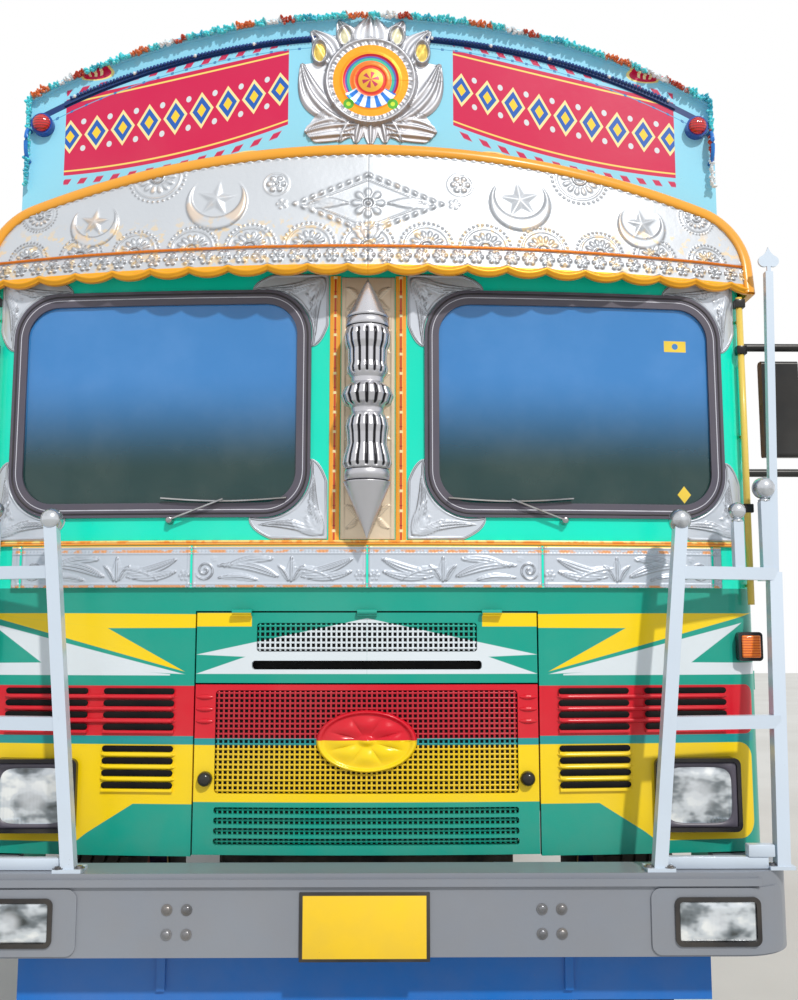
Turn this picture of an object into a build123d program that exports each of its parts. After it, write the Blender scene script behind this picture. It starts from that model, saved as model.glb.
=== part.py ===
"""Decorated two-axle goods truck: ladder chassis, coach-built cab, high-sided load body.

Millimetres. +Z is up, the truck faces -Y and +X is the truck's own left side.
The origin is on the ground under the middle of the truck.
Places along the truck are given as s, the distance behind its front.
"""
import os

from build123d import *

os.makedirs("parts", exist_ok=True)

# Driving dimensions of the whole truck
LENGTH = 7500
FRONT = -LENGTH / 2
FRONT_AXLE = 1300
WHEELBASE = 4225
REAR_AXLE = FRONT_AXLE + WHEELBASE
SIDES = (-1, 1)
SIDE_NAMES = {-1: "right", 1: "left"}

# Wheels
TYRE_RADIUS = 525
TYRE_HALF = 139
BEAD_RADIUS = 254
FRONT_WHEEL_X = 965
KINGPIN_X = 830
REAR_DUAL_X = 908
DUAL_OFFSET = 160
RUNNING_GAP = 0.1

# Ladder frame
RAIL_OUT = 442
RAIL_IN = 372
RAIL_BOTTOM = 760
RAIL_TOP = 1000
RAIL_SKIN = 8
RAIL_FRONT = 240
RAIL_BACK = 7400

# Cab
CAB_HALF = 1235
CAB_NOSE = 190
CAB_BACK = 2060
NOSE_RADIUS = 8900
CORNER_RADIUS = 120
WALL = 30
COWL_BOTTOM = 892
COWL_TOP = 1690
FLOOR_TOP = 1210
FLOOR_SKIN = 30
EAVES = 2700
DOOR_FRONT = 400
DOOR_BACK = 1240
DOOR_BOTTOM = 1216
DOOR_TOP = 2640
DOOR_GAP = 6
ARCH_RADIUS = 650
ARCH_CENTRE_Z = 500

# Arched roof, the peak over the windscreens and the board above
ROOF_CROWN = 3085
ROOF_RADIUS = 3800
SHOULDER_RADIUS = 190
PEAK_NOSE = 78
PEAK_RADIUS = 4361
PEAK_BOTTOM = 2655
HEM_LOW = 2645
HEM_TOP = 2663
HEM_PITCH = 123.5
HEM_WAVES = 10
PEAK_SHEET = 12
PEAK_LEAN = 0.21
PEAK_RIM = 24
BOARD_S = 480
BOARD_HALF = 1215
BOARD_SKIN = 30
BOARD_TOP = 3750
BOARD_RADIUS = 2434

# Centre opening of the nose: the lid above, the grille below
NOSE_HALF = 525
LID_TOP = 1614
LID_BOTTOM = 1402
GRILLE_BOTTOM = 897
PANEL_GAP = 5

# Windscreens: rubber outline, and how far the pane's opening lies inside it
RUBBER_X = (178, 1135)
RUBBER_Z = (1907, 2631)
RUBBER_RADIUS = 145
RUBBER_LAP = 22
RUBBER_WIDTH = 45

# Load body
BODY_FRONT = 2160
BED_END = 7420
BODY_HALF = 1235
BEARER_BOTTOM = 1130
BED_BOTTOM = 1230
BED_SEAT = 1284
BED_TOP = 1290
BODY_TOP = 2950
HEADBOARD_TOP = 3150
PLANK = 30
POST_DEPTH = 45
TAILBOARD_TOP = 2190


def place(x, s, z):
    """A point from x, the distance behind the front, and z."""
    return (x, FRONT + s, z)


def block(x, s, z, mode=Mode.ADD):
    """A box between two values of x, two of s and two of z, added to the part being made."""
    x, s, z = sorted(x), sorted(s), sorted(z)
    with Locations(place(sum(x) / 2, sum(s) / 2, sum(z) / 2)):
        Box(x[1] - x[0], s[1] - s[0], z[1] - z[0], mode=mode)


def rod(x, s, z, radius, length, turn=(0, 0, 0), mode=Mode.ADD):
    """A round bar with its middle at x, s, z: upright, or turned by three angles."""
    with Locations(place(x, s, z)):
        Cylinder(radius, length, rotation=turn, mode=mode)


def bar(start, end, width, depth=None):
    """A square or flat bar between two points given as x, s, z."""
    a, b = Vector(*place(*start)), Vector(*place(*end))
    with BuildSketch(Plane(origin=a, z_dir=b - a, x_dir=Vector(0, 1, 0).cross(b - a))) as section:
        Rectangle(width, depth or width)
    extrude(section.sketch, amount=(b - a).length)


def front_plane(s):
    """A plane across the truck that faces forward: its x is X and its y is Z."""
    return Plane.XZ.offset(-(FRONT + s))


def side_plane(x):
    """A plane along the truck that faces +X: its x is Y and its y is Z."""
    return Plane.YZ.offset(x)


def rounded_prism(x, z, radius, s, mode):
    """A rounded rectangle in the front view, carried back from one s to another."""
    with BuildSketch(front_plane(s[0])) as outline:
        with Locations(((x[0] + x[1]) / 2, (z[0] + z[1]) / 2)):
            RectangleRounded(abs(x[1] - x[0]), z[1] - z[0], radius)
    extrude(outline.sketch, amount=s[0] - s[1], mode=mode)


def side_prism(s, z, radius, x, mode):
    """A rounded rectangle in the side view, carried from one x to another."""
    x = sorted(x)
    with BuildSketch(side_plane(x[0])) as outline:
        with Locations((FRONT + (s[0] + s[1]) / 2, (z[0] + z[1]) / 2)):
            RectangleRounded(s[1] - s[0], z[1] - z[0], radius)
    extrude(outline.sketch, amount=x[1] - x[0], mode=mode)


def cab_outline(shrink=0):
    """The cab in plan: a shallow bow across the nose, round corners and straight sides."""
    with BuildSketch() as outline:
        with Locations((0, FRONT + CAB_NOSE + NOSE_RADIUS)):
            Circle(NOSE_RADIUS - shrink)
        low, high = CAB_NOSE - 60, CAB_BACK - shrink
        with Locations((0, FRONT + (low + high) / 2)):
            Rectangle(2 * (CAB_HALF - shrink), high - low, mode=Mode.INTERSECT)
        fillet(outline.vertices().group_by(Axis.Y)[0], radius=CORNER_RADIUS - shrink)
    return outline.sketch


def cab_tube(low, high):
    """The cab's upright walls between two heights, all the way round."""
    with BuildPart() as tube:
        for shrink, mode in ((0, Mode.ADD), (WALL, Mode.SUBTRACT)):
            with BuildSketch(Plane.XY.offset(low)):
                add(cab_outline(shrink))
            extrude(amount=high - low, mode=mode)
    return tube.part


def nose_skin(proud, depth, x, z):
    """A curved sheet that follows the nose, from proud of its face to depth behind it."""
    with BuildPart() as skin:
        with BuildSketch(Plane.XY.offset(z[0])):
            with Locations((0, FRONT + CAB_NOSE + NOSE_RADIUS)):
                Circle(NOSE_RADIUS + proud)
                Circle(NOSE_RADIUS - depth, mode=Mode.SUBTRACT)
            with Locations(((x[0] + x[1]) / 2, FRONT + CAB_NOSE)):
                Rectangle(x[1] - x[0], 600, mode=Mode.INTERSECT)
        extrude(amount=z[1] - z[0])
    return skin.part


def arch_outline(grow, bottom):
    """The roof from the front: a flat arch with round shoulders."""
    top = ROOF_CROWN + grow
    with BuildSketch() as outline:
        with Locations((0, ROOF_CROWN - ROOF_RADIUS)):
            Circle(ROOF_RADIUS + grow)
        with Locations((0, (bottom + top) / 2)):
            Rectangle(2 * (CAB_HALF + grow), top - bottom, mode=Mode.INTERSECT)
        fillet(outline.vertices().group_by(Axis.Y)[-1], radius=SHOULDER_RADIUS + grow)
    return outline.sketch


def hem_sketch(low):
    """Everything below the peak's scalloped hem, down to a level: round waves that meet in points."""
    ends = [(number - 0.5) * HEM_PITCH for number in range(-HEM_WAVES, HEM_WAVES + 2)]
    with BuildSketch() as below:
        with BuildLine():
            for start, end in zip(ends, ends[1:]):
                ThreePointArc((start, HEM_TOP), ((start + end) / 2, HEM_LOW), (end, HEM_TOP))
            Polyline((ends[-1], HEM_TOP), (ends[-1], low), (ends[0], low), (ends[0], HEM_TOP))
        make_face()
    return below.sketch


def save(builder, name):
    """Labels a finished piece and writes it."""
    builder.part.label = name
    export_step(builder.part, f"parts/{name}.step")


# Ladder frame: two channel rails, their cross members, spring hangers and the towing jaw
IRON_X = (383, 442)
HANGERS = ((600, 640), (2000, 640), (REAR_AXLE - 700, 690), (REAR_AXLE + 700, 690))
with BuildPart() as frame_rails:
    for side in SIDES:
        block((side * RAIL_IN, side * RAIL_OUT), (RAIL_FRONT, RAIL_BACK), (RAIL_BOTTOM, RAIL_TOP))
        block((side * (RAIL_IN - 1), side * (RAIL_OUT - RAIL_SKIN)), (RAIL_FRONT - 1, RAIL_BACK + 1),
              (RAIL_BOTTOM + RAIL_SKIN, RAIL_TOP - RAIL_SKIN), mode=Mode.SUBTRACT)
        for s, bottom in HANGERS:
            block([side * x for x in IRON_X], (s - 45, s + 45), (bottom, RAIL_BOTTOM))
            rod(side * 412, s, bottom + 38, 22, 70, turn=(0, 90, 0))
save(frame_rails, "frame_rails")

JAW_PIN = 20
REAR_BAR_S = (7340, 7400)
REAR_BAR_Z = (560, 660)
REAR_BAR_HALF = 1150
CROSS_MEMBERS = (280, 2260, 2900, 3900, 4860, 6150, 7360)
with BuildPart() as cross_members:
    for s in CROSS_MEMBERS:
        half = RAIL_OUT - RAIL_SKIN
        block((-half, half), (s - 30, s + 30), (800, 960))
        block((-half - 1, half + 1), (s - 22, s + 31), (808, 952), mode=Mode.SUBTRACT)
    block((-75, 75), (7382, 7402), (800, 960))
    for z in (850, 905):
        block((-60, 60), (7402, 7440), (z - 10, z + 10))
        rod(0, 7440, z, 60, 20)
    rod(0, 7440, 877, JAW_PIN, 200, mode=Mode.SUBTRACT)
    block((-REAR_BAR_HALF, REAR_BAR_HALF), REAR_BAR_S, REAR_BAR_Z)
    for side in SIDES:
        block([side * x for x in IRON_X], REAR_BAR_S, (REAR_BAR_Z[0], RAIL_BOTTOM))
save(cross_members, "cross_members")

# Front bumper: a wrapped channel with a rib, and its irons back to the rails
BUMPER_FACE = 12
BUMPER_HALF = 1228
BUMPER_Z = (661, 886)
BUMPER_END = 300
BUMPER_CORNER = 170
BUMPER_SKIN = 10
BUMPER_RIB = (852, 872)
FOG_LAMP_X = (865, 1105)
FOG_LAMP_Z = (690, 822)
FOG_FRAME_X = (800, 1185)
FOG_FRAME_Z = (666, 846)
FOG_FRAME_PROUD = 6


def bumper_form(grow, z):
    """The bumper's wrapped outline, filled to its ends and grown outward, between two heights."""
    wide, corner = BUMPER_HALF + grow, BUMPER_CORNER + grow
    face, back = FRONT + BUMPER_FACE - grow, FRONT + BUMPER_END - grow
    with BuildPart() as form:
        with BuildSketch(Plane.XY.offset(z[0])):
            with BuildLine():
                right_end = Line((-wide, back), (-wide, face + corner))
                right_bend = TangentArc(right_end @ 1, (-wide + corner, face), tangent=(0, -1))
                middle = Line(right_bend @ 1, (wide - corner, face))
                left_bend = TangentArc(middle @ 1, (wide, face + corner), tangent=(1, 0))
                left_end = Line(left_bend @ 1, (wide, back))
                Line(left_end @ 1, (-wide, back))
            make_face()
        extrude(amount=z[1] - z[0])
    return form.part


with BuildPart() as fog_frames:
    add(bumper_form(FOG_FRAME_PROUD, FOG_FRAME_Z))
    with BuildSketch(front_plane(-10)) as plates:
        for side in SIDES:
            with Locations((side * sum(FOG_FRAME_X) / 2, sum(FOG_FRAME_Z) / 2)):
                RectangleRounded(FOG_FRAME_X[1] - FOG_FRAME_X[0], FOG_FRAME_Z[1] - FOG_FRAME_Z[0] - 1, 28)
    extrude(plates.sketch, amount=-200, mode=Mode.INTERSECT)
with BuildPart() as front_bumper:
    add(bumper_form(0, BUMPER_Z))
    add(fog_frames.part)
    add(bumper_form(-BUMPER_SKIN, (BUMPER_Z[0] + BUMPER_SKIN, BUMPER_Z[1] - BUMPER_SKIN)), mode=Mode.SUBTRACT)
    block((-1050, 1050), (150, 301), (650, 890), mode=Mode.SUBTRACT)
    block((-1110, 1110), (0, BUMPER_FACE + 5), BUMPER_RIB)
    for side in SIDES:
        rounded_prism([side * x for x in FOG_LAMP_X], FOG_LAMP_Z, 20, (-10, 60), Mode.SUBTRACT)
        block([side * x for x in IRON_X], (BUMPER_FACE + BUMPER_SKIN, RAIL_FRONT), (690, 868))
save(front_bumper, "front_bumper")

BEAM_Z = (500, 620)
with BuildPart() as underrun_beam:
    block((-1005, 1005), (155, 215), BEAM_Z)
    for side in SIDES:
        block((side * 390, side * 434), (165, 205), (BEAM_Z[1], 690))
        block((side * 578, side * 602), (143, 155), (BEAM_Z[0] + 30, BEAM_Z[1] + 22))
save(underrun_beam, "underrun_beam")

# Springs: a bowed pack of leaves that get shorter towards the axle, and the axle's seat
SPRING_X = 412
SPRING_HALF = 29
LEAF = 12


def leaf_pack(s_axle, half_length, eye_z, rise, leaves):
    """A pack of leaves bowed down in the middle, from eye to eye, for each side."""
    bow = (half_length ** 2 + rise ** 2) / (2 * rise)
    low = eye_z - rise
    with BuildPart() as pack:
        for side in SIDES:
            for number in range(leaves):
                half = half_length * (1 - 0.8 * number / leaves)
                inner = bow + number * LEAF
                with BuildSketch(side_plane(side * SPRING_X - SPRING_HALF)) as leaf:
                    with Locations((FRONT + s_axle, low + bow)):
                        Circle(inner + LEAF)
                        Circle(inner, mode=Mode.SUBTRACT)
                    with Locations((FRONT + s_axle, low)):
                        Rectangle(2 * half, 2 * rise + 2 * LEAF * leaves, mode=Mode.INTERSECT)
                extrude(leaf.sketch, amount=2 * SPRING_HALF)
    return pack.part


FRONT_SPRING = dict(s_axle=FRONT_AXLE, half_length=655, eye_z=700, rise=70, leaves=4)
REAR_SPRING = dict(s_axle=REAR_AXLE, half_length=655, eye_z=740, rise=55, leaves=5)
AXLE_Z = TYRE_RADIUS
front_pack = leaf_pack(**FRONT_SPRING)
rear_pack = leaf_pack(**REAR_SPRING)
with BuildPart() as front_springs:
    add(front_pack)
save(front_springs, "front_springs")
with BuildPart() as rear_springs:
    add(rear_pack)
save(rear_springs, "rear_springs")

# Front axle: a dropped beam with an eye for each kingpin and a seat under each spring
EYE_RADIUS = 45
EYE_HALF = 65
PIN_RADIUS = 20
BEAM_DROP = 70
with BuildPart() as front_axle:
    with BuildSketch(front_plane(FRONT_AXLE - 40)):
        with BuildLine():
            Polyline(
                (-KINGPIN_X, AXLE_Z + 45), (-700, AXLE_Z + 45), (-560, AXLE_Z - BEAM_DROP + 50),
                (560, AXLE_Z - BEAM_DROP + 50), (700, AXLE_Z + 45), (KINGPIN_X, AXLE_Z + 45),
                (KINGPIN_X, AXLE_Z - 45), (690, AXLE_Z - 45), (545, AXLE_Z - BEAM_DROP - 45),
                (-545, AXLE_Z - BEAM_DROP - 45), (-690, AXLE_Z - 45), (-KINGPIN_X, AXLE_Z - 45),
                close=True,
            )
        make_face()
    extrude(amount=-80)
    for side in SIDES:
        rod(side * KINGPIN_X, FRONT_AXLE, AXLE_Z, EYE_RADIUS, 2 * EYE_HALF)
        rod(side * KINGPIN_X, FRONT_AXLE, AXLE_Z, PIN_RADIUS + RUNNING_GAP, 300, mode=Mode.SUBTRACT)
        block((side * (SPRING_X - 45), side * (SPRING_X + 45)), (FRONT_AXLE - 75, FRONT_AXLE + 75),
              (AXLE_Z - BEAM_DROP + 49, 581.9))
save(front_axle, "front_axle")

# Rear axle: a banjo housing with round arms, spring seats, spindles and the pinion's nose
REAR_SPINDLE = 55
BANJO = ((330, 0), (300, 75), (170, 180), (60, 205), (-60, 205), (-170, 180), (-300, 75), (-330, 0))
SHAFT_END = 5180
with BuildPart() as rear_axle:
    with BuildSketch(front_plane(REAR_AXLE)):
        with BuildLine():
            Polyline(*((x, AXLE_Z + r) for x, r in BANJO), close=True)
        make_face()
    revolve(axis=Axis(place(0, REAR_AXLE, AXLE_Z), (1, 0, 0)))
    rod(0, REAR_AXLE, AXLE_Z, 70, 1280, turn=(0, 90, 0))
    rod(0, REAR_AXLE, AXLE_Z, REAR_SPINDLE, 1960, turn=(0, 90, 0))
    rod(0, (SHAFT_END + REAR_AXLE) / 2, 560, 80, REAR_AXLE - SHAFT_END, turn=(90, 0, 0))
    for side in SIDES:
        block((side * (SPRING_X - 45), side * (SPRING_X + 45)), (REAR_AXLE - 80, REAR_AXLE + 80),
              (AXLE_Z, 624.9))
save(rear_axle, "rear_axle")

# Steering knuckles: a fork over the axle's eye, the kingpin, the spindle and the steering arm
LUG = 30
LUG_IN = EYE_HALF + PANEL_GAP
LUG_OUT = LUG_IN + LUG
PLATE_X = (KINGPIN_X + EYE_RADIUS + 6, KINGPIN_X + EYE_RADIUS + 32)
FRONT_SPINDLE = 40
SPINDLE_END = 1070
ARM_LENGTH = 190
BALL_RADIUS = 10
for side in SIDES:
    with BuildPart() as knuckle:
        rod(side * KINGPIN_X, FRONT_AXLE, AXLE_Z, PIN_RADIUS, 2 * LUG_OUT)
        for low in (LUG_IN, -LUG_OUT):
            rod(side * KINGPIN_X, FRONT_AXLE, AXLE_Z + low + LUG / 2, 42, LUG)
            block((side * KINGPIN_X, side * PLATE_X[1]), (FRONT_AXLE - 42, FRONT_AXLE + 42),
                  (AXLE_Z + low, AXLE_Z + low + LUG))
        block([side * x for x in PLATE_X], (FRONT_AXLE - 60, FRONT_AXLE + 60),
              (AXLE_Z - LUG_OUT, AXLE_Z + LUG_OUT))
        rod(side * (PLATE_X[0] + SPINDLE_END) / 2, FRONT_AXLE, AXLE_Z, FRONT_SPINDLE,
            SPINDLE_END - PLATE_X[0], turn=(0, 90, 0))
        block((side * (KINGPIN_X - 16), side * (KINGPIN_X + 16)), (FRONT_AXLE, FRONT_AXLE + ARM_LENGTH),
              (AXLE_Z - LUG_OUT, AXLE_Z - LUG_IN))
        rod(side * KINGPIN_X, FRONT_AXLE + ARM_LENGTH, AXLE_Z - LUG_IN - LUG / 2, 22, LUG)
        rod(side * KINGPIN_X, FRONT_AXLE + ARM_LENGTH, AXLE_Z - LUG_IN + 15, BALL_RADIUS, 60)
    save(knuckle, f"knuckle_{SIDE_NAMES[side]}")

TRACK_ROD_Z = AXLE_Z - LUG_IN + 20
with BuildPart() as track_rod:
    rod(0, FRONT_AXLE + ARM_LENGTH, TRACK_ROD_Z, 14, 2 * KINGPIN_X, turn=(0, 90, 0))
    for side in SIDES:
        rod(side * KINGPIN_X, FRONT_AXLE + ARM_LENGTH, TRACK_ROD_Z, 22, 30)
    for side in SIDES:
        rod(side * KINGPIN_X, FRONT_AXLE + ARM_LENGTH, TRACK_ROD_Z, BALL_RADIUS + RUNNING_GAP, 60,
            mode=Mode.SUBTRACT)
save(track_rod, "track_rod")

# Wheels. Profiles are pairs of distance from the wheel's middle plane and radius.
RIM_PROFILE = (
    (-97, 272), (-89, 272), (-89, 254), (89, 254), (89, 272), (97, 272), (97, 244), (58, 244),
    (160, 188), (160, 141), (148, 141), (148, 182), (44, 240), (-97, 244),
)
FRONT_HUB = (
    (112, 0), (112, FRONT_SPINDLE + RUNNING_GAP), (-45, FRONT_SPINDLE + RUNNING_GAP), (-45, 120),
    (-40, 190), (80, 190), (100, 110), (134, 110), (134, 168), (148, 168), (148, 141), (172, 141),
    (176, 92), (200, 86), (206, 60), (206, 0),
)
REAR_HUB = (
    (77, 0), (77, REAR_SPINDLE + RUNNING_GAP), (-256, REAR_SPINDLE + RUNNING_GAP), (-256, 190),
    (-250, 200), (-90, 200), (-60, 168), (-12, 168), (-12, 141), (12, 141), (12, 168), (26, 168),
    (30, 135), (150, 112), (150, 92), (178, 86), (184, 60), (184, 0),
)


HAND_HOLES = 8
HAND_HOLE_CIRCLE = 220
HAND_HOLE_RADIUS = 18
DISC_SLOPE = 95


def tyre_profile(middle):
    """A radial tyre's section: bead, bulging walls, shoulders and a slightly crowned tread."""
    with BuildSketch() as section:
        with BuildLine():
            seat = Line((middle - 88, BEAD_RADIUS), (middle + 88, BEAD_RADIUS))
            bead = Line(seat @ 1, (middle + 88, 274))
            heel = Line(bead @ 1, (middle + 104, 281))
            wall = ThreePointArc(heel @ 1, (middle + TYRE_HALF, 390), (middle + 124, 488))
            shoulder = Line(wall @ 1, (middle + 106, TYRE_RADIUS - 7))
            tread = ThreePointArc(shoulder @ 1, (middle, TYRE_RADIUS), (middle - 106, TYRE_RADIUS - 7))
            far_shoulder = Line(tread @ 1, (middle - 124, 488))
            far_wall = ThreePointArc(far_shoulder @ 1, (middle - TYRE_HALF, 390), (middle - 104, 281))
            far_heel = Line(far_wall @ 1, (middle - 88, 274))
            Line(far_heel @ 1, seat @ 0)
        make_face()
    return section.sketch


def ring_profile(points, middle, outward=1):
    """A closed section from pairs of distance and radius, facing outward or inward."""
    with BuildSketch() as section:
        with BuildLine():
            Polyline(*((middle + outward * a, r) for a, r in points), close=True)
        make_face()
    return section.sketch


def hand_holes(middle, outward, s):
    """Round holes through a wheel's sloping disc, between its rim and its hub."""
    with BuildPart() as holes:
        with Locations(Plane(origin=place(middle + outward * DISC_SLOPE, s, AXLE_Z), z_dir=(outward, 0, 0))):
            with PolarLocations(HAND_HOLE_CIRCLE, HAND_HOLES):
                Cylinder(HAND_HOLE_RADIUS, 100)
    return holes.part


def wheel_plane(s):
    """The plane across an axle, with its x along X and its y as the radius."""
    return Plane(origin=place(0, s, AXLE_Z), x_dir=(1, 0, 0), z_dir=(0, -1, 0))


def turned(profiles, plane):
    """Sections turned round a plane's x axis."""
    with BuildPart() as ring:
        for profile in profiles:
            with BuildSketch(plane):
                add(profile)
            revolve(axis=Axis(plane.origin, plane.x_dir))
    return ring.part


for side in SIDES:
    name = SIDE_NAMES[side]
    front_middle = side * FRONT_WHEEL_X
    twin_middles = (side * (REAR_DUAL_X - DUAL_OFFSET), side * (REAR_DUAL_X + DUAL_OFFSET))
    front_rubber = turned([tyre_profile(front_middle)], wheel_plane(FRONT_AXLE))
    front_steel = turned([ring_profile(RIM_PROFILE, front_middle, side),
                          ring_profile(FRONT_HUB, front_middle, side)], wheel_plane(FRONT_AXLE))
    rear_rubber = turned([tyre_profile(middle) for middle in twin_middles], wheel_plane(REAR_AXLE))
    rear_steel = turned([ring_profile(RIM_PROFILE, twin_middles[0], side),
                         ring_profile(RIM_PROFILE, twin_middles[1], -side),
                         ring_profile(REAR_HUB, side * REAR_DUAL_X, side)], wheel_plane(REAR_AXLE))
    front_holes = [hand_holes(front_middle, side, FRONT_AXLE)]
    rear_holes = [hand_holes(twin_middles[0], side, REAR_AXLE), hand_holes(twin_middles[1], -side, REAR_AXLE)]
    for made, holes, node in ((front_rubber, (), "tyre_front"), (front_steel, front_holes, "rim_front"),
                              (rear_rubber, (), "tyres_rear"), (rear_steel, rear_holes, "rims_rear")):
        with BuildPart() as wheel:
            add(made)
            for hole in holes:
                add(hole, mode=Mode.SUBTRACT)
        save(wheel, f"{node}_{name}")

# Spare wheel, hung flat under the tail of the frame
SPARE_S = 6760
SPARE_Z = 605
spare_plane = Plane(origin=place(0, SPARE_S, SPARE_Z), x_dir=(0, 0, 1), z_dir=(0, -1, 0))
spare_rubber = turned([tyre_profile(0)], spare_plane)
spare_steel = turned([ring_profile(RIM_PROFILE, 0, -1)], spare_plane)
with BuildPart() as spare_tyre:
    add(spare_rubber)
save(spare_tyre, "spare_tyre")
with BuildPart() as spare_rim:
    add(spare_steel)
    block((-442, 442), (SPARE_S - 30, SPARE_S + 30), (SPARE_Z + TYRE_HALF + 1, RAIL_BOTTOM))
    rod(0, SPARE_S, 590, 18, 330)
    rod(0, SPARE_S, 440, 165, 12)
save(spare_rim, "spare_rim")

# Power unit: engine as a plain block, radiator, gearbox and the shaft to the rear axle
ENGINE_S = (500, 1480)
ENGINE_Z = (680, 1290)
BELL_RADIUS = 200
GEARBOX_START = 1640
GEARBOX_END = 2180
RADIATOR_Z = (720, 1370)
FAN_RADIUS = 250
with BuildPart() as engine:
    block((-290, 290), ENGINE_S, ENGINE_Z)
    chamfer(engine.edges().filter_by(Axis.Y), length=60)
    rod(0, (ENGINE_S[1] + GEARBOX_START) / 2, 880, BELL_RADIUS, GEARBOX_START - ENGINE_S[1], turn=(90, 0, 0))
    block((-160, 160), (GEARBOX_START, GEARBOX_END), (ENGINE_Z[0], 980))
    block((-362, 362), (330, 400), RADIATOR_Z)
    rod(0, 420, sum(RADIATOR_Z) / 2, FAN_RADIUS, 40, turn=(90, 0, 0))
save(engine, "engine")
with BuildPart() as drive_shaft:
    start, end = Vector(*place(0, GEARBOX_END, 740)), Vector(*place(0, SHAFT_END, 560))
    with BuildSketch(Plane(origin=start, z_dir=end - start)):
        Circle(45)
    extrude(amount=(end - start).length)
    block((-200, 200), (GEARBOX_END - 100, GEARBOX_END), (600, 900), mode=Mode.SUBTRACT)
    block((-200, 200), (SHAFT_END, SHAFT_END + 100), (400, 800), mode=Mode.SUBTRACT)
save(drive_shaft, "drive_shaft")

TANK_X = (-1180, -560)
TANK_S = (2450, 3450)
TANK_Z = (560, 980)
TANK_CORNER = 80
STRAPS = (2650, 3250)
STRAP_SKIN = 4
with BuildPart() as fuel_tank:
    rounded_prism(TANK_X, TANK_Z, TANK_CORNER, TANK_S, Mode.ADD)
    for s in STRAPS:
        rounded_prism((TANK_X[0] - STRAP_SKIN, TANK_X[1] + STRAP_SKIN),
                      (TANK_Z[0] - STRAP_SKIN, TANK_Z[1] + STRAP_SKIN),
                      TANK_CORNER + STRAP_SKIN, (s - 25, s + 25), Mode.ADD)
        block((TANK_X[1], -RAIL_OUT), (s - 30, s + 30), (780, 900))
    rod(-900, 2550, 990, 45, 30)
save(fuel_tank, "fuel_tank")

BATTERY_X = (560, 1010)
BATTERY_S = (2450, 2870)
with BuildPart() as battery_box:
    block(BATTERY_X, BATTERY_S, (640, 960))
    block((RAIL_OUT, BATTERY_X[0]), (2600, 2720), (780, 900))
    block((BATTERY_X[0] - 15, BATTERY_X[1] + 15), (BATTERY_S[0] - 15, BATTERY_S[1] + 15), (940, 972))
save(battery_box, "battery_box")

PIPE_X = 250
PIPE_RADIUS = 32
SILENCER_S = (3250, 4150)
SILENCER_Z = 650
with BuildPart() as exhaust:
    rod(PIPE_X, sum(SILENCER_S) / 2, SILENCER_Z, 105, SILENCER_S[1] - SILENCER_S[0], turn=(90, 0, 0))
    rod(PIPE_X, (1480 + SILENCER_S[0]) / 2, 710, PIPE_RADIUS, SILENCER_S[0] - 1480, turn=(90, 0, 0))
    rod(PIPE_X, SILENCER_S[1] + 400, SILENCER_Z, PIPE_RADIUS, 900, turn=(90, 0, 0))
    for s in (SILENCER_S[0] + 100, SILENCER_S[1] - 100):
        block((PIPE_X - 10, PIPE_X + 10), (s - 15, s + 15), (SILENCER_Z + 90, RAIL_BOTTOM))
        block((PIPE_X - 10, RAIL_IN + 15), (s - 15, s + 15), (RAIL_BOTTOM - 8, RAIL_BOTTOM))
save(exhaust, "exhaust")

# Cowl: the lower nose with louvres, lamp openings and the opening for lid and grille
nose_tube = cab_tube(COWL_BOTTOM, EAVES)
HEADLAMP_X = (875, 1134)
HEADLAMP_Z = (958, 1175)
LAMP_RIM = 12
LAMP_DEPTH = 8
LOUVRES = (
    ((583, 801), (1255, 1291, 1327, 1363)),
    ((850, 1110), (1255, 1291, 1327, 1363)),
    ((583, 801), (1082, 1118, 1154, 1190)),
)


def nose_s(x):
    """The nose's distance behind the front at a place across it."""
    return CAB_NOSE + NOSE_RADIUS - (NOSE_RADIUS ** 2 - x ** 2) ** 0.5


with BuildPart() as cowl:
    add(nose_tube)
    block((-1300, 1300), (DOOR_FRONT, 2200), (800, 2800), mode=Mode.SUBTRACT)
    block((-1300, 1300), (0, 500), (COWL_TOP, 2800), mode=Mode.SUBTRACT)
    block((-NOSE_HALF, NOSE_HALF), (100, 400), (GRILLE_BOTTOM - PANEL_GAP, LID_TOP + PANEL_GAP),
          mode=Mode.SUBTRACT)
    for side in SIDES:
        rounded_prism([side * x for x in HEADLAMP_X], HEADLAMP_Z, 20, (100, 395), Mode.SUBTRACT)
        for (x_in, x_out), rows in LOUVRES:
            middle = side * (x_in + x_out) / 2
            lean = -side * (nose_s(x_out) - nose_s(x_in)) / (x_out - x_in)
            face = Vector(*place(middle, nose_s(middle), 0))
            for z in rows:
                hood_plane = Plane(origin=face + Vector(0, 0, z), x_dir=(lean, 1, 0),
                                   z_dir=(1, -lean, 0))
                with BuildSketch(hood_plane) as hood:
                    with BuildLine():
                        Polyline((-9, 2), (2, 17), (4, 17), (4, -3), (-9, -3), close=True)
                    make_face()
                extrude(hood.sketch, amount=(x_out - x_in) / 2, both=True)
save(cowl, "cowl_panels")

# Grille panel below the lid, with a wire mesh in its large window and a slatted one under it
MESH_X = 458
MESH_Z = (1075, 1380)
LOW_MESH_Z = (925, 1040)
MESH_DEPTH = (9, 17)
LAP = 8
grille_sheet = nose_skin(0, 24, (-NOSE_HALF + PANEL_GAP, NOSE_HALF - PANEL_GAP),
                         (GRILLE_BOTTOM, LID_BOTTOM - PANEL_GAP))
mesh_sheet = nose_skin(-MESH_DEPTH[0], MESH_DEPTH[1], (-MESH_X - LAP, MESH_X + LAP),
                       (MESH_Z[0] - LAP, MESH_Z[1] + LAP))


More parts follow.
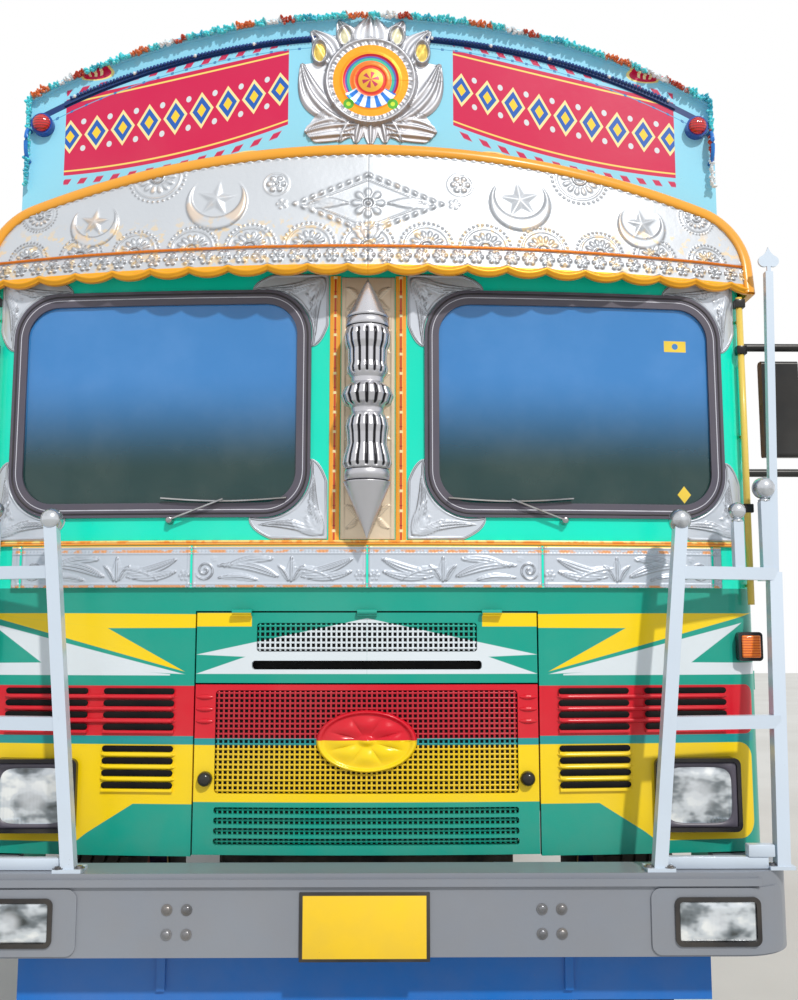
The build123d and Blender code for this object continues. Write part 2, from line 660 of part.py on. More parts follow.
def lattice(sheet, x, z, columns, rows, wire):
    """A curved sheet cut into a grid of square openings, leaving wires between them."""
    pitch_x, pitch_z = (x[1] - x[0]) / columns, (z[1] - z[0]) / rows
    with BuildPart() as mesh:
        add(sheet)
        with BuildSketch(front_plane(0)) as holes:
            with Locations(((x[0] + x[1]) / 2, (z[0] + z[1]) / 2)):
                with GridLocations(pitch_x, pitch_z, columns, rows):
                    Rectangle(pitch_x - wire, pitch_z - wire)
        extrude(holes.sketch, amount=-500, mode=Mode.SUBTRACT)
    return mesh.part


grille_mesh = lattice(mesh_sheet, (-MESH_X, MESH_X), MESH_Z, 22, 8, 9)
with BuildPart() as grille_panel:
    add(grille_sheet)
    rounded_prism((-MESH_X, MESH_X), MESH_Z, 12, (100, 400), Mode.SUBTRACT)
    for row in range(4):
        low = LOW_MESH_Z[0] + row * 30
        rounded_prism((-MESH_X, MESH_X), (low, low + 20), 8, (100, 400), Mode.SUBTRACT)
    add(grille_mesh)
save(grille_panel, "grille_panel")

# Lid over the grille, hung from its top edge
LID_MESH_Z = (1496, 1583)
LID_SLOT_Z = (1442, 1469)
LID_HINGE = (178, 1616)
LID_BARREL = 8
LID_BARRELS = (-380, 0, 380)
lid_sheet = nose_skin(0, 24, (-NOSE_HALF + PANEL_GAP, NOSE_HALF - PANEL_GAP), (LID_BOTTOM, LID_TOP))
lid_mesh_sheet = nose_skin(-MESH_DEPTH[0], MESH_DEPTH[1], (-336 - LAP, 336 + LAP),
                           (LID_MESH_Z[0] - LAP, LID_MESH_Z[1] + LAP))
lid_mesh = lattice(lid_mesh_sheet, (-336, 336), LID_MESH_Z, 16, 2, 9)
with BuildPart() as bonnet_lid:
    add(lid_sheet)
    rounded_prism((-336, 336), LID_MESH_Z, 10, (100, 400), Mode.SUBTRACT)
    rounded_prism((-350, 350), LID_SLOT_Z, 10, (100, 400), Mode.SUBTRACT)
    add(lid_mesh)
    for x in LID_BARRELS:
        rod(x, LID_HINGE[0], LID_HINGE[1], LID_BARREL, 60, turn=(0, 90, 0))
        block((x - 30, x + 30), (LID_HINGE[0], CAB_NOSE + 12), (1604, LID_HINGE[1] - 3))
save(bonnet_lid, "bonnet_lid")

# Upper nose: windscreen frame with round-cornered openings and a shelf under the roof's front
PANE_X = (RUBBER_X[0] + RUBBER_LAP, RUBBER_X[1] - RUBBER_LAP)
PANE_Z = (RUBBER_Z[0] + RUBBER_LAP, RUBBER_Z[1] - RUBBER_LAP)
BELT_Z = (1690, 1819)
BELT_PROUD = 14
belt_sheet = nose_skin(BELT_PROUD, 5, (-1110, 1110), BELT_Z)
with BuildPart() as windscreen_frame:
    add(nose_tube)
    block((-1300, 1300), (DOOR_FRONT, 2200), (800, 2800), mode=Mode.SUBTRACT)
    block((-1300, 1300), (0, 500), (800, COWL_TOP), mode=Mode.SUBTRACT)
    with BuildSketch(Plane.XY.offset(EAVES - WALL)):
        add(cab_outline(WALL))
        with Locations(place(0, (DOOR_FRONT + 3000) / 2, 0)[:2]):
            Rectangle(3000, 3000 - DOOR_FRONT, mode=Mode.SUBTRACT)
    extrude(amount=WALL)
    add(belt_sheet)
    for side in SIDES:
        rounded_prism([side * x for x in PANE_X], PANE_Z, RUBBER_RADIUS - RUBBER_LAP, (100, 395),
                      Mode.SUBTRACT)
save(windscreen_frame, "windscreen_frame")

glass_sheet = nose_skin(0, 6, (-1200, 1200), (1800, EAVES - 40))
rubber_sheet = nose_skin(10, 0, (-1200, 1200), (1800, EAVES - 40))
QUARTER_S = (1330, 1950)
QUARTER_Z = (1880, 2520)
BACK_PANE_X = (-500, 500)
BACK_PANE_Z = (1950, 2450)
with BuildPart() as cab_glass:
    add(glass_sheet)
    with BuildSketch(front_plane(100)) as panes:
        for side in SIDES:
            with Locations((side * sum(PANE_X) / 2, sum(PANE_Z) / 2)):
                RectangleRounded(PANE_X[1] - PANE_X[0], PANE_Z[1] - PANE_Z[0], RUBBER_RADIUS - RUBBER_LAP)
    extrude(panes.sketch, amount=-400, mode=Mode.INTERSECT)
    for side in SIDES:
        side_prism(QUARTER_S, QUARTER_Z, 60, (side * (CAB_HALF - 18), side * (CAB_HALF - 12)), Mode.ADD)
    rounded_prism(BACK_PANE_X, BACK_PANE_Z, 60, (CAB_BACK - 18, CAB_BACK - 12), Mode.ADD)
save(cab_glass, "cab_glass")
with BuildPart() as window_rubbers:
    add(rubber_sheet)
    with BuildSketch(front_plane(100)) as rings:
        for side in SIDES:
            with Locations((side * sum(RUBBER_X) / 2, sum(RUBBER_Z) / 2)):
                wide, high = RUBBER_X[1] - RUBBER_X[0], RUBBER_Z[1] - RUBBER_Z[0]
                RectangleRounded(wide, high, RUBBER_RADIUS)
                RectangleRounded(wide - 2 * RUBBER_WIDTH, high - 2 * RUBBER_WIDTH,
                                 RUBBER_RADIUS - RUBBER_WIDTH, mode=Mode.SUBTRACT)
    extrude(rings.sketch, amount=-400, mode=Mode.INTERSECT)
save(window_rubbers, "window_rubbers")

# Turned spindle in front of the centre pillar: stacked bulbs between two cones
SPINDLE_S = 104
SPINDLE_PROFILE = (
    (1833, 0), (2002, 73), (2008, 70), (2040, 70), (2060, 76), (2082, 72), (2118, 61), (2150, 63),
    (2172, 67), (2194, 62), (2216, 51), (2226, 51), (2244, 72), (2267, 81), (2290, 72), (2308, 51),
    (2323, 51), (2340, 62), (2353, 64), (2368, 60), (2410, 61), (2430, 69), (2455, 72), (2482, 66),
    (2509, 67), (2516, 60), (2640, 0),
)
with BuildPart() as centre_spindle:
    with BuildSketch(front_plane(SPINDLE_S)) as half:
        with BuildLine():
            Polyline(*((r, z) for z, r in SPINDLE_PROFILE), close=True)
        make_face()
    revolve(half.sketch, axis=Axis(place(0, SPINDLE_S, 0), (0, 0, 1)))
    for z in (1940, 2220, 2550):
        block((-20, 20), (SPINDLE_S, CAB_NOSE), (z - 8, z + 8))
save(centre_spindle, "centre_spindle")

# Peak: a curved sheet that leans back over the windscreens, inside an arched rim
lean_axis = Vector(0, PEAK_LEAN, 1)
peak_plane = Plane(origin=place(0, PEAK_NOSE + PEAK_RADIUS * lean_axis.length, PEAK_BOTTOM),
                   x_dir=(1, 0, 0), z_dir=lean_axis)
rim_outer = arch_outline(PEAK_RIM, HEM_LOW - 5)
rim_inner = arch_outline(0, HEM_LOW - 5)


def peak_hull(inset):
    """Everything behind the peak's curved face, inset from it."""
    with BuildPart() as hull:
        with BuildSketch(peak_plane.offset(-1600)):
            Circle(PEAK_RADIUS - inset)
            Rectangle(3200, 2 * PEAK_RADIUS - 1, mode=Mode.INTERSECT)
        extrude(amount=2800)
        block((-1600, 1600), (DOOR_FRONT, 14000), (-1000, 7500), mode=Mode.SUBTRACT)
    return hull.part


def arched_prism(outline, hull):
    """An arched outline carried back to the door's front, kept where it lies inside a hull."""
    with BuildPart() as prism:
        with BuildSketch(front_plane(0)):
            add(outline)
        extrude(amount=-DOOR_FRONT)
        add(hull, mode=Mode.INTERSECT)
    return prism.part


peak_solid = arched_prism(rim_outer, peak_hull(0))
peak_hollow = arched_prism(rim_inner, peak_hull(PEAK_SHEET))
with BuildPart() as peak:
    add(peak_solid)
    add(peak_hollow, mode=Mode.SUBTRACT)
    with BuildSketch(front_plane(0)) as below_hem:
        add(hem_sketch(HEM_LOW - 100))
    extrude(below_hem.sketch, amount=-DOOR_FRONT, mode=Mode.SUBTRACT)
save(peak, "peak")

# Roof: an arched shell with its own front and back walls
with BuildPart() as cab_roof:
    with BuildSketch(front_plane(DOOR_FRONT)):
        add(arch_outline(0, DOOR_TOP))
    extrude(amount=DOOR_FRONT - CAB_BACK)
    with BuildSketch(front_plane(DOOR_FRONT + WALL)):
        add(arch_outline(-WALL, DOOR_TOP))
    extrude(amount=DOOR_FRONT - CAB_BACK + 2 * WALL, mode=Mode.SUBTRACT)
    block((-CAB_HALF + WALL, CAB_HALF - WALL), (DOOR_FRONT, DOOR_FRONT + WALL), (DOOR_TOP, EAVES),
          mode=Mode.SUBTRACT)
save(cab_roof, "cab_roof")

# Board over the cab's roof, the rack behind it, and the rosette on its middle
# The board's raised bands: drop below its top edge, width, how proud, and half their span
BOARD_BANDS = ((4, 20, 14, BOARD_HALF - 4), (78, 14, 8, 1080))
MEDAL_Z = 3490
MEDAL_RADIUS = 257
board_floor = arch_outline(0, DOOR_TOP)
with BuildPart() as header_board:
    with BuildSketch(front_plane(BOARD_S)):
        with Locations((0, BOARD_TOP - BOARD_RADIUS)):
            Circle(BOARD_RADIUS)
        with Locations((0, (2850 + BOARD_TOP) / 2)):
            Rectangle(2 * BOARD_HALF, BOARD_TOP - 2850, mode=Mode.INTERSECT)
        add(board_floor, mode=Mode.SUBTRACT)
    extrude(amount=-BOARD_SKIN)
    for drop, wide, proud, half in BOARD_BANDS:
        with BuildSketch(front_plane(BOARD_S)) as band:
            with Locations((0, BOARD_TOP - BOARD_RADIUS)):
                Circle(BOARD_RADIUS - drop)
                Circle(BOARD_RADIUS - drop - wide, mode=Mode.SUBTRACT)
            with Locations((0, BOARD_TOP)):
                Rectangle(2 * half, 1000, mode=Mode.INTERSECT)
            with Locations((0, MEDAL_Z)):
                Circle(MEDAL_RADIUS + 3, mode=Mode.SUBTRACT)
        extrude(band.sketch, amount=proud)
save(header_board, "header_board")

RACK_X = 1100
RACK_Z = 3330
with BuildPart() as roof_rack:
    for side in SIDES:
        block((side * (RACK_X - 18), side * (RACK_X + 18)), (BOARD_S + BOARD_SKIN, 2030),
              (RACK_Z - 18, RACK_Z + 18))
        block((side * (RACK_X - 15), side * (RACK_X + 15)), (BOARD_S + BOARD_SKIN, 2030), (3120, 3150))
        for s in (1000, 1500, 2012):
            block((side * (RACK_X - 18), side * (RACK_X + 18)), (s - 18, s + 18), (2700, RACK_Z))
    for z in (3135, RACK_Z):
        block((-RACK_X, RACK_X), (1994, 2030), (z - 16, z + 16))
    for x in (-550, 0, 550):
        block((x - 16, x + 16), (1996, 2028), (2700, RACK_Z))
    with BuildSketch(front_plane(0)) as below:
        add(board_floor)
    extrude(below.sketch, amount=-3000, mode=Mode.SUBTRACT)
save(roof_rack, "roof_rack")

# Lotus rosette: pointed petals in two rows round a stepped boss. Rows: count, root, width, tip, thickness
PETAL_ROWS = ((24, 120, 34, MEDAL_RADIUS, 10), (12, 120, 40, 222, 16))
with BuildPart() as rosette:
    for count, root, wide, tip, thick in PETAL_ROWS:
        with BuildSketch(front_plane(BOARD_S)) as petals:
            for number in range(count):
                with BuildLine(Location((0, MEDAL_Z, 0), (0, 0, 1), number * 360 / count)):
                    ThreePointArc((root, 0), ((root + tip) / 2, wide / 2 + 8), (tip, 0))
                    ThreePointArc((tip, 0), ((root + tip) / 2, -wide / 2 - 8), (root, 0))
                make_face()
            with Locations((0, MEDAL_Z)):
                Circle(168)
        extrude(petals.sketch, amount=thick)
    for radius, thick in ((150, 20), (120, 26)):
        with BuildSketch(front_plane(BOARD_S)) as boss:
            with Locations((0, MEDAL_Z)):
                Circle(radius)
        extrude(boss.sketch, amount=thick)
save(rosette, "rosette")

# Guards of square tube in front of the cowl's corners, with rails, balls and a flag post
TUBE = 38
GUARD_INNER = ((835, 45, 886), (942, 100, 1870))
GUARD_OUTER = ((1190, 60, 886), (1252, 190, 1736))
FLAG_POST = ((1252, 190, 1736), (1282, 205, 2700))
# Balls on the guards: x, s, foot of their stub, height of the ball's middle, radius
BALLS = (
    (942, 100, 1840, 1890, 33),
    (1133, 155, 1740, 1924, 26),
    (1228, 182, 1740, 1998, 34),
)
GUARD_RAILS = (1293, 1732)
SPADE = (1284, 2690)


def spade_outline(x, z):
    """A flat spade for a flag post's top: a stem, two round lobes and a point."""
    with BuildSketch() as outline:
        with BuildLine():
            stem = Polyline((x - 6, z + 30), (x - 6, z), (x + 6, z), (x + 6, z + 30))
            right_lobe = ThreePointArc(stem @ 1, (x + 31, z + 38), (x + 20, z + 64))
            right_side = ThreePointArc(right_lobe @ 1, (x + 8, z + 76), (x, z + 94))
            left_side = ThreePointArc(right_side @ 1, (x - 8, z + 76), (x - 20, z + 64))
            ThreePointArc(left_side @ 1, (x - 31, z + 38), stem @ 0)
        make_face()
    return outline.sketch


with BuildPart() as front_guards:
    for side in SIDES:
        inner = [(side * x, s, z) for x, s, z in GUARD_INNER]
        outer = [(side * x, s, z) for x, s, z in GUARD_OUTER]
        flag = [(side * x, s, z) for x, s, z in FLAG_POST]
        bar(*inner, TUBE)
        bar(*outer, TUBE)
        bar(*flag, 24)
        for z in GUARD_RAILS:
            ends = []
            for low, high in (inner, outer):
                share = (z - low[2]) / (high[2] - low[2])
                ends.append(tuple(a + share * (b - a) for a, b in zip(low[:2], high[:2])) + (z,))
            bar(*ends, TUBE)
        block((side * 795, side * 875), (BUMPER_FACE + 4, 85), (886, 896))
        block((side * 1150, side * 1222), (BUMPER_FACE + 25, 110), (886, 896))
        block((side * 1240, side * 1262), (180, 300), (1715, 1737))
        for x, s, low, z, radius in BALLS:
            block((side * (x - 15), side * (x + 15)), (s - 15, s + 15), (low, z - radius - 8))
            rod(side * x, s, z - radius, 12, 40)
            with Locations(place(side * x, s, z)):
                Sphere(radius)
        with BuildSketch(front_plane(201)) as spade:
            add(spade_outline(side * SPADE[0], SPADE[1]))
        extrude(spade.sketch, amount=-8)
    block((-1400, 1400), (-50, 400), (700, BUMPER_Z[1]), mode=Mode.SUBTRACT)
save(front_guards, "front_guards")

# Lamps: headlamps in the cowl, fog lamps in the bumper, indicators, roof markers, tail lamps
INDICATOR_X = (1150, 1225)
INDICATOR_Z = (1466, 1555)
MARKER_X = 1150
MARKER_Z = 3320
with BuildPart() as lamps:
    for side in SIDES:
        rounded_prism([side * x for x in INDICATOR_X], INDICATOR_Z, 12, (235, 330), Mode.ADD)
    with BuildSketch(Plane.XY.offset(1400)):
        add(cab_outline())
    extrude(amount=200, mode=Mode.SUBTRACT)
    for side in SIDES:
        for x, z, s in ((HEADLAMP_X, HEADLAMP_Z, (212, 262)), (FOG_LAMP_X, FOG_LAMP_Z, (0, 60))):
            rounded_prism([side * value for value in x], z, 20, s, Mode.ADD)
            rounded_prism((side * (x[0] + LAMP_RIM), side * (x[1] - LAMP_RIM)),
                          (z[0] + LAMP_RIM, z[1] - LAMP_RIM), 12, (s[0] - 1, s[0] + LAMP_DEPTH),
                          Mode.SUBTRACT)
        rod(side * MARKER_X, BOARD_S - 14, MARKER_Z, 38, 28, turn=(90, 0, 0))
        block((side * 1000, side * REAR_BAR_HALF), (7362, 7397), (REAR_BAR_Z[1], 750))
save(lamps, "lamps")

# Cab floor on its sills, the engine's cover, sills, quarters and back wall
SEAT_X = ((-850, -440), (440, 1150))
SEAT_BASE_TOP = 1560
HUMP_X = 400
HUMP_END = 1600
HUMP_TOP = 1600
SEAT_BASE_S = (1090, 1500)
GEAR_FOOT = (-290, 1010, HUMP_TOP - 5)
GEAR_KNOB = (-320, 960, 1860)
PEDAL_X = (-705, -500, -435)
with BuildPart() as cab_floor:
    with BuildSketch(Plane.XY.offset(FLOOR_TOP - FLOOR_SKIN)):
        add(cab_outline(WALL))
        with Locations(place(0, (HUMP_END - 500) / 2, 0)[:2]):
            Rectangle(2 * HUMP_X, HUMP_END + 500, mode=Mode.SUBTRACT)
    extrude(amount=FLOOR_SKIN)
    for side in SIDES:
        block((side * 402, side * RAIL_OUT), (300, 2030), (RAIL_TOP, FLOOR_TOP - 5))
    block((-HUMP_X, HUMP_X), (430, HUMP_END), (FLOOR_TOP - FLOOR_SKIN, HUMP_TOP))
    block((-HUMP_X + 12, HUMP_X - 12), (418, HUMP_END - 12), (FLOOR_TOP - FLOOR_SKIN - 1, HUMP_TOP - 60),
          mode=Mode.SUBTRACT)
    for x in SEAT_X:
        block(x, SEAT_BASE_S, (FLOOR_TOP, SEAT_BASE_TOP))
    bar(GEAR_FOOT, GEAR_KNOB, 14)
    with Locations(place(*GEAR_KNOB)):
        Sphere(24)
    for x in PEDAL_X:
        bar((x, 462, FLOOR_TOP - 5), (x, 520, 1340), 14)
        block((x - 24, x + 24), (514, 526), (1305, 1375))
save(cab_floor, "cab_floor")
MOULDINGS = ((1524, 1544), (1790, 1812))
MOULDING_PROUD = 8
STEP_X = (1110, 1230)
STEP_S = (450, 690)
STEPS = (560, 728)
for side in SIDES:
    name = SIDE_NAMES[side]
    wall_x = (side * (CAB_HALF - WALL), side * CAB_HALF)
    moulding_x = (side * (CAB_HALF - 1), side * (CAB_HALF + MOULDING_PROUD))
    step_x = [side * x for x in STEP_X]
    with BuildPart() as cab_side:
        block(wall_x, (DOOR_FRONT, CAB_BACK), (COWL_BOTTOM, DOOR_BOTTOM))
        rod(side * CAB_HALF, FRONT_AXLE, ARCH_CENTRE_Z, ARCH_RADIUS, 200, turn=(0, 90, 0),
            mode=Mode.SUBTRACT)
        block(wall_x, (DOOR_BACK, CAB_BACK), (DOOR_BOTTOM, DOOR_TOP))
        side_prism(QUARTER_S, QUARTER_Z, 60, (side * 1190, side * 1250), Mode.SUBTRACT)
        for z in MOULDINGS:
            block(moulding_x, (DOOR_BACK + DOOR_GAP, CAB_BACK), z)
        for s in STEP_S:
            block(step_x, (s - 4, s + 4), (STEPS[0], COWL_BOTTOM))
        for z in STEPS:
            block(step_x, (STEP_S[0] - 4, STEP_S[1] + 4), (z, z + 12))
    save(cab_side, f"cab_side_{name}")
with BuildPart() as cab_back:
    block((WALL - CAB_HALF, CAB_HALF - WALL), (CAB_BACK - WALL, CAB_BACK), (RAIL_TOP, DOOR_TOP))
    rounded_prism(BACK_PANE_X, BACK_PANE_Z, 60, (2000, 2100), Mode.SUBTRACT)
save(cab_back, "cab_back")

# Doors hung from their front edges, with their panes, on barrels beside the pillars
HINGE_X = 1245
HINGE_S = 403
BARREL = 8
HINGES = (1400, 2350)
DOOR_PANE_S = (520, 1130)
DOOR_PANE_Z = (1880, 2540)
for side in SIDES:
    name = SIDE_NAMES[side]
    skin_x = (side * (CAB_HALF - WALL), side * CAB_HALF)
    moulding_x = (side * (CAB_HALF - 1), side * (CAB_HALF + MOULDING_PROUD))
    with BuildPart() as door:
        block(skin_x, (DOOR_FRONT + DOOR_GAP, DOOR_BACK - DOOR_GAP),
              (DOOR_BOTTOM + DOOR_GAP, DOOR_TOP - DOOR_GAP))
        side_prism(DOOR_PANE_S, DOOR_PANE_Z, 60, (side * 1150, side * 1300), Mode.SUBTRACT)
        for z in HINGES:
            rod(side * HINGE_X, HINGE_S, z, BARREL, 60)
            block((side * CAB_HALF, side * HINGE_X), (HINGE_S, HINGE_S + 40), (z - 30, z + 30))
        for z in MOULDINGS:
            block(moulding_x, (HINGE_S + 50, DOOR_BACK - DOOR_GAP), z)
        side_prism((1120, 1210), (1700, 1722), 8, (side * 1246, side * 1254), Mode.ADD)
        for s in (1130, 1200):
            block((side * CAB_HALF, side * 1247), (s - 8, s + 8), (1703, 1719))
    save(door, f"door_{name}")
    with BuildPart() as door_glass:
        side_prism(DOOR_PANE_S, DOOR_PANE_Z, 60, (side * (CAB_HALF - 18), side * (CAB_HALF - 12)),
                   Mode.ADD)
    save(door_glass, f"door_glass_{name}")

# Mirrors on black tubes ahead of the doors
MIRROR_S = 345
with BuildPart() as mirrors:
    for side in SIDES:
        for z in (2070, 2490):
            rod(side * 1340, MIRROR_S, z, 13, 210, turn=(0, 90, 0))
        rod(side * 1441, MIRROR_S, 2280, 13, 446)
        side_prism((MIRROR_S - 25, MIRROR_S + 15), (2120, 2440), 12, (side * 1290, side * 1410), Mode.ADD)
        for z in (2200, 2360):
            rod(side * 1420, MIRROR_S, z, 9, 40, turn=(0, 90, 0))
save(mirrors, "mirrors")

# Dashboard with the steering column, and the steering wheel on its shaft
COLUMN_X = -600
COLUMN_FOOT = (480, 1240)
WHEEL_HUB = (760, 1960)
column_axis = Vector(0, WHEEL_HUB[0] - COLUMN_FOOT[0], WHEEL_HUB[1] - COLUMN_FOOT[1])
column_foot = Vector(*place(COLUMN_X, *COLUMN_FOOT))
hub_plane = Plane(origin=place(COLUMN_X, *WHEEL_HUB), x_dir=(1, 0, 0), z_dir=column_axis)
foot_plane = Plane(origin=column_foot, x_dir=(1, 0, 0), z_dir=column_axis)
COLUMN_RADIUS = 30
SHAFT_RADIUS = 12
DASH_Z = (1700, 1860)
DASH_BACK = 500
with BuildPart() as dashboard:
    with BuildSketch(Plane.XY.offset(DASH_Z[0])):
        add(cab_outline(WALL))
        with Locations(place(0, (DASH_BACK + 3000) / 2, 0)[:2]):
            Rectangle(3000, 3000 - DASH_BACK, mode=Mode.SUBTRACT)
    extrude(amount=DASH_Z[1] - DASH_Z[0])
    chamfer(dashboard.edges().filter_by(Axis.X).group_by(Axis.Z)[-1].group_by(Axis.Y)[-1], length=70)
    with BuildSketch(foot_plane) as jacket:
        Circle(COLUMN_RADIUS)
        Circle(SHAFT_RADIUS + RUNNING_GAP, mode=Mode.SUBTRACT)
    extrude(jacket.sketch, amount=700)
    block((COLUMN_X - 45, COLUMN_X + 45), (490, 640), (DASH_Z[0] + 20, DASH_Z[1] - 70))
    block((COLUMN_X - 60, COLUMN_X + 60), (440, 520), (FLOOR_TOP, 1265))
    with BuildSketch(foot_plane.offset(-100)) as bore:
        Circle(SHAFT_RADIUS + RUNNING_GAP)
    extrude(bore.sketch, amount=900, mode=Mode.SUBTRACT)
    block((-1300, 1300), (300, 900), (1100, FLOOR_TOP), mode=Mode.SUBTRACT)
save(dashboard, "dashboard")
with BuildPart() as steering_wheel:
    with BuildSketch(foot_plane.offset(60)):
        Circle(SHAFT_RADIUS)
    extrude(amount=column_axis.length - 60)
    with BuildSketch(hub_plane.offset(-25)):
        Circle(45)
    extrude(amount=40)
    with BuildSketch(hub_plane.offset(-6)):
        for angle in (90, 210, 330):
            with Locations(Rotation(0, 0, angle)):
                with Locations((120, 0)):
                    Rectangle(210, 26)
    extrude(amount=12)
    with Locations(hub_plane):
        Torus(225, 14)
save(steering_wheel, "steering_wheel")

# Seat cushions and backs
with BuildPart() as seat_pads:
    for x in SEAT_X:
        block(x, (1060, 1540), (SEAT_BASE_TOP, SEAT_BASE_TOP + 110))
        block(x, (1545, 1640), (SEAT_BASE_TOP + 20, 2230))
save(seat_pads, "seat_pads")

# Load body: runners and cross bearers under the bed, planked walls with posts, and the tail
RUNNER_X = (392, 442)
DECK_HALF = 1155
BEARERS = [2225 + 573 * number for number in range(10)]
POST_HALF = 28
with BuildPart() as body_floor:
    for side in SIDES:
        block([side * x for x in RUNNER_X], (BODY_FRONT + 10, 7395), (RAIL_TOP, BEARER_BOTTOM))
    for s in BEARERS:
        block((-BODY_HALF + 20, BODY_HALF - 20), (s - 30, s + 30), (BEARER_BOTTOM, BED_BOTTOM))
    block((-BODY_HALF, BODY_HALF), (BODY_FRONT, BED_END), (BED_BOTTOM, BED_SEAT))
    block((-DECK_HALF, DECK_HALF), (BODY_FRONT + 35, BED_END - 55), (BED_SEAT, BED_TOP))
save(body_floor, "body_floor")

wall_out = BODY_HALF - POST_DEPTH
WALL_S = (BODY_FRONT + PLANK, BED_END - 50)
SIDE_POSTS = [WALL_S[0] + POST_HALF + 637 * number for number in range(9)]
WALL_RAILS = ((BED_SEAT, 1350), (2000, 2050), (BODY_TOP - 60, BODY_TOP))
for side in SIDES:
    with BuildPart() as body_side:
        block((side * (wall_out - PLANK), side * wall_out), WALL_S, (BED_SEAT, BODY_TOP))
        for s in SIDE_POSTS:
            block((side * wall_out, side * BODY_HALF), (s - POST_HALF, s + POST_HALF), (BED_SEAT, BODY_TOP))
        for low, high in WALL_RAILS:
            block((side * wall_out, side * (BODY_HALF - 8)), WALL_S, (low, high))
    save(body_side, f"body_side_{SIDE_NAMES[side]}")

HEADBOARD_POSTS = (-1100, -550, 0, 550, 1100)
with BuildPart() as body_headboard:
    block((-BODY_HALF, BODY_HALF), (BODY_FRONT, BODY_FRONT + PLANK), (BED_SEAT, HEADBOARD_TOP))
    for x in HEADBOARD_POSTS:
        block((x - POST_HALF, x + POST_HALF), (BODY_FRONT - 30, BODY_FRONT), (BED_SEAT, HEADBOARD_TOP))
    block((-BODY_HALF, BODY_HALF), (BODY_FRONT - 22, BODY_FRONT), (HEADBOARD_TOP - 60, HEADBOARD_TOP))
save(body_headboard, "body_headboard")

TAIL_S = (WALL_S[1], BED_END)
with BuildPart() as tail_frame:
    for side in SIDES:
        block((side * 1150, side * BODY_HALF), TAIL_S, (BED_SEAT, BODY_TOP))
    block((-1150, 1150), (7380, 7410), (TAILBOARD_TOP + 10, BODY_TOP))
    block((-BODY_HALF, BODY_HALF), TAIL_S, (BODY_TOP, BODY_TOP + 70))
    for x in (-700, 0, 700):
        block((x - 28, x + 28), (7410, 7435), (TAILBOARD_TOP + 10, BODY_TOP))
save(tail_frame, "tail_frame")

# Tailboard behind the tail frame, hinged below the bed's edge
TAIL_HINGE = (7470, 1240)
TAIL_BARREL = 12
TAIL_BARRELS = (-950, -320, 320, 950)
with BuildPart() as tailboard:
    block((-1150, 1150), (7425, 7455), (1250, TAILBOARD_TOP))
    for x in (-1050, -525, 0, 525, 1050):
        block((x - 25, x + 25), (7455, 7475), (1300, TAILBOARD_TOP - 10))
    for low in (1300, TAILBOARD_TOP - 60):
        block((-1150, 1150), (7455, 7467), (low, low + 50))
    for x in TAIL_BARRELS:
        rod(x, TAIL_HINGE[0], TAIL_HINGE[1], TAIL_BARREL, 80, turn=(0, 90, 0))
        block((x - 40, x + 40), (7455, 7480), (1241, 1290))
save(tailboard, "tailboard")

# Mudguards over the rear wheels, hung from the cross bearers
GUARD_RADIUS = 600
GUARD_SKIN = 5
GUARD_X = (620, 1215)
with BuildPart() as rear_mudguards:
    for side in SIDES:
        rod(side * sum(GUARD_X) / 2, REAR_AXLE, AXLE_Z, GUARD_RADIUS + GUARD_SKIN, GUARD_X[1] - GUARD_X[0],
            turn=(0, 90, 0))
        rod(side * sum(GUARD_X) / 2, REAR_AXLE, AXLE_Z, GUARD_RADIUS, 700, turn=(0, 90, 0),
            mode=Mode.SUBTRACT)
    block((-1300, 1300), (4800, 6300), (-100, 700), mode=Mode.SUBTRACT)
    for side in SIDES:
        for s in (BEARERS[5], BEARERS[6]):
            rise = (GUARD_RADIUS ** 2 - (s - REAR_AXLE) ** 2) ** 0.5
            for x in (680, 1150):
                block((side * (x - 15), side * (x + 15)), (s - 12, s + 12),
                      (AXLE_Z + rise + 2, BEARER_BOTTOM))
save(rear_mudguards, "rear_mudguards")
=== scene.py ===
# %% [markdown]
# # A decorated goods truck, dressed for its picture
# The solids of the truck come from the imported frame: rails, axles, cab panels, glass, wheels and load body,
# each at its real place. This lesson adds what the eye reads as a decorated truck: painted flashes, pressed
# silver sheet, turned and fluted metal, wire mesh, rubber, lamps, planks and chains. Every new shape is a
# surface worked out with numpy, and every colour is worked out by shader maths.

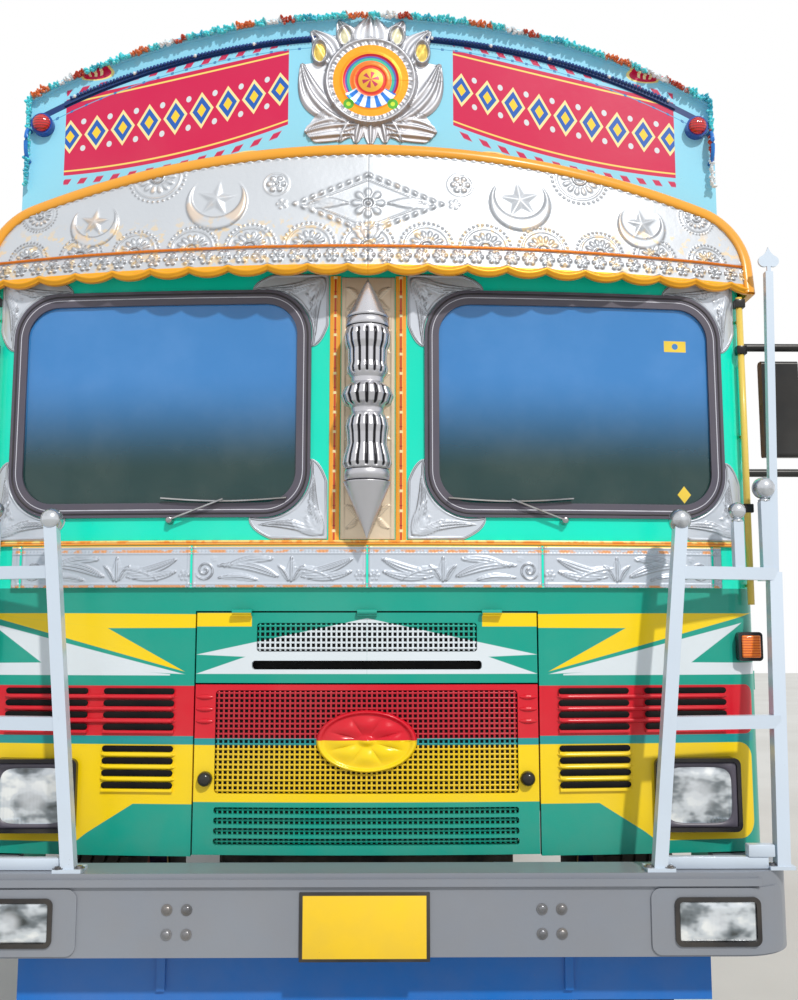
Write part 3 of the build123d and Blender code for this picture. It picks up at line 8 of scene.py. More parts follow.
import bmesh
import bpy
import numpy as np
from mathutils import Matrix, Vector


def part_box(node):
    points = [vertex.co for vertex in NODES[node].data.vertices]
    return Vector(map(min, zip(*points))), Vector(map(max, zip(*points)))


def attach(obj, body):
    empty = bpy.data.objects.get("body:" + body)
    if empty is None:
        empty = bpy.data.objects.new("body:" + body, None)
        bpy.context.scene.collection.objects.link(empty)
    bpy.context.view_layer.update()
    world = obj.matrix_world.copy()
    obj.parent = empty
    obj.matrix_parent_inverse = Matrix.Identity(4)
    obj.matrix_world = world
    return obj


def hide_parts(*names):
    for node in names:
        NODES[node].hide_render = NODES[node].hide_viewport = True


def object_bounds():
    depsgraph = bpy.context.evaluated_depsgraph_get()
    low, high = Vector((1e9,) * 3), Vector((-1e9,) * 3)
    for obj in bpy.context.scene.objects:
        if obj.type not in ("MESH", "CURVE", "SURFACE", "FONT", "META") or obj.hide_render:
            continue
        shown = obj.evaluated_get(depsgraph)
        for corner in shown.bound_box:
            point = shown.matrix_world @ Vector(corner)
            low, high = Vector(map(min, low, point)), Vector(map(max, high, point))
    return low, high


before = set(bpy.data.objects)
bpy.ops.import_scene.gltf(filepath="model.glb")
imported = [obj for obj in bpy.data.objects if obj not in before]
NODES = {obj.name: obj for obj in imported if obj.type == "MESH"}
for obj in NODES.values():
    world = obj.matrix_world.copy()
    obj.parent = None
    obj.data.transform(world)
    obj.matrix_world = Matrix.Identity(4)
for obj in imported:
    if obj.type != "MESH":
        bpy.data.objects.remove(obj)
cad_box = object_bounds()
FRONT = cad_box[0][1]
TAU = 2 * np.pi
print("frame box", [[round(value, 3) for value in corner] for corner in cad_box])

# %% [markdown]
# ## Surfaces from arrays
# A shape here is a grid of points, a function of two parameters. Blender wants a list of points and a list
# of four-cornered faces, so one helper numbers the grid's faces and another joins many grids into one mesh.
# Working on whole arrays keeps a sheet of a hundred thousand points quick.

# %% Grids and joined forms
def grid_form(points, close_u=False, close_v=False):
    """A grid of points (rows, columns, 3) and its faces. A closed direction joins its last to its first."""
    rows, columns = points.shape[:2]
    row = np.arange(rows if close_u else rows - 1)
    column = np.arange(columns if close_v else columns - 1)
    r, c = np.meshgrid(row, column, indexing="ij")
    r_next, c_next = (r + 1) % rows, (c + 1) % columns
    faces = np.stack([r * columns + c, r * columns + c_next, r_next * columns + c_next,
                      r_next * columns + c], axis=-1).reshape(-1, 4)
    return points.reshape(-1, 3), faces


def joined(forms):
    """Several forms as one: their points end to end, and their faces numbered on."""
    starts = np.cumsum([0] + [len(points) for points, _ in forms[:-1]])
    points = np.concatenate([points for points, _ in forms])
    faces = np.concatenate([faces + start for (_, faces), start in zip(forms, starts)])
    return points, faces


def moved(form, by=(0, 0, 0), turn=None):
    """A form turned by a 3 by 3 matrix and shifted."""
    points = form[0]
    if turn is not None:
        points = points @ np.asarray(turn, dtype=float).T
    return points + np.asarray(by, dtype=float), form[1]


def mirrored(form):
    """The form's twin across the truck's middle, with its faces still pointing out."""
    return form[0] * (-1, 1, 1), form[1][:, ::-1]


def both_sides(form):
    """A form and its twin."""
    return joined([form, mirrored(form)])


def turn_about(axis, angle):
    """The matrix that turns by an angle about X, Y or Z."""
    c, s = np.cos(angle), np.sin(angle)
    return {"X": [[1, 0, 0], [0, c, -s], [0, s, c]], "Y": [[c, 0, s], [0, 1, 0], [-s, 0, c]],
            "Z": [[c, -s, 0], [s, c, 0], [0, 0, 1]]}[axis]


# %% [markdown]
# ## Four basic forms
# Most trim on a truck is one of four things: a turned piece, a rod or tube along a path, a bent flat bar, or
# a block with eased edges. A turned piece carries a profile of radius and height round an axis. A rod carries
# a circle along a path, standing square to it. The eased block is a rounded box: a sphere's points pushed
# apart by the block's half sizes, so its flat sides stay flat and its corners stay round.

# %% Turned pieces, rods, bars and eased blocks
def turned(profile, segments=32):
    """profile: rows of (radius, height). The point is (r cos a, r sin a, h), with a going once round."""
    profile = np.asarray(profile, dtype=float)
    angle = np.linspace(0, TAU, segments, endpoint=False)
    r, h = profile[:, :1], profile[:, 1:]
    points = np.stack([r * np.cos(angle), r * np.sin(angle), np.broadcast_to(h, (len(r), segments))], axis=-1)
    form = grid_form(points, close_v=True)
    return form[0], form[1][:, ::-1]


def path_frames(path, up=(0, 0, 1)):
    """Unit vectors across a path at each point: one to its side and one square to both."""
    path = np.asarray(path, dtype=float)
    along = np.gradient(path, axis=0)
    along /= np.linalg.norm(along, axis=1, keepdims=True)
    side = np.cross(along, up)
    weak = np.linalg.norm(side, axis=1) < 1e-3
    side[weak] = np.cross(along[weak], (0.0, 1.0, 0.0))
    side /= np.linalg.norm(side, axis=1, keepdims=True)
    return side, np.cross(side, along)


def swept(path, section, closed=False, up=(0, 0, 1)):
    """A closed section, rows of (side, up), carried along a path; the ends are filled by a shrunk ring."""
    path, section = np.asarray(path, dtype=float), np.asarray(section, dtype=float)
    side, top = path_frames(path, up)
    if closed:
        wide = np.concatenate([path[-1:], path, path[:1]])
        side, top = (part[1:-1] for part in path_frames(wide, up))
    points = (path[:, None] + section[None, :, :1] * side[:, None] + section[None, :, 1:] * top[:, None])
    if not closed:
        caps = [path[:1, None] + 0 * points[:1], path[-1:, None] + 0 * points[:1]]
        points = np.concatenate([caps[0], points, caps[1]])
    return grid_form(points, close_u=closed, close_v=True)


def round_section(radius, sides=10):
    """A circle as a section."""
    angle = np.linspace(0, TAU, sides, endpoint=False)
    return np.stack([np.cos(angle), np.sin(angle)], axis=1) * radius


def flat_section(width, height):
    """A flat bar's section with slightly eased corners."""
    x, y, e = width / 2, height / 2, min(width, height) * 0.12
    return np.array([(-x + e, -y), (x - e, -y), (x, -y + e), (x, y - e), (x - e, y), (-x + e, y),
                     (-x, y - e), (-x, -y + e)])


def rod(path, radius, sides=10):
    """A round rod along a path."""
    return swept(path, round_section(radius, sides))


def eased_block(low, high, ease=0.004, steps=2):
    """A box with round edges: sphere points of radius ease, pushed out to the box's corners."""
    low, high = np.minimum(low, high), np.maximum(low, high)
    half = (high - low) / 2
    ease = min(ease, 0.49 * half.min() * 2)
    quarter = np.linspace(0, TAU / 4, steps + 1)
    ring = np.concatenate([quarter + turn * TAU / 4 for turn in range(4)])
    tilt = np.concatenate([quarter - TAU / 4, quarter])
    t, a = np.meshgrid(tilt, ring, indexing="ij")
    ball = np.stack([np.cos(t) * np.cos(a), np.cos(t) * np.sin(a), np.sin(t)], axis=-1)
    sign_x = np.repeat([1.0, -1.0, -1.0, 1.0], steps + 1)
    sign_y = np.repeat([1.0, 1.0, -1.0, -1.0], steps + 1)
    sign_z = np.repeat([-1.0, 1.0], steps + 1)[:, None]
    corner = np.stack(np.broadcast_arrays(sign_x, sign_y, sign_z), axis=-1)
    points = ball * ease + corner * (half - ease)
    middle_low = np.broadcast_to([0, 0, -half[2]], points[:1].shape)
    middle_high = np.broadcast_to([0, 0, half[2]], points[:1].shape)
    points = np.concatenate([middle_low, points, middle_high]) + (low + high) / 2
    return grid_form(points, close_v=True)


def place(x, s, z):
    """Metres from millimetres: x across, s behind the front, z up."""
    return np.array([x / 1000, FRONT + s / 1000, z / 1000])


def block(low, high, ease, steps=2):
    """An eased block between two corners that are given in millimetres."""
    return eased_block(place(*low), place(*high), ease, steps)


# %% Making a piece of the truck from a form
def piece(name, form, finish, body="chassis", merge=1e-6, crease=None):
    """A mesh object made of a form, with its finish, riding on a body."""
    points, faces = form
    mesh = bpy.data.meshes.new(name)
    mesh.vertices.add(len(points))
    mesh.vertices.foreach_set("co", points.astype(np.float32).ravel())
    mesh.loops.add(faces.size)
    mesh.loops.foreach_set("vertex_index", faces.ravel().astype(np.int32))
    mesh.polygons.add(len(faces))
    mesh.polygons.foreach_set("loop_start", np.arange(0, faces.size, 4, dtype=np.int32))
    mesh.update(calc_edges=True)
    tidy = bmesh.new()
    tidy.from_mesh(mesh)
    bmesh.ops.remove_doubles(tidy, verts=tidy.verts, dist=merge)
    tidy.to_mesh(mesh)
    tidy.free()
    mesh.polygons.foreach_set("use_smooth", np.ones(len(mesh.polygons), dtype=bool))
    if crease is not None:
        mesh.set_sharp_from_angle(angle=np.radians(crease))
    thing = bpy.data.objects.new(name, mesh)
    bpy.context.scene.collection.objects.link(thing)
    mesh.materials.append(finish.material)
    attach(thing, body)
    print(f"{name}: {len(mesh.polygons)} faces")
    return thing

# %% [markdown]
# ## Shader maths as plain expressions
# A finish is easier to read as arithmetic than as a web of nodes. The class below wraps one socket, and each
# operator on it adds a Math node, so `1 - mask` and `low * high` mean what they say. Colours go through Mix
# nodes, because a Math node would turn them grey. Sharp shapes, such as a painted flash, come from the
# distance to straight lines in the truck's own coordinates, so their edges are crisp at any distance.

# %% A value in a finish
class Value:
    """One socket of a finish; arithmetic with it adds Math nodes."""

    def __init__(self, finish, socket):
        self.finish, self.socket = finish, socket

    def math(self, operation, *others):
        """A Math node on this value and others."""
        node = self.finish.node("ShaderNodeMath", {"operation": operation}, (self, *others))
        return Value(self.finish, node.outputs[0])

    def __add__(self, other): return self.math("ADD", other)
    def __radd__(self, other): return self.math("ADD", other)
    def __sub__(self, other): return self.math("SUBTRACT", other)
    def __rsub__(self, other): return (self * -1).math("ADD", other)
    def __mul__(self, other): return self.math("MULTIPLY", other)
    def __rmul__(self, other): return self.math("MULTIPLY", other)
    def __truediv__(self, other): return self.math("DIVIDE", other)
    def __abs__(self): return self.math("ABSOLUTE")

    def least(self, other): return self.math("MINIMUM", other)
    def most(self, other): return self.math("MAXIMUM", other)
    def sine(self): return self.math("SINE")
    def root(self): return self.math("SQRT")
    def fraction(self): return self.math("FRACT")
    def floor(self): return self.math("FLOOR")

    def cycle(self, pitch):
        """The share of a pitch that has passed, from 0 to 1, over and over."""
        return (self * (1 / pitch)).fraction()

    def span(self, other):
        """The straight distance over two steps that are square to each other."""
        return (self * self + other * other).root()

    def above(self, edge, soft=0.001):
        """0 below an edge and 1 above it, with a soft step between."""
        settings = {"interpolation_type": "SMOOTHSTEP"}
        node = self.finish.node("ShaderNodeMapRange", settings, (self, edge - soft, edge + soft, 0.0, 1.0))
        return Value(self.finish, node.outputs[0])

    def below(self, edge, soft=0.001):
        """1 below an edge and 0 above it."""
        return 1 - self.above(edge, soft)

    def between(self, low, high, soft=0.001):
        """1 between two edges."""
        return self.above(low, soft) * self.below(high, soft)


# %% A finish and its nodes
class Finish:
    """A material being made: its Principled shader, its coordinates and a few patterns."""

    def __init__(self, name, colour=(0.5, 0.5, 0.5), rough=0.5, metal=0.0, **sockets):
        self.material = bpy.data.materials.new(name)
        self.material.use_nodes = True
        self.tree = self.material.node_tree
        self.shader = self.tree.nodes["Principled BSDF"]
        self.set(Base_Color=colour, Roughness=rough, Metallic=metal, **sockets)
        where = self.node("ShaderNodeTexCoord")
        self.place = where.outputs["Object"]
        split = self.node("ShaderNodeSeparateXYZ", {}, (self.place,))
        self.x, self.y, self.z = (Value(self, socket) for socket in split.outputs)

    def node(self, kind, settings=None, inputs=()):
        """A node with its settings, and its inputs as values, links or numbers, in order or by name."""
        made = self.tree.nodes.new(kind)
        for key, value in (settings or {}).items():
            setattr(made, key, value)
        pairs = inputs.items() if isinstance(inputs, dict) else enumerate(inputs)
        for key, value in pairs:
            self.join(made.inputs[key], value)
        return made

    def join(self, socket, value):
        """Links a value to a socket, or sets the socket to a number or a colour."""
        if isinstance(value, Value):
            value = value.socket
        if isinstance(value, bpy.types.NodeSocket):
            self.tree.links.new(value, socket)
        elif socket.type == "RGBA":
            socket.default_value = (*value[:3], 1.0)
        else:
            socket.default_value = value

    def set(self, **sockets):
        """Sets sockets of the Principled shader, written with _ for spaces."""
        for key, value in sockets.items():
            self.join(self.shader.inputs[key.replace("_", " ")], value)
        return self

    def noise(self, scale, detail=3.0, stretch=None, seed=0.0):
        """Noise from 0 to 1 at a scale in 1/metres, optionally stretched along the axes."""
        where = self.place
        if stretch or seed:
            where = self.node("ShaderNodeMapping", {}, {0: where, 1: (seed, seed, seed),
                                                         3: stretch or (1, 1, 1)}).outputs[0]
        made = self.node("ShaderNodeTexNoise", {}, {"Vector": where, "Scale": scale, "Detail": detail,
                                                     "Roughness": 0.55})
        return Value(self, made.outputs[0])

    def cells(self, scale):
        """Distance to the nearest of scattered points."""
        made = self.node("ShaderNodeTexVoronoi", {}, {"Vector": self.place, "Scale": scale})
        return Value(self, made.outputs[0])

    def mix(self, base, top, amount):
        """One colour over another by an amount."""
        made = self.node("ShaderNodeMix", {"data_type": "RGBA"}, {0: amount, 6: base, 7: top})
        return made.outputs[2]

    def layers(self, base, *coats):
        """Coats of (mask, colour) laid over a base colour in turn."""
        for mask, colour in coats:
            base = self.mix(base, colour, mask)
        return base

    def coat(self, *coats):
        """More coats over the colour that the finish already has."""
        base = self.shader.inputs["Base Color"].links[0].from_socket
        return self.set(Base_Color=self.layers(base, *coats))

    def attribute(self, name):
        """A number stored on the piece's points."""
        made = self.node("ShaderNodeAttribute", {"attribute_name": name})
        return Value(self, made.outputs["Fac"])

    def bump(self, height, distance=0.001, strength=1.0):
        """Small relief from a height in 0 to 1 times a distance in metres."""
        made = self.node("ShaderNodeBump", {}, {"Strength": strength, "Distance": distance,
                                                 "Height": height})
        self.join(self.shader.inputs["Normal"], made.outputs[0])
        return self

    def inside(self, corners, soft=0.0012):
        """1 inside a convex outline of (x, z) corners in metres, on both sides of the truck's middle."""
        corners = np.asarray(corners, dtype=float)
        centre = corners.mean(axis=0)
        mask = None
        for a, b in zip(corners, np.roll(corners, -1, axis=0)):
            normal = np.array([b[1] - a[1], a[0] - b[0]])
            normal /= np.linalg.norm(normal)
            if normal @ (centre - a) < 0:
                normal = -normal
            gap = self.across * float(normal[0]) + self.z * float(normal[1]) - float(normal @ a)
            step = gap.above(0.0, soft)
            mask = step if mask is None else mask * step
        return mask

    @property
    def across(self):
        """The distance from the truck's middle, the same on both sides."""
        return abs(self.x)


def tone(red, green, blue):
    """A colour as a monitor shows it, from 0 to 255, in the shader's linear numbers."""
    seen = np.array([red, green, blue]) / 255
    return tuple(float(c) for c in np.where(seen < 0.04045, seen / 12.92, ((seen + 0.055) / 1.055) ** 2.4))

# %% [markdown]
# ## Camera, floor and light
# The photographer stood close, just under three metres from the bumper and a little to one side, so the
# truck fills the picture and the board on its roof leans away. The same stand point and a lens of the same
# width give the same foreshortening. The floor is a plain pale sheet, and the light is an even sky with one
# broad lamp, so paint shows its own colour.

# %% Camera
lens = bpy.data.cameras.new("camera")
lens.sensor_fit = "VERTICAL"
lens.sensor_height = 36.0
lens.lens = 37.3
camera = bpy.data.objects.new("camera", lens)
camera.location = (0.068, -6.744, 1.567)
camera.rotation_euler = (np.radians(97.05), 0.0, np.radians(-0.53))
bpy.context.scene.collection.objects.link(camera)
bpy.context.scene.camera = camera
bpy.context.scene.view_settings.view_transform = "Standard"
print("camera", [round(value, 2) for value in camera.location], "lens", lens.lens)

# %% Sky and lamp
world = bpy.data.worlds.new("sky")
bpy.context.scene.world = world
world.use_nodes = True
sky = world.node_tree
seen = sky.nodes.new("ShaderNodeLightPath")
backdrop = sky.nodes["Background"]
backdrop.inputs[0].default_value = (0.86, 0.93, 1.0, 1.0)
backdrop.inputs[1].default_value = 0.62
plain = sky.nodes.new("ShaderNodeBackground")
plain.inputs[0].default_value = (1.0, 1.0, 1.0, 1.0)
plain.inputs[1].default_value = 1.0
choice = sky.nodes.new("ShaderNodeMixShader")
any_seen = seen.outputs["Is Camera Ray"]
for ray in ("Is Transmission Ray", "Is Glossy Ray"):
    either = sky.nodes.new("ShaderNodeMath")
    either.operation = "MAXIMUM"
    sky.links.new(any_seen, either.inputs[0])
    sky.links.new(seen.outputs[ray], either.inputs[1])
    any_seen = either.outputs[0]
sky.links.new(any_seen, choice.inputs[0])
sky.links.new(backdrop.outputs[0], choice.inputs[1])
sky.links.new(plain.outputs[0], choice.inputs[2])
sky.links.new(choice.outputs[0], sky.nodes["World Output"].inputs[0])
lamp = bpy.data.objects.new("lamp", bpy.data.lights.new("lamp", "SUN"))
lamp.data.energy = 2.3
lamp.data.angle = np.radians(2.5)
lamp.data.color = (1.0, 0.97, 0.92)
lamp.rotation_euler = (np.radians(48), 0.0, np.radians(22))
bpy.context.scene.collection.objects.link(lamp)
print("lamp", lamp.data.energy, "sky", backdrop.inputs[1].default_value)

# %% Floor
ground = Finish("ground", tone(214, 212, 207), rough=0.9)
patches = ground.noise(0.6, detail=4)
ground.set(Base_Color=ground.mix(tone(218, 216, 211), tone(206, 203, 197), patches.above(0.5, 0.3)))
ground.bump(ground.noise(40), 0.002, 0.3)
span = np.linspace(-30, 30, 13)
across, along = np.meshgrid(span, span)
floor_points, floor_faces = grid_form(np.stack([across, along, 0 * across], axis=-1))
floor_mesh = bpy.data.meshes.new("floor")
floor_mesh.from_pydata(floor_points.tolist(), [], floor_faces.tolist())
floor_mesh.materials.append(ground.material)
floor = bpy.data.objects.new("floor", floor_mesh)
bpy.context.scene.collection.objects.link(floor)
print("floor", len(floor_mesh.polygons), "faces")

# %% [markdown]
# ## Paint, and what weather does to it
# A truck's paint is a glossy brush or spray coat over steel. It is never one flat colour: it fades in
# patches, dust lies on it towards the road, and small chips show at random. One function makes every paint
# from its colour, so all of them age alike. The chips are the dark centres of scattered cells, and the dust
# is a broad noise that grows stronger towards the ground.

# %% Gloss paint with dust and chips
DUST, CHIP, FADE = tone(148, 132, 110), tone(92, 80, 70), 0.04


def aged(finish, colour, dust=0.2, chips=0.4, rough=0.28):
    """Colour faded in patches, chipped in spots and dusted low down; roughness follows the dust."""
    pale, grey = finish.noise(2.3, detail=4).above(0.56, 0.2), finish.noise(0.9, seed=3.0).above(0.55, 0.25)
    spot = finish.cells(55).below(0.055, 0.02) * finish.noise(7, seed=5.0).above(0.62, 0.03)
    low_down = finish.z.below(1.0, 0.85)
    film = finish.noise(9, detail=5, seed=8.0).above(0.5, 0.22) * (low_down * 0.75 + 0.12) * dust
    shade = finish.layers(colour, (pale * FADE, tone(225, 222, 212)), (grey * FADE * 2, (0.02, 0.02, 0.02)),
                          (spot * chips, CHIP), (film, DUST))
    return finish.set(Base_Color=shade, Roughness=film * 0.5 + spot * 0.3 + rough)


def paint(name, colour, dust=0.15, rough=0.28, chips=0.4, coats=(), metal=0.0):
    """A gloss coat of one colour, with any painted shapes laid over it first."""
    finish = Finish(name, metal=metal, Coat_Weight=0.1, Coat_Roughness=0.12, Specular_IOR_Level=0.3)
    aged(finish, finish.layers(colour, *[(mask(finish), shade) for mask, shade in coats]), dust, chips, rough)
    return finish.bump(finish.noise(95, detail=2), 0.0006, 0.3)


GREEN, TURQUOISE, TEAL = tone(0, 158, 138), tone(0, 232, 200), tone(0, 148, 150)
RED, YELLOW, WHITE = tone(216, 8, 38), tone(252, 214, 0), tone(222, 230, 236)
BLUE, SILVER = tone(0, 108, 196), tone(206, 218, 232)
print("chip tone", [round(value, 3) for value in CHIP])

# %% [markdown]
# ## The flashes on the cowl
# The painter masked straight-edged flashes on the cowl: a yellow bar that ends in a long point and a white
# one under it. Each has straight edges in the front view, so it is a product of half planes in |x| and z.
# The red band behind the louvres and the yellow field round the headlamps are level bands with round ends.
# Because |x| is the same on both sides, one set paints both cowl panels.

# %% Painted shapes of the nose
PAINT_EDGE = 0.0012
FLASHES = {
    "yellow bar": [(0.524, 1.568), (0.524, 1.613), (0.9, 1.613), (1.222, 1.616), (0.80, 1.567)],
    "yellow point": [(0.80, 1.568), (1.222, 1.616), (0.556, 1.436)],
    "white point": [(0.556, 1.428), (1.175, 1.584), (0.985, 1.448)],
    "white foot": [(0.6, 1.424), (0.6, 1.428), (1.0, 1.462), (1.30, 1.459), (1.30, 1.424)],
    "low green": [(0.45, 0.80), (0.45, 1.043), (0.735, 1.043), (0.845, 0.955), (0.89, 0.927), (0.89, 0.80)],
    "lamp foot": [(0.88, 0.80), (0.88, 0.927), (1.14, 0.927), (1.172, 0.944), (1.172, 0.80)],
    "lid tab": [(0.352, 1.572), (0.352, 1.613), (0.53, 1.613), (0.53, 1.572)],
    "lid peak": [(0.0, 1.48), (0.0, 1.597), (0.52, 1.487), (0.36, 1.48)],
    "lid foot": [(0.0, 1.429), (0.0, 1.484), (0.36, 1.484), (0.52, 1.429)],
}


def flash(name):
    """The mask of one painted shape."""
    return lambda finish: finish.inside(FLASHES[name])


def band(low, high, x_high=9.0):
    """A level band of the nose, from the middle out to x_high."""
    return lambda finish: finish.z.between(low, high, PAINT_EDGE) * finish.across.below(x_high, PAINT_EDGE)


def round_band(low, high, x_high, radius=0.03):
    """A level band whose outer end has round corners."""
    def mask(finish):
        dx = (finish.across - (x_high - radius)).most(0.0)
        dz = (abs(finish.z - (low + high) / 2) - ((high - low) / 2 - radius)).most(0.0)
        return dx.span(dz).below(radius, PAINT_EDGE)
    return mask


cowl_coats = [(flash("yellow bar"), YELLOW), (flash("yellow point"), YELLOW), (flash("white point"), WHITE),
              (flash("white foot"), WHITE), (round_band(1.243, 1.393, 1.205), RED),
              (band(1.22, 1.243, 1.205), TEAL), (round_band(0.93, 1.218, 1.195, 0.05), YELLOW),
              (flash("low green"), GREEN), (band(0.5, 0.928), GREEN)]
grille_coats = [(band(1.236, 1.41), RED), (band(1.216, 1.237), TEAL), (band(1.05, 1.217), YELLOW)]
lid_coats = [(flash("lid tab"), YELLOW), (flash("lid peak"), WHITE), (flash("lid foot"), WHITE)]
print(len(FLASHES), "flashes")

# %% [markdown]
# ## Finishes for the truck's own pieces
# Every piece from the frame gets its finish here. Cast and forged parts are rough and oily, rubber is dull
# and dusty in its creases, glass is thin with a painted reflection in its colour, dark at the foot and bluer
# above, and the planks of the bed show their grain. Grain is noise stretched nearly thirty times along the
# plank.

# %% Metals, rubber and glass
PLANK_WIDE, BOARD_HIGH = 0.15, 0.14


def bare_metal(name, colour, rough, wear=0.3, metal=0.9):
    """Metal with oily patches and a fine rough skin."""
    finish = Finish(name, metal=metal)
    oil = finish.noise(6, detail=5).above(0.52, 0.2)
    dusty = finish.noise(18, seed=2.0).above(0.5, 0.2) * wear
    finish.set(Base_Color=finish.layers(colour, (oil * 0.6, (0.015, 0.013, 0.012)), (dusty, DUST)),
               Roughness=oil * -0.15 + dusty * 0.3 + rough)
    return finish.bump(finish.noise(160), 0.001, 0.4)


def rubber(name, shade=(0.02, 0.02, 0.021), dust=0.35, rough=0.62, gloss=0.5):
    """Dull black rubber with dust in broad patches."""
    finish = Finish(name, Specular_IOR_Level=gloss)
    film = finish.noise(11, detail=5).above(0.5, 0.25) * dust
    finish.set(Base_Color=finish.mix(shade, DUST, film), Roughness=film * 0.2 + rough)
    return finish.bump(finish.noise(220), 0.0005, 0.4)


def glass(name, low, high, alpha, stickers=False):
    """A pane darker at the foot, with a faint film of dust; stickers are a square and a lozenge. Its colour,
    from low at the foot to high above, is a painted reflection: ground and trees below, sky above.
    """
    finish = Finish(name, Specular_IOR_Level=0.6)
    height = (finish.z - 1.9) / 0.75
    film = finish.noise(5, detail=4).above(0.55, 0.2) * 0.12
    # Painted reflection: the mix from low to high by height stands in for ground and trees reflected low down
    # and sky above.
    shade = finish.mix(finish.mix(low, high, height.above(0.42, 0.22)), DUST, film * 0.5)
    if stickers:
        dx, dz = finish.x - 0.985, finish.z - 2.465
        plate = abs(dx).below(0.036) * abs(dz).below(0.018) * dx.span(dz).above(0.010)
        lozenge = (abs(finish.x - 1.0) + abs(finish.z - 1.985) * 0.8).below(0.022)
        shade = finish.mix(shade, tone(250, 214, 70), plate.most(lozenge))
    return finish.set(Base_Color=shade, Roughness=film * 0.6 + 0.03, Alpha=film + alpha)


def wood(name, colour, dark):
    """Planks along the truck: grain stretched along them, joints between them, dirt worked in."""
    finish = Finish(name)
    grain = finish.noise(3.0, detail=6, stretch=(22, 0.8, 22))
    joint = finish.x.cycle(PLANK_WIDE).below(0.03, 0.02)
    each = (finish.x * (1 / PLANK_WIDE)).floor() * 0.37
    finish.set(Base_Color=finish.layers(colour, (grain.above(0.5, 0.25), dark),
                                        (each.fraction() * 0.35, tone(120, 84, 50)),
                                        (joint, (0.02, 0.015, 0.01))),
               Roughness=grain * 0.2 + 0.55)
    return finish.bump(grain * 0.5 - joint * 2, 0.002, 0.6)


chassis_black = paint("chassis black", tone(34, 34, 36), dust=0.7, rough=0.45, chips=0.3)
cast = bare_metal("cast iron", (0.09, 0.085, 0.08), 0.62)
rails_silver = paint("guard silver", SILVER, dust=0.1, rough=0.3, metal=0.15)
bumper_grey = paint("bumper grey", tone(138, 143, 153), dust=0.12, rough=0.32, metal=0.15)
seal = rubber("window rubber", tone(80, 76, 90), 0.06, 0.36)
tyre_rubber = rubber("tyre rubber", (0.016, 0.016, 0.017), 0.45)
# Painted reflection in both panes: the darker low colour at the foot is reflected ground and trees, the
# lighter, bluer high colour is reflected sky.
pane = glass("windscreen glass", tone(18, 62, 62), tone(62, 138, 208), alpha=0.84, stickers=True)
side_pane = glass("side glass", tone(40, 52, 58), tone(70, 88, 100), alpha=0.45)
floor_mat = rubber("floor mat", (0.03, 0.03, 0.03), 0.5)
dash_plastic = rubber("dash plastic", tone(62, 58, 56), 0.25)
dash_cover = Finish("dash cover", rough=0.85)
pile = dash_cover.noise(120, detail=3)
fur = dash_cover.mix(tone(150, 112, 70), tone(214, 178, 124), pile)
dash_cover.set(Base_Color=dash_cover.mix(tone(62, 58, 56), fur, dash_cover.z.above(1.846, 0.002)))
dash_cover.bump(pile, 0.003, 0.5)
bed_wood = wood("bed planks", tone(126, 92, 58), tone(84, 58, 36))
print("basic finishes ready")

# %% [markdown]
# ## The painted body and cab sides
# Trucks of this kind carry a warm ground colour on their sides, with framed panels between the posts,
# lozenges in their middles and bands of plain stripes. The pattern is worked out from Y and Z: the distance
# from the middle of each bay repeats along the truck, and steps in it draw the frame, the lozenge and the
# flower.

# %% Panels of the load body and stripes of the cab
BAY, FIRST_BAY, TAIL_BAY = 0.637, FRONT + 2.218, 0.525


def framed(finish, base, off, half, rows):
    """A frame, a lozenge and a round flower in each bay; off is the distance from the bay's middle."""
    for bottom, top in rows:
        up, tall = abs(finish.z - (bottom + top) / 2), (top - bottom) / 2
        inner = off.below(half - 0.06, 0.002) * up.below(tall - 0.05, 0.002)
        line = inner * (1 - off.below(half - 0.075, 0.002) * up.below(tall - 0.065, 0.002))
        lozenge = off * (1 / (half - 0.12)) + up * (1 / (tall - 0.1))
        round_off = off.span(up)
        base = finish.layers(base, (inner, tone(18, 120, 96)), (line, WHITE),
                             (inner * lozenge.below(1.0, 0.01), YELLOW),
                             (inner * lozenge.below(0.86, 0.01), RED),
                             (round_off.below(0.075, 0.002), WHITE), (round_off.below(0.06, 0.002), BLUE),
                             (round_off.below(0.032, 0.002), YELLOW))
    return base


def boarded(finish, base):
    """Dusty paint on level boards, with a groove at each joint."""
    aged(finish, base, dust=0.6, rough=0.34)
    return finish.bump(finish.z.cycle(BOARD_HIGH).below(0.03, 0.02) * -1.0 + 1.0, 0.004, 0.7)


def panelled(name, ground):
    """The load body's sides: framed bays between the posts, a belt of two colours and a blue top rail."""
    finish = Finish(name, Coat_Weight=0.2, Coat_Roughness=0.2)
    off = abs((finish.y - FIRST_BAY).cycle(BAY) - 0.5) * BAY
    base = framed(finish, ground, off, BAY / 2, [(1.36, 1.99), (2.06, 2.88)])
    base = finish.mix(tone(206, 134, 48), base, finish.across.above(1.175))
    base = finish.layers(base, (finish.z.between(2.0, 2.05, 0.002), WHITE),
                         (finish.z.between(2.012, 2.038, 0.002), RED),
                         (finish.z.above(2.885, 0.002), BLUE))
    return boarded(finish, base)


def tail_panels(name, ground):
    """The tail: four framed bays on the tailboard and four above it."""
    finish = Finish(name, Coat_Weight=0.2, Coat_Roughness=0.2)
    low_off = abs(finish.x.cycle(TAIL_BAY) - 0.5) * TAIL_BAY
    high_off = abs(finish.across - 0.35).least(abs(finish.across - 0.940))
    base = framed(finish, ground, low_off, TAIL_BAY / 2, [(1.36, 2.12)])
    base = finish.mix(ground, base, finish.across.below(1.05))
    base = framed(finish, base, high_off, 0.27, [(2.22, 2.88)])
    frame_face = finish.y.above(3.650) * finish.z.above(2.2) * finish.across.below(1.149)
    base = finish.mix(ground, base, finish.y.above(3.690).most(frame_face))
    base = finish.layers(base, (finish.z.between(2.135, 2.175, 0.002), RED),
                         (finish.z.above(2.885, 0.002), BLUE))
    return boarded(finish, base)


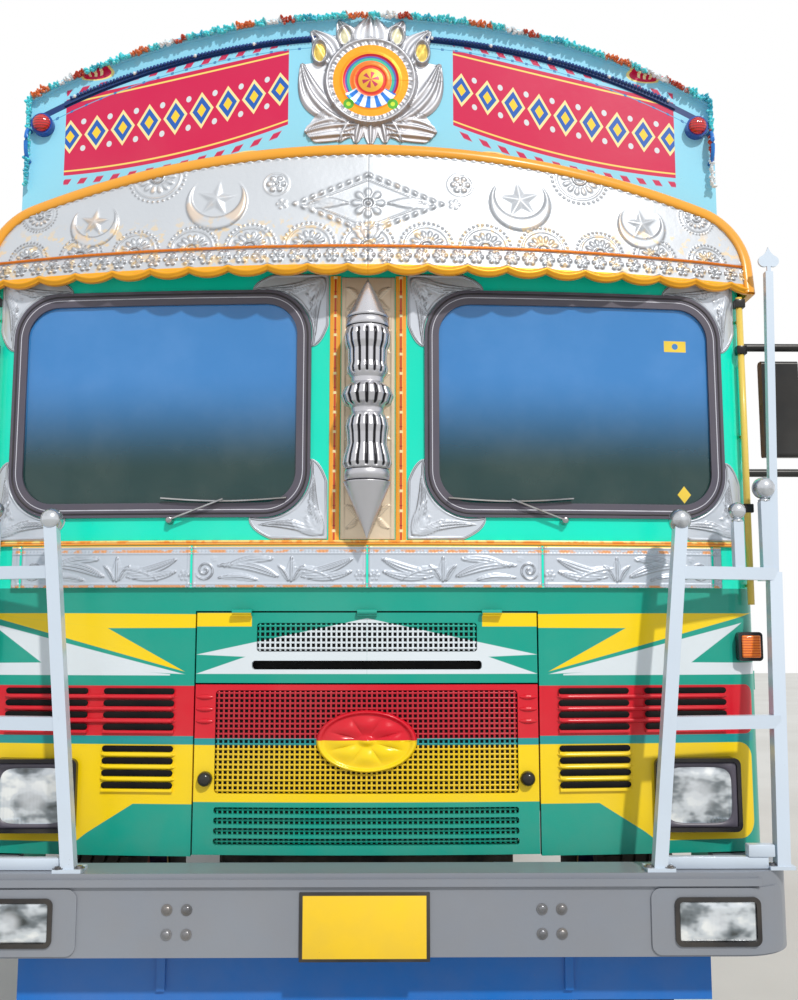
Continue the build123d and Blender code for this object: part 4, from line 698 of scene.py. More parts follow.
def striped(name, ground):
    """The cab's side: a warm ground, a white and red line at the belt and a green skirt."""
    finish = Finish(name, Coat_Weight=0.3, Coat_Roughness=0.12)
    z = finish.z
    base = finish.layers(ground, (z.below(1.52, 0.002), GREEN), (z.between(1.52, 1.55, 0.002), WHITE),
                         (z.between(1.55, 1.63, 0.002), RED), (z.between(1.63, 1.66, 0.002), WHITE),
                         (z.between(1.79, 1.81, 0.002), RED), (z.above(2.66, 0.002), BLUE),
                         (z.between(2.63, 2.66, 0.002), WHITE))
    aged(finish, base, dust=0.5, rough=0.25)
    return finish.bump(finish.noise(60, detail=2), 0.0008, 0.3)


WARM = tone(238, 150, 34)
cab_paint = striped("cab side paint", WARM)
body_paint = panelled("load body paint", WARM)
tail_paint = tail_panels("tail paint", WARM)
roof_paint = paint("roof paint", WARM, dust=0.8, rough=0.35)
cowl_paint = paint("cowl paint", GREEN, coats=cowl_coats)
grille_paint = paint("grille paint", GREEN, coats=grille_coats)
lid_paint = paint("lid paint", GREEN, coats=lid_coats)
frame_paint = paint("windscreen frame paint", TURQUOISE, rough=0.24)
wheel_paint = paint("wheel paint", tone(188, 176, 150), dust=0.9, rough=0.45)
beam_paint = paint("beam paint", BLUE, dust=0.1, rough=0.22)
tank_paint = paint("tank paint", tone(70, 84, 92), dust=0.8, rough=0.4)
mirror_paint = paint("mirror paint", tone(24, 24, 26), dust=0.2, rough=0.3)
print("painted finishes ready")

# %% Finishes onto the truck's pieces
def dress(node, finish):
    """Gives one of the frame's solids its finish."""
    slots = NODES[node].data.materials
    slots.clear()
    slots.append(finish.material)


FINISH_OF = {
    chassis_black: ["frame_rails", "cross_members", "battery_box", "rear_mudguards"],
    cast: ["front_springs", "rear_springs", "front_axle", "rear_axle", "engine", "drive_shaft", "exhaust",
           "knuckle_left", "knuckle_right", "track_rod"],
    bumper_grey: ["front_bumper"], beam_paint: ["underrun_beam", "roof_rack"],
    tyre_rubber: ["tyre_front_left", "tyre_front_right", "tyres_rear_left", "tyres_rear_right",
                  "spare_tyre"],
    wheel_paint: ["rim_front_left", "rim_front_right", "rims_rear_left", "rims_rear_right", "spare_rim"],
    cowl_paint: ["cowl_panels"], grille_paint: ["grille_panel"], lid_paint: ["bonnet_lid"],
    frame_paint: ["windscreen_frame"], pane: ["cab_glass"],
    side_pane: ["door_glass_left", "door_glass_right"], seal: ["window_rubbers"],
    rails_silver: ["front_guards"], roof_paint: ["cab_roof"],
    cab_paint: ["cab_side_left", "cab_side_right", "cab_back", "door_left", "door_right"],
    mirror_paint: ["mirrors"], floor_mat: ["cab_floor"], dash_plastic: ["steering_wheel"],
    dash_cover: ["dashboard"], bed_wood: ["body_floor"],
    body_paint: ["body_side_left", "body_side_right", "body_headboard"],
    tail_paint: ["tail_frame", "tailboard"], tank_paint: ["fuel_tank"],
}
for finish, nodes in FINISH_OF.items():
    for node in nodes:
        dress(node, finish)
print("finished nodes:", sum(len(nodes) for nodes in FINISH_OF.values()), "of", len(NODES))

# %% [markdown]
# ## Pressed sheet metal
# The peak over the windscreens is thin bright sheet, pressed by hand over carved blocks: crescents, stars,
# half flowers and rows of dots stand a few millimetres proud. Each ornament could be carved as its own mesh,
# but it is simpler to treat the sheet as a height over a flat drawing. For each point of a fine grid the
# functions below say how far it stands out, from its distance to circles, rays and lines.

# %% Heights of pressed ornaments
def dome(distance, width):
    """A smooth bump: 1 at distance 0 and 0 from width on, by (1 - (d / w) squared) squared."""
    return np.clip(1 - (distance / width) ** 2, 0, 1) ** 2


def crescent(x, z, radius, bite=0.80, rise=0.30):
    """Inside a circle but outside a smaller one that is shifted up; rounded towards both edges."""
    outer = radius - np.hypot(x, z)
    inner = np.hypot(x, z - radius * rise) - radius * bite
    depth = np.minimum(outer, inner)
    return np.clip(depth / (radius * 0.11), 0, 1) ** 0.6


def star(x, z, radius, points=5, waist=0.42, lean=0.0):
    """A faceted star: the height falls from the middle to the edge line between a tip and a valley."""
    angle = np.arctan2(x, z) + lean
    half = np.pi / points
    fold = np.abs((angle + half) % (2 * half) - half)
    r = np.hypot(x, z)
    px, pz = r * np.cos(fold), r * np.sin(fold)
    tip, valley = np.array([radius, 0.0]), radius * waist * np.array([np.cos(half), np.sin(half)])
    edge = valley - tip
    normal = np.array([edge[1], -edge[0]]) / np.hypot(*edge)
    reach = normal @ tip
    return np.clip(1 - (px * normal[0] + pz * normal[1]) / reach, 0, 1)


def beads(x, z, radius, count, size):
    """A ring of beads: domes at equal steps round a circle."""
    r, angle = np.hypot(x, z), np.arctan2(z, x)
    step = TAU / count
    off = ((angle + step / 2) % step - step / 2) * radius
    return dome(np.hypot(off, r - radius), size)


def ring(x, z, radius, width):
    """A rounded ring."""
    return dome(np.hypot(x, z) - radius, width)


def petals(x, z, inner, outer, count):
    """Petals between two circles: a ridge along each and a groove between neighbours."""
    r, angle = np.hypot(x, z), np.arctan2(z, x)
    lobe = np.abs(np.cos(angle * count / 2)) ** 0.7
    reach = inner + (outer - inner) * (0.55 + 0.45 * lobe)
    return np.clip((reach - r) / (outer - inner) * 4, 0, 1) * np.clip((r - inner) * 80, 0, 1) * lobe


def flower(x, z, radius, count=8):
    """A full flower: petals, a ring and a round eye."""
    return np.maximum.reduce([petals(x, z, radius * 0.25, radius, count) * 0.8,
                              ring(x, z, radius * 0.33, radius * 0.10) * 0.8,
                              dome(np.hypot(x, z), radius * 0.2)])


def half_flower(x, z, radius):
    """A half flower for a border: dots round it, a smooth arch, petals and an eye."""
    return np.maximum.reduce([beads(x, z, radius, 34, radius * 0.07) * 0.8,
                              ring(x, z, radius * 0.84, radius * 0.06) * 0.5,
                              petals(x, z, radius * 0.28, radius * 0.72, 14) * 0.8,
                              ring(x, z, radius * 0.24, radius * 0.06), dome(np.hypot(x, z), radius * 0.13)])


def scroll(x, z, radius, width, turn=1):
    """A spiral ridge: its radius grows evenly with its angle over two turns."""
    r, angle = np.hypot(x, z), turn * np.arctan2(z, x)
    pitch = radius / 2
    off = (r / pitch - angle / TAU + 0.5) % 1 - 0.5
    return dome(off * pitch, radius * width) * np.clip((radius - r) / (radius * 0.1), 0, 1)


def leaf(x, z, length, width, bend=0.0):
    """A leaf lying along x from 0 to length, bent up by bend, with a vein down its middle."""
    along = np.clip(x / length, 0, 1)
    middle = bend * np.sin(np.pi * along * 0.5) ** 2
    half = width * np.sin(np.pi * along) ** 0.8 + 1e-6
    off = np.abs(z - middle) / half
    inside = np.clip(1 - off ** 2, 0, 1) ** 0.5 * ((x > 0) & (x < length))
    return inside * (1 - 0.5 * dome(off, 0.25))


print("star height at its middle:", star(np.zeros(1), np.zeros(1), 0.1)[0])

# %% The leaning curve of the peak and its arch
PEAK_RADIUS, LEAN, PEAK_FOOT = 4.361, np.arctan(0.21), 2.645
PEAK_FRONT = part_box("peak")[0][1]
ARCH_CENTRE, ARCH_RADIUS, SHOULDER, HALF = -0.715, 3.8, 0.19, 1.235


def peak_y(x, z):
    """Y of the peak's face: a circle round an axis that leans back."""
    return (PEAK_FRONT + (PEAK_RADIUS - np.sqrt(PEAK_RADIUS ** 2 - x ** 2)) / np.cos(LEAN)
            + (z - PEAK_FOOT) * np.tan(LEAN))


def arch_curve(count=300):
    """Points (x, z) of the arch from foot to foot and their outward normals."""
    shoulder_z = ARCH_CENTRE + np.sqrt((ARCH_RADIUS - SHOULDER) ** 2 - (HALF - SHOULDER) ** 2)
    top = np.arctan2(shoulder_z - ARCH_CENTRE, HALF - SHOULDER)
    foot_z = np.linspace(PEAK_FOOT + 0.004, shoulder_z, 12)[:-1]
    bend = np.linspace(0, top, 28)[:-1]
    crown = np.linspace(top, TAU / 4, count // 2)
    x = np.concatenate([0 * foot_z + HALF, HALF - SHOULDER + SHOULDER * np.cos(bend),
                        ARCH_RADIUS * np.cos(crown)])
    z = np.concatenate([foot_z, shoulder_z + SHOULDER * np.sin(bend),
                        ARCH_CENTRE + ARCH_RADIUS * np.sin(crown)])
    normal = np.concatenate([0 * foot_z, bend, crown])
    x, z = np.concatenate([x, -x[-2::-1]]), np.concatenate([z, z[-2::-1]])
    normal = np.concatenate([normal, np.pi - normal[-2::-1]])
    return np.stack([x, z], axis=1), np.stack([np.cos(normal), np.sin(normal)], axis=1)


ARCH, ARCH_NORMAL = arch_curve()


def arch_top(x):
    """Height of the arch over x."""
    order = np.argsort(ARCH[:, 0])
    return np.interp(x, ARCH[order, 0], ARCH[order, 1])


def on_peak(values):
    """A strip along the arch: rows of (distance outside the arch, proud) swept from foot to foot."""
    rows = []
    for grow, proud in values:
        x, z = (ARCH + ARCH_NORMAL * grow).T
        rows.append(np.stack([x, peak_y(x, z) - proud, z], axis=1))
    return grid_form(np.stack(rows))


print("arch from", ARCH[0].round(3), "crown", ARCH[:, 1].max().round(3))

# %% The drawing on the peak
WAVE = 0.1235
CRESCENTS = ((0.482, 2.905, 0.100), (0.880, 2.850, 0.082))
LOZENGE_Z, LOZENGE_X, LOZENGE_UP = 2.893, 0.247, 0.112
BEAD_Z, ROW_PITCH, ROW_SIZE = 2.741, 0.1835, 0.083
LINK_Z, LINK_PITCH = 2.709, 0.056
PEAK_GRID = 368, 114


def lower_edge(x):
    """The scalloped hem: rounded waves below a level line, pointed between."""
    return PEAK_FOOT + 0.019 - 0.018 * np.abs(np.cos(np.pi * x / WAVE)) ** 0.8


def centred(x, pitch):
    """The signed distance from the nearest of many places at an even pitch."""
    return (x + pitch / 2) % pitch - pitch / 2


def peak_height(x, z):
    """How far the pressed sheet stands out at (x, z), in metres."""
    a, up = np.abs(x), z - LOZENGE_Z
    raised = [np.zeros_like(x)]
    for spot, level, radius in CRESCENTS:
        raised += [0.007 * crescent(a - spot, z - level, radius),
                   0.010 * star(a - spot, z - level - radius * 0.12, radius * 0.72, lean=0.12)]
    hang = arch_top(np.array([0.682]))[0] - 0.012
    raised += [0.006 * half_flower(a - 0.682, z - hang, 0.092),
               0.006 * half_flower(a - 1.075, z - 2.905, 0.06) * (a > 1.0),
               0.007 * flower(a - 0.292, z - 2.965, 0.034, 6),
               0.003 * ring(a - 0.292, z - 2.965, 0.040, 0.004)]
    size = ROW_SIZE - 0.020 * (a / 1.2) ** 2
    column, over = centred(x, ROW_PITCH) * ROW_SIZE / size, (z - BEAD_Z) * ROW_SIZE / size
    raised.append(0.007 * (half_flower(column, over, ROW_SIZE) * (z > BEAD_Z)))
    lozenge = a / LOZENGE_X + np.abs(up) / LOZENGE_UP
    slope = np.hypot(1 / LOZENGE_X, 1 / LOZENGE_UP)
    teeth = 0.6 + 0.4 * np.sin(a * LOZENGE_UP / np.hypot(LOZENGE_X, LOZENGE_UP) * 90 * 6)
    raised += [0.007 * dome(np.abs(lozenge - 0.93) / slope, 0.012) * teeth,
               0.004 * dome(np.abs(lozenge - 0.76) / slope, 0.0035),
               0.008 * flower(x, up, 0.058, 8), 0.006 * flower(a - 0.272, up, 0.020, 5),
               0.005 * leaf(a - 0.058, up, 0.115, 0.014, 0.012),
               0.005 * leaf(a - 0.058, up, 0.150, 0.014, -0.012)]
    raised += [0.005 * leaf(z - 2.765, x - bend * 0.4, 0.05, 0.010, bend * 0.6)
               for bend in (-0.05, -0.02, 0.02, 0.05)]
    blossom = flower(centred(x, LINK_PITCH), z - LINK_Z, 0.025, 6)
    hem, rim, stitch = z - lower_edge(x), arch_top(a) - z, 0.5 + 0.5 * np.sin(x * 210)
    raised += [0.010 * dome(z - BEAD_Z, 0.006), 0.008 * blossom + 0.0015 * dome(z - LINK_Z, 0.027),
               0.011 * dome(hem - 0.013, 0.012), 0.004 * dome(rim - 0.016, 0.007) * stitch]
    dents = 0.0012 * np.sin(7 * x + 3 * np.sin(9 * z)) * np.sin(23 * z + 4 * np.sin(5 * x))
    return np.maximum.reduce(raised) + 0.0032 + dents


def peak_sheet(x_low, x_high, columns, rows):
    """The pressed sheet between two places across the truck; its wall goes back at the hem."""
    x = np.linspace(x_low, x_high, columns)[None, :]
    low, high = lower_edge(x), arch_top(x) - 0.004
    z = low + (high - low) * np.linspace(0, 1, rows)[:, None]
    x = np.broadcast_to(x, z.shape)
    return relief_form(np.stack([x, peak_y(x, z), z], axis=-1), peak_height(x, z), wall=0.001)


print("hem wave", WAVE, "m")

# %% Finish of the pressed sheet
def pressed_metal(name, colour, warm=0.5, rough=0.36):
    """Bright sheet: soft tarnish, warm touches on the ornaments, and painted shade darkening the flanks of
    each ridge.
    """
    finish = Finish(name, metal=0.3, Specular_IOR_Level=0.4)
    relief, slope = finish.attribute("relief"), finish.attribute("slope")
    tarnish = finish.noise(4, detail=5)
    glint = finish.noise(9, detail=3, seed=6.0).above(0.56, 0.08) * relief.above(0.0062, 0.0012)
    base = finish.layers(colour, (tarnish.above(0.5, 0.3) * 0.15, tone(160, 166, 174)),
                         (glint * warm, tone(250, 196, 120)),
                         # Painted shade: the steep flanks of each ridge are darkened, so the relief shows as
                         # thin dark outlines.
                         (slope.above(0.55, 0.4) * 0.62, tone(84, 82, 86)))
    finish.set(Base_Color=base, Roughness=tarnish * 0.16 + rough - 0.08)
    return finish.bump(finish.noise(45, detail=3), 0.0015, 0.4)


def steepness(points, heights):
    """Slope of a relief: its rise along both directions of the grid over the length of the step there."""
    total = 0 * heights
    for axis in (0, 1):
        step = np.linalg.norm(np.gradient(points, axis=axis), axis=-1)
        total = total + (np.gradient(heights, axis=axis) / np.maximum(step, 1e-5)) ** 2
    return np.sqrt(total)


def relief_form(points, heights, out=(0, -1, 0), wall=0.008):
    """A grid pushed out by its heights, with a wall that goes back all round, and its two point values."""
    raised = points + heights[..., None] * np.asarray(out, dtype=float)
    back = points - wall * np.asarray(out, dtype=float)
    padded = np.pad(raised, ((1, 1), (1, 1), (0, 0)), mode="edge")
    rear = np.pad(back, ((1, 1), (1, 1), (0, 0)), mode="edge")
    border = np.ones(padded.shape[:2], dtype=bool)
    border[1:-1, 1:-1] = False
    padded[border] = rear[border]
    slope = np.pad(steepness(points, heights), 1, mode="edge")
    return grid_form(padded), np.stack([np.pad(heights, 1, mode="edge").ravel(), slope.ravel()])


def relief_piece(name, parts, finish, body="chassis"):
    """One mesh from several reliefs; each point keeps its height and slope for the finish."""
    thing = piece(name, joined([form for form, _ in parts]), finish, body=body, merge=0)
    values = np.concatenate([value for _, value in parts], axis=1)
    for key, numbers in zip(("relief", "slope"), values):
        layer = thing.data.attributes.new(key, "FLOAT", "POINT")
        layer.data.foreach_set("value", numbers.astype(np.float32))
    return thing


def both_reliefs(part):
    """A relief and its twin across the truck's middle."""
    return [part, (mirrored(part[0]), part[1])]


peak_metal = pressed_metal("pressed silver", tone(206, 210, 216), warm=0.35)
touches = peak_metal.noise(38, seed=9.0).above(0.58, 0.05) * peak_metal.z.below(2.84, 0.03) * 0.45
peak_metal.coat((touches, tone(250, 206, 120)),
                (peak_metal.z.between(2.7365, 2.7455, 0.001), tone(240, 130, 30)),
                (peak_metal.z.below(2.6785, 0.001), tone(250, 174, 36)))
relief_piece("peak_sheet_left", [peak_sheet(0.0, HALF - 0.003, *PEAK_GRID)], peak_metal)
relief_piece("peak_sheet_right", [peak_sheet(-HALF + 0.003, 0.0, *PEAK_GRID)], peak_metal)

# %% The peak's arched rim and the CAD sheet behind
rim_paint = paint("peak rim paint", tone(243, 166, 48), dust=0.15, rough=0.3)
RIM_SECTION = [(-0.014, -0.002), (-0.014, 0.008), (-0.008, 0.013), (0.004, 0.015), (0.016, 0.013),
               (0.022, 0.008), (0.0242, -0.004), (0.0242, -0.03)]
piece("peak_rim", on_peak(RIM_SECTION), rim_paint)
dress("peak", rim_paint)

# %% [markdown]
# ## Silver sheet round the windscreens
# The belt under the windscreens and the eight corner pieces are the same pressed sheet, nailed to the cab's
# bowed front. They follow that bow, so first comes a function for it: a wide circle that turns into the
# corner's small one. Their drawing is made of long leaves with ridges along them, laid at any angle.

# %% The cab's bowed front, and a leaf at any angle
NOSE_RADIUS, NOSE_SET, CORNER, CORNER_X = 8.9, 0.19, 0.12, 1.115


def nose_y(x, proud=0.0):
    """Y of the cab's front: a circle of 8.9 m, then the corner's circle of 0.12 m, pushed out by proud."""
    a = np.abs(x)
    middle = FRONT + NOSE_SET + NOSE_RADIUS
    bow = middle - np.sqrt((NOSE_RADIUS + proud) ** 2 - a ** 2)
    axis_y = middle - np.sqrt((NOSE_RADIUS - CORNER) ** 2 - CORNER_X ** 2)
    bend = axis_y - np.sqrt(np.clip((CORNER + proud) ** 2 - (a - CORNER_X) ** 2, 0, None))
    return np.where(a < CORNER_X * (NOSE_RADIUS + proud) / (NOSE_RADIUS - CORNER), bow, bend)


def on_nose(x, z, proud=0.0, back=0.0):
    """Points over (x, z) on the cab's front, pushed out by proud and then moved back."""
    x, z = np.broadcast_arrays(x, z)
    return np.stack([x, nose_y(x, proud) + back, z], axis=-1)


def leaf_at(x, z, spot, angle, length, width, bend=0.0, veins=3):
    """A leaf from a spot in a direction, arched by bend, with as many ridges along it as veins."""
    dx, dz = x - spot[0], z - spot[1]
    u = dx * np.cos(angle) + dz * np.sin(angle)
    v = dz * np.cos(angle) - dx * np.sin(angle)
    along = np.clip(u / length, 0, 1)
    half = width * np.sin(np.pi * along ** 0.8) ** 0.8 + 1e-6
    off = (v - bend * np.sin(np.pi * along)) / half
    inside = np.clip(1 - off ** 2, 0, 1) ** 0.5 * ((u > 0) & (u < length))
    return inside * (0.62 + 0.38 * np.cos(off * np.pi * veins))


print("bow at the corner", nose_y(np.array([1.1, 1.19])).round(3))

# %% The belt
PANEL, BELT_Z, DOT_ROW, DOT_PITCH = 0.54, 1.7475, 0.0540, 0.011
BELT_FANS = (
    ((0.045, 0.030), -0.25, 0.18, 0.015, -0.012, 3), ((0.045, -0.008), -0.10, 0.16, 0.013, -0.010, 3),
    ((0.100, -0.036), 0.30, 0.13, 0.012, 0.010, 2), ((0.232, -0.040), 1.57, 0.078, 0.013, 0.0, 2),
    ((0.226, -0.038), 2.20, 0.062, 0.010, -0.006, 2), ((0.240, -0.038), 0.95, 0.062, 0.010, 0.006, 2),
    ((0.268, -0.026), 0.18, 0.20, 0.015, 0.016, 3), ((0.285, 0.030), -0.16, 0.16, 0.013, 0.010, 3),
    ((0.330, -0.036), 0.06, 0.13, 0.010, 0.008, 2),
)


def belt_height(x, z):
    """Leaf fans and a scroll in each panel, ridges and dotted rows above and below, grooves at the joints."""
    u, v = np.abs(x) % PANEL, z - BELT_Z
    raised = [0.003 * dome(np.abs(v) - 0.0465, 0.0028) + 0.003 * dome(v - 0.0650, 0.0040),
              0.0028 * dome(np.hypot(centred(u, DOT_PITCH), np.abs(v) - DOT_ROW), 0.0034),
              0.0050 * scroll(u - 0.498, v + 0.004, 0.032, 0.10),
              0.0045 * flower(u - 0.022, v + 0.02, 0.018, 6), 0.0045 * flower(u - 0.470, v - 0.030, 0.010, 5)]
    raised += [0.0055 * leaf_at(u, v, *fan) for fan in BELT_FANS]
    joint = np.minimum(u, PANEL - u)
    return np.maximum.reduce(raised) - 0.004 * dome(joint, 0.003) + 0.002 * dome(joint - 0.009, 0.004)


belt_x, belt_z = np.meshgrid(np.linspace(-1.108, 1.108, 760), np.linspace(1.6905, 1.8185, 44))
belt_metal = pressed_metal("belt silver", tone(200, 208, 220), warm=0.25)
dotted = abs(abs(belt_metal.z - BELT_Z) - DOT_ROW).below(0.0045, 0.001)
belt_metal.coat((belt_metal.noise(26, seed=2.0).above(0.5, 0.05) * dotted * 0.8, tone(236, 150, 60)),
                (belt_metal.z.above(1.8145, 0.001), tone(244, 196, 96)))
belt = relief_form(on_nose(belt_x, belt_z, 0.0145), belt_height(belt_x, belt_z), wall=0.002)
relief_piece("belt_sheet", [belt], belt_metal)

# %% [markdown]
# ## Corner pieces
# Each corner piece fills the hollow triangle between a window rubber's round corner and the straight edges of
# the frame. Polar coordinates round the rubber's corner centre suit it: the inner edge is then a circle, and
# the outer edge is the nearer of two straight lines. Towards both tips the outer edge runs back to the
# circle.

# %% Corner pieces
RUBBER_EDGE, SWING_LOW, SWING_HIGH = 0.147, -0.26, TAU / 4 + 0.30
CORNER_LEAVES = ((1.42, 0.19, 0.015, -0.014), (1.16, 0.125, 0.012, 0.010), (0.79, 0.085, 0.015, 0.0),
                 (0.42, 0.125, 0.012, -0.010), (0.16, 0.20, 0.015, 0.014))


def corner_relief(centre, limit_x, limit_z):
    """One corner: angles sweep from one straight edge to the other, radii from the rubber to the edges."""
    side, rise = np.sign(limit_x - centre[0]), np.sign(limit_z - centre[1])
    swing = np.linspace(SWING_LOW, SWING_HIGH, 84)[:, None]
    reach_x, reach_z = abs(limit_x - centre[0]), abs(limit_z - centre[1])
    to_edge = np.minimum(reach_x / np.maximum(np.cos(swing), 1e-3), reach_z / np.maximum(np.sin(swing), 1e-3))
    taper = np.clip(np.minimum(swing - SWING_LOW, SWING_HIGH - swing) / 0.42, 0, 1) ** 0.6
    outer = RUBBER_EDGE + (to_edge - RUBBER_EDGE) * taper
    radius = RUBBER_EDGE + (outer - RUBBER_EDGE) * np.linspace(0, 1, 38)[None, :]
    x = centre[0] + side * radius * np.cos(swing)
    z = centre[1] + rise * radius * np.sin(swing)
    u, v = abs(limit_x - x), abs(limit_z - z)
    rim = np.minimum(radius - RUBBER_EDGE, outer - radius)
    raised = [0.003 * dome(rim - 0.006, 0.004), 0.0060 * flower(u - 0.030, v - 0.030, 0.018, 6),
              0.0055 * scroll(u - 0.050, v - 0.096, 0.017, 0.15),
              0.0055 * scroll(u - 0.106, v - 0.044, 0.017, 0.15, turn=-1)]
    raised += [0.0060 * leaf_at(u, v, (0.014, 0.014), *shape) for shape in CORNER_LEAVES]
    height = np.maximum.reduce(raised) * np.clip(rim / 0.003, 0, 1)
    points = on_nose(x, z, 0.003)
    if side * rise < 0:
        points, height = points[::-1], height[::-1]
    return relief_form(points, height, wall=0.003)


corners = []
for inner, limit_x in ((0.323, 0.124), (0.990, 1.190)):
    for level, limit_z in ((2.052, 1.838), (2.486, 2.684)):
        corners += both_reliefs(corner_relief((inner, level), limit_x, limit_z))
corner_metal = pressed_metal("corner silver", tone(206, 212, 222), warm=0.12)
relief_piece("corner_pieces", corners, corner_metal)

# %% [markdown]
# ## The pillar between the windscreens
# A narrow silver panel with a tan glow runs up the pillar, between two orange strips set with a line of red
# and pale beads. In front of it stands a turned post of bright metal, with smooth cones and fluted bulbs.

# %% Pillar panel and strips
PILLAR_LOW, PILLAR_HIGH, FLOWER_STEP, STRIP_X = 1.838, 2.672, 0.139, 0.1035
pillar_x, pillar_z = np.meshgrid(np.linspace(-0.084, 0.084, 40), np.linspace(PILLAR_LOW, PILLAR_HIGH, 330))
local = (pillar_z - PILLAR_LOW) % FLOWER_STEP - FLOWER_STEP / 2
raised = [0.005 * flower(pillar_x, local, 0.034, 8), 0.003 * dome(np.abs(pillar_x) - 0.076, 0.004)]
raised += [0.004 * leaf_at(np.abs(pillar_x), local, (0.030, 0.0), way * 0.75, 0.055, 0.010, way * 0.006)
           for way in (1, -1)]
drawing = np.maximum.reduce(raised)
pillar_metal = pressed_metal("pillar silver", tone(226, 206, 178), warm=0.5)
relief_piece("pillar_panel", [relief_form(on_nose(pillar_x, pillar_z, 0.003), drawing, wall=0.003)],
             pillar_metal)
strip_paint = Finish("strip paint", rough=0.3, Coat_Weight=0.1)
off, bead = abs(strip_paint.across - STRIP_X), strip_paint.z.cycle(0.062)
strip_paint.set(Base_Color=strip_paint.layers(
    tone(246, 166, 50), (off.below(0.0036), tone(206, 70, 28)),
    (off.between(0.0036, 0.0055), tone(250, 214, 110)),
    (off.below(0.006) * bead.below(0.14, 0.01), tone(250, 228, 170)),
    (off.below(0.004) * bead.between(0.30, 0.36, 0.01), tone(160, 30, 24))))
strip_paint.bump(strip_paint.noise(50), 0.001, 0.4)
half_section = [(0.0165, 0.0), (0.0165, 0.003), (0.014, 0.0045), (0.0055, 0.0045), (0.004, 0.0075)]
section = [(-dx, proud) for dx, proud in half_section] + half_section[::-1]
strip_z = np.linspace(1.836, 2.676, 60)
rows = np.stack([on_nose(STRIP_X + dx, strip_z, back=-proud) for dx, proud in section], axis=1)
piece("pillar_strips", both_sides(grid_form(rows)), strip_paint, crease=40)
level_x = np.linspace(-1.19, 1.19, 160)
ledge = [(1.8205, 0.0), (1.8205, 0.012), (1.824, 0.014), (1.828, 0.011), (1.831, 0.012), (1.8355, 0.010),
         (1.8365, 0.0)]
line_paint = paint("ledge paint", tone(246, 160, 52), coats=[
    (lambda finish: finish.z.above(1.8265, 0.0006) * finish.noise(30).above(0.48, 0.06), tone(250, 214, 120)),
    (lambda finish: finish.z.between(1.8275, 1.8295, 0.0006), tone(190, 70, 40))])
piece("belt_ledge", grid_form(np.stack([on_nose(level_x, z, proud) for z, proud in ledge])), line_paint,
      crease=50)

# %% The turned post
SPINDLE_PROFILE = [
    (1.833, 0.0), (2.000, 0.072), (2.003, 0.073), (2.004, 0.066), (2.008, 0.066), (2.009, 0.070),
    (2.038, 0.070), (2.041, 0.066), (2.046, 0.071), (2.060, 0.076), (2.082, 0.072), (2.118, 0.061),
    (2.150, 0.063), (2.172, 0.067), (2.194, 0.062), (2.214, 0.051), (2.228, 0.051), (2.232, 0.056),
    (2.244, 0.072), (2.267, 0.081), (2.290, 0.072), (2.304, 0.056), (2.308, 0.051), (2.323, 0.051),
    (2.330, 0.056), (2.341, 0.062), (2.353, 0.064), (2.368, 0.060), (2.410, 0.061), (2.430, 0.069),
    (2.455, 0.072), (2.476, 0.066), (2.480, 0.064), (2.484, 0.067), (2.506, 0.067), (2.508, 0.061),
    (2.511, 0.061), (2.514, 0.066), (2.520, 0.0625), (2.640, 0.0)]
FLUTED = ((2.046, 2.206), (2.234, 2.302), (2.334, 2.474))
POST_SIDES, FLUTES = 128, 16
knots = np.array(SPINDLE_PROFILE)
heights = np.unique(np.concatenate([knots[:, 0], np.linspace(2.04, 2.48, 130)]))
radii = np.interp(heights, knots[:, 0], knots[:, 1])
form = turned(np.stack([radii, heights], axis=1), POST_SIDES)
grid = form[0].reshape(len(heights), POST_SIDES, 3)
angle = np.linspace(0, TAU, POST_SIDES, endpoint=False)
inside = sum(np.clip(np.minimum(heights - low, high - heights) / 0.006, 0, 1) for low, high in FLUTED)
groove = inside[:, None] * np.clip(np.cos(FLUTES * angle), 0, 1)[None, :] ** 1.5
grid[..., :2] *= (1 - 0.10 * groove)[..., None]
form = (grid.reshape(-1, 3) + place(0, 104, 0), form[1])
post_metal = Finish("post metal", metal=0.75)
streaks = post_metal.noise(6, detail=4, stretch=(1, 1, 0.15))
# Painted shade: dark rings in the turned notches at these heights, and dark flutes where the groove depth,
# kept as slope, is deep.
lines = sum(abs(post_metal.z - level).below(0.0018, 0.0008) for level in (2.006, 2.0400, 2.4815, 2.5095))
post_metal.set(Base_Color=post_metal.layers(
    tone(206, 206, 212), (streaks.above(0.5, 0.3) * 0.3, tone(150, 148, 150)),
    (post_metal.attribute("slope").above(0.35, 0.25), tone(34, 34, 38)),
    (lines.least(1.0), tone(40, 40, 44))),
    Roughness=streaks * 0.2 + 0.18)
post_metal.bump(post_metal.noise(70), 0.0006, 0.4)
post = relief_piece("turned_post", [(form, np.stack([groove.ravel(), groove.ravel()]))], post_metal)
brackets = [block((-20, 168, z - 7), (20, 188, z + 7), 0.002) for z in (1940, 2220, 2550)]
piece("post_brackets", joined(brackets), post_metal, crease=40)
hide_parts("centre_spindle")

# %% [markdown]
# ## Wire mesh, slots and ribs of the nose
# Behind the frames of the lid and the grille lies a mesh of crimped wire, painted with the panel it belongs
# to. A crimped wire is a sine wave; wires that cross it are the same wave half a step later, so they pass
# over and under in turn. A black sheet behind the wires is painted shade: it makes the holes dark, standing
# in for the shade of the deep engine bay.

# %% Crimped wire mesh
WIRE_PITCH, WIRE_WIDTH, WIRE_LIFT = 0.0155, 0.0062, 0.0012


def crimp(count, first):
    """The wave of a crimped wire: up and down in turn where wires cross it, level between."""
    step = np.arange(count)
    return WIRE_LIFT * np.cos(np.pi * (step + first)) * (step % 2)


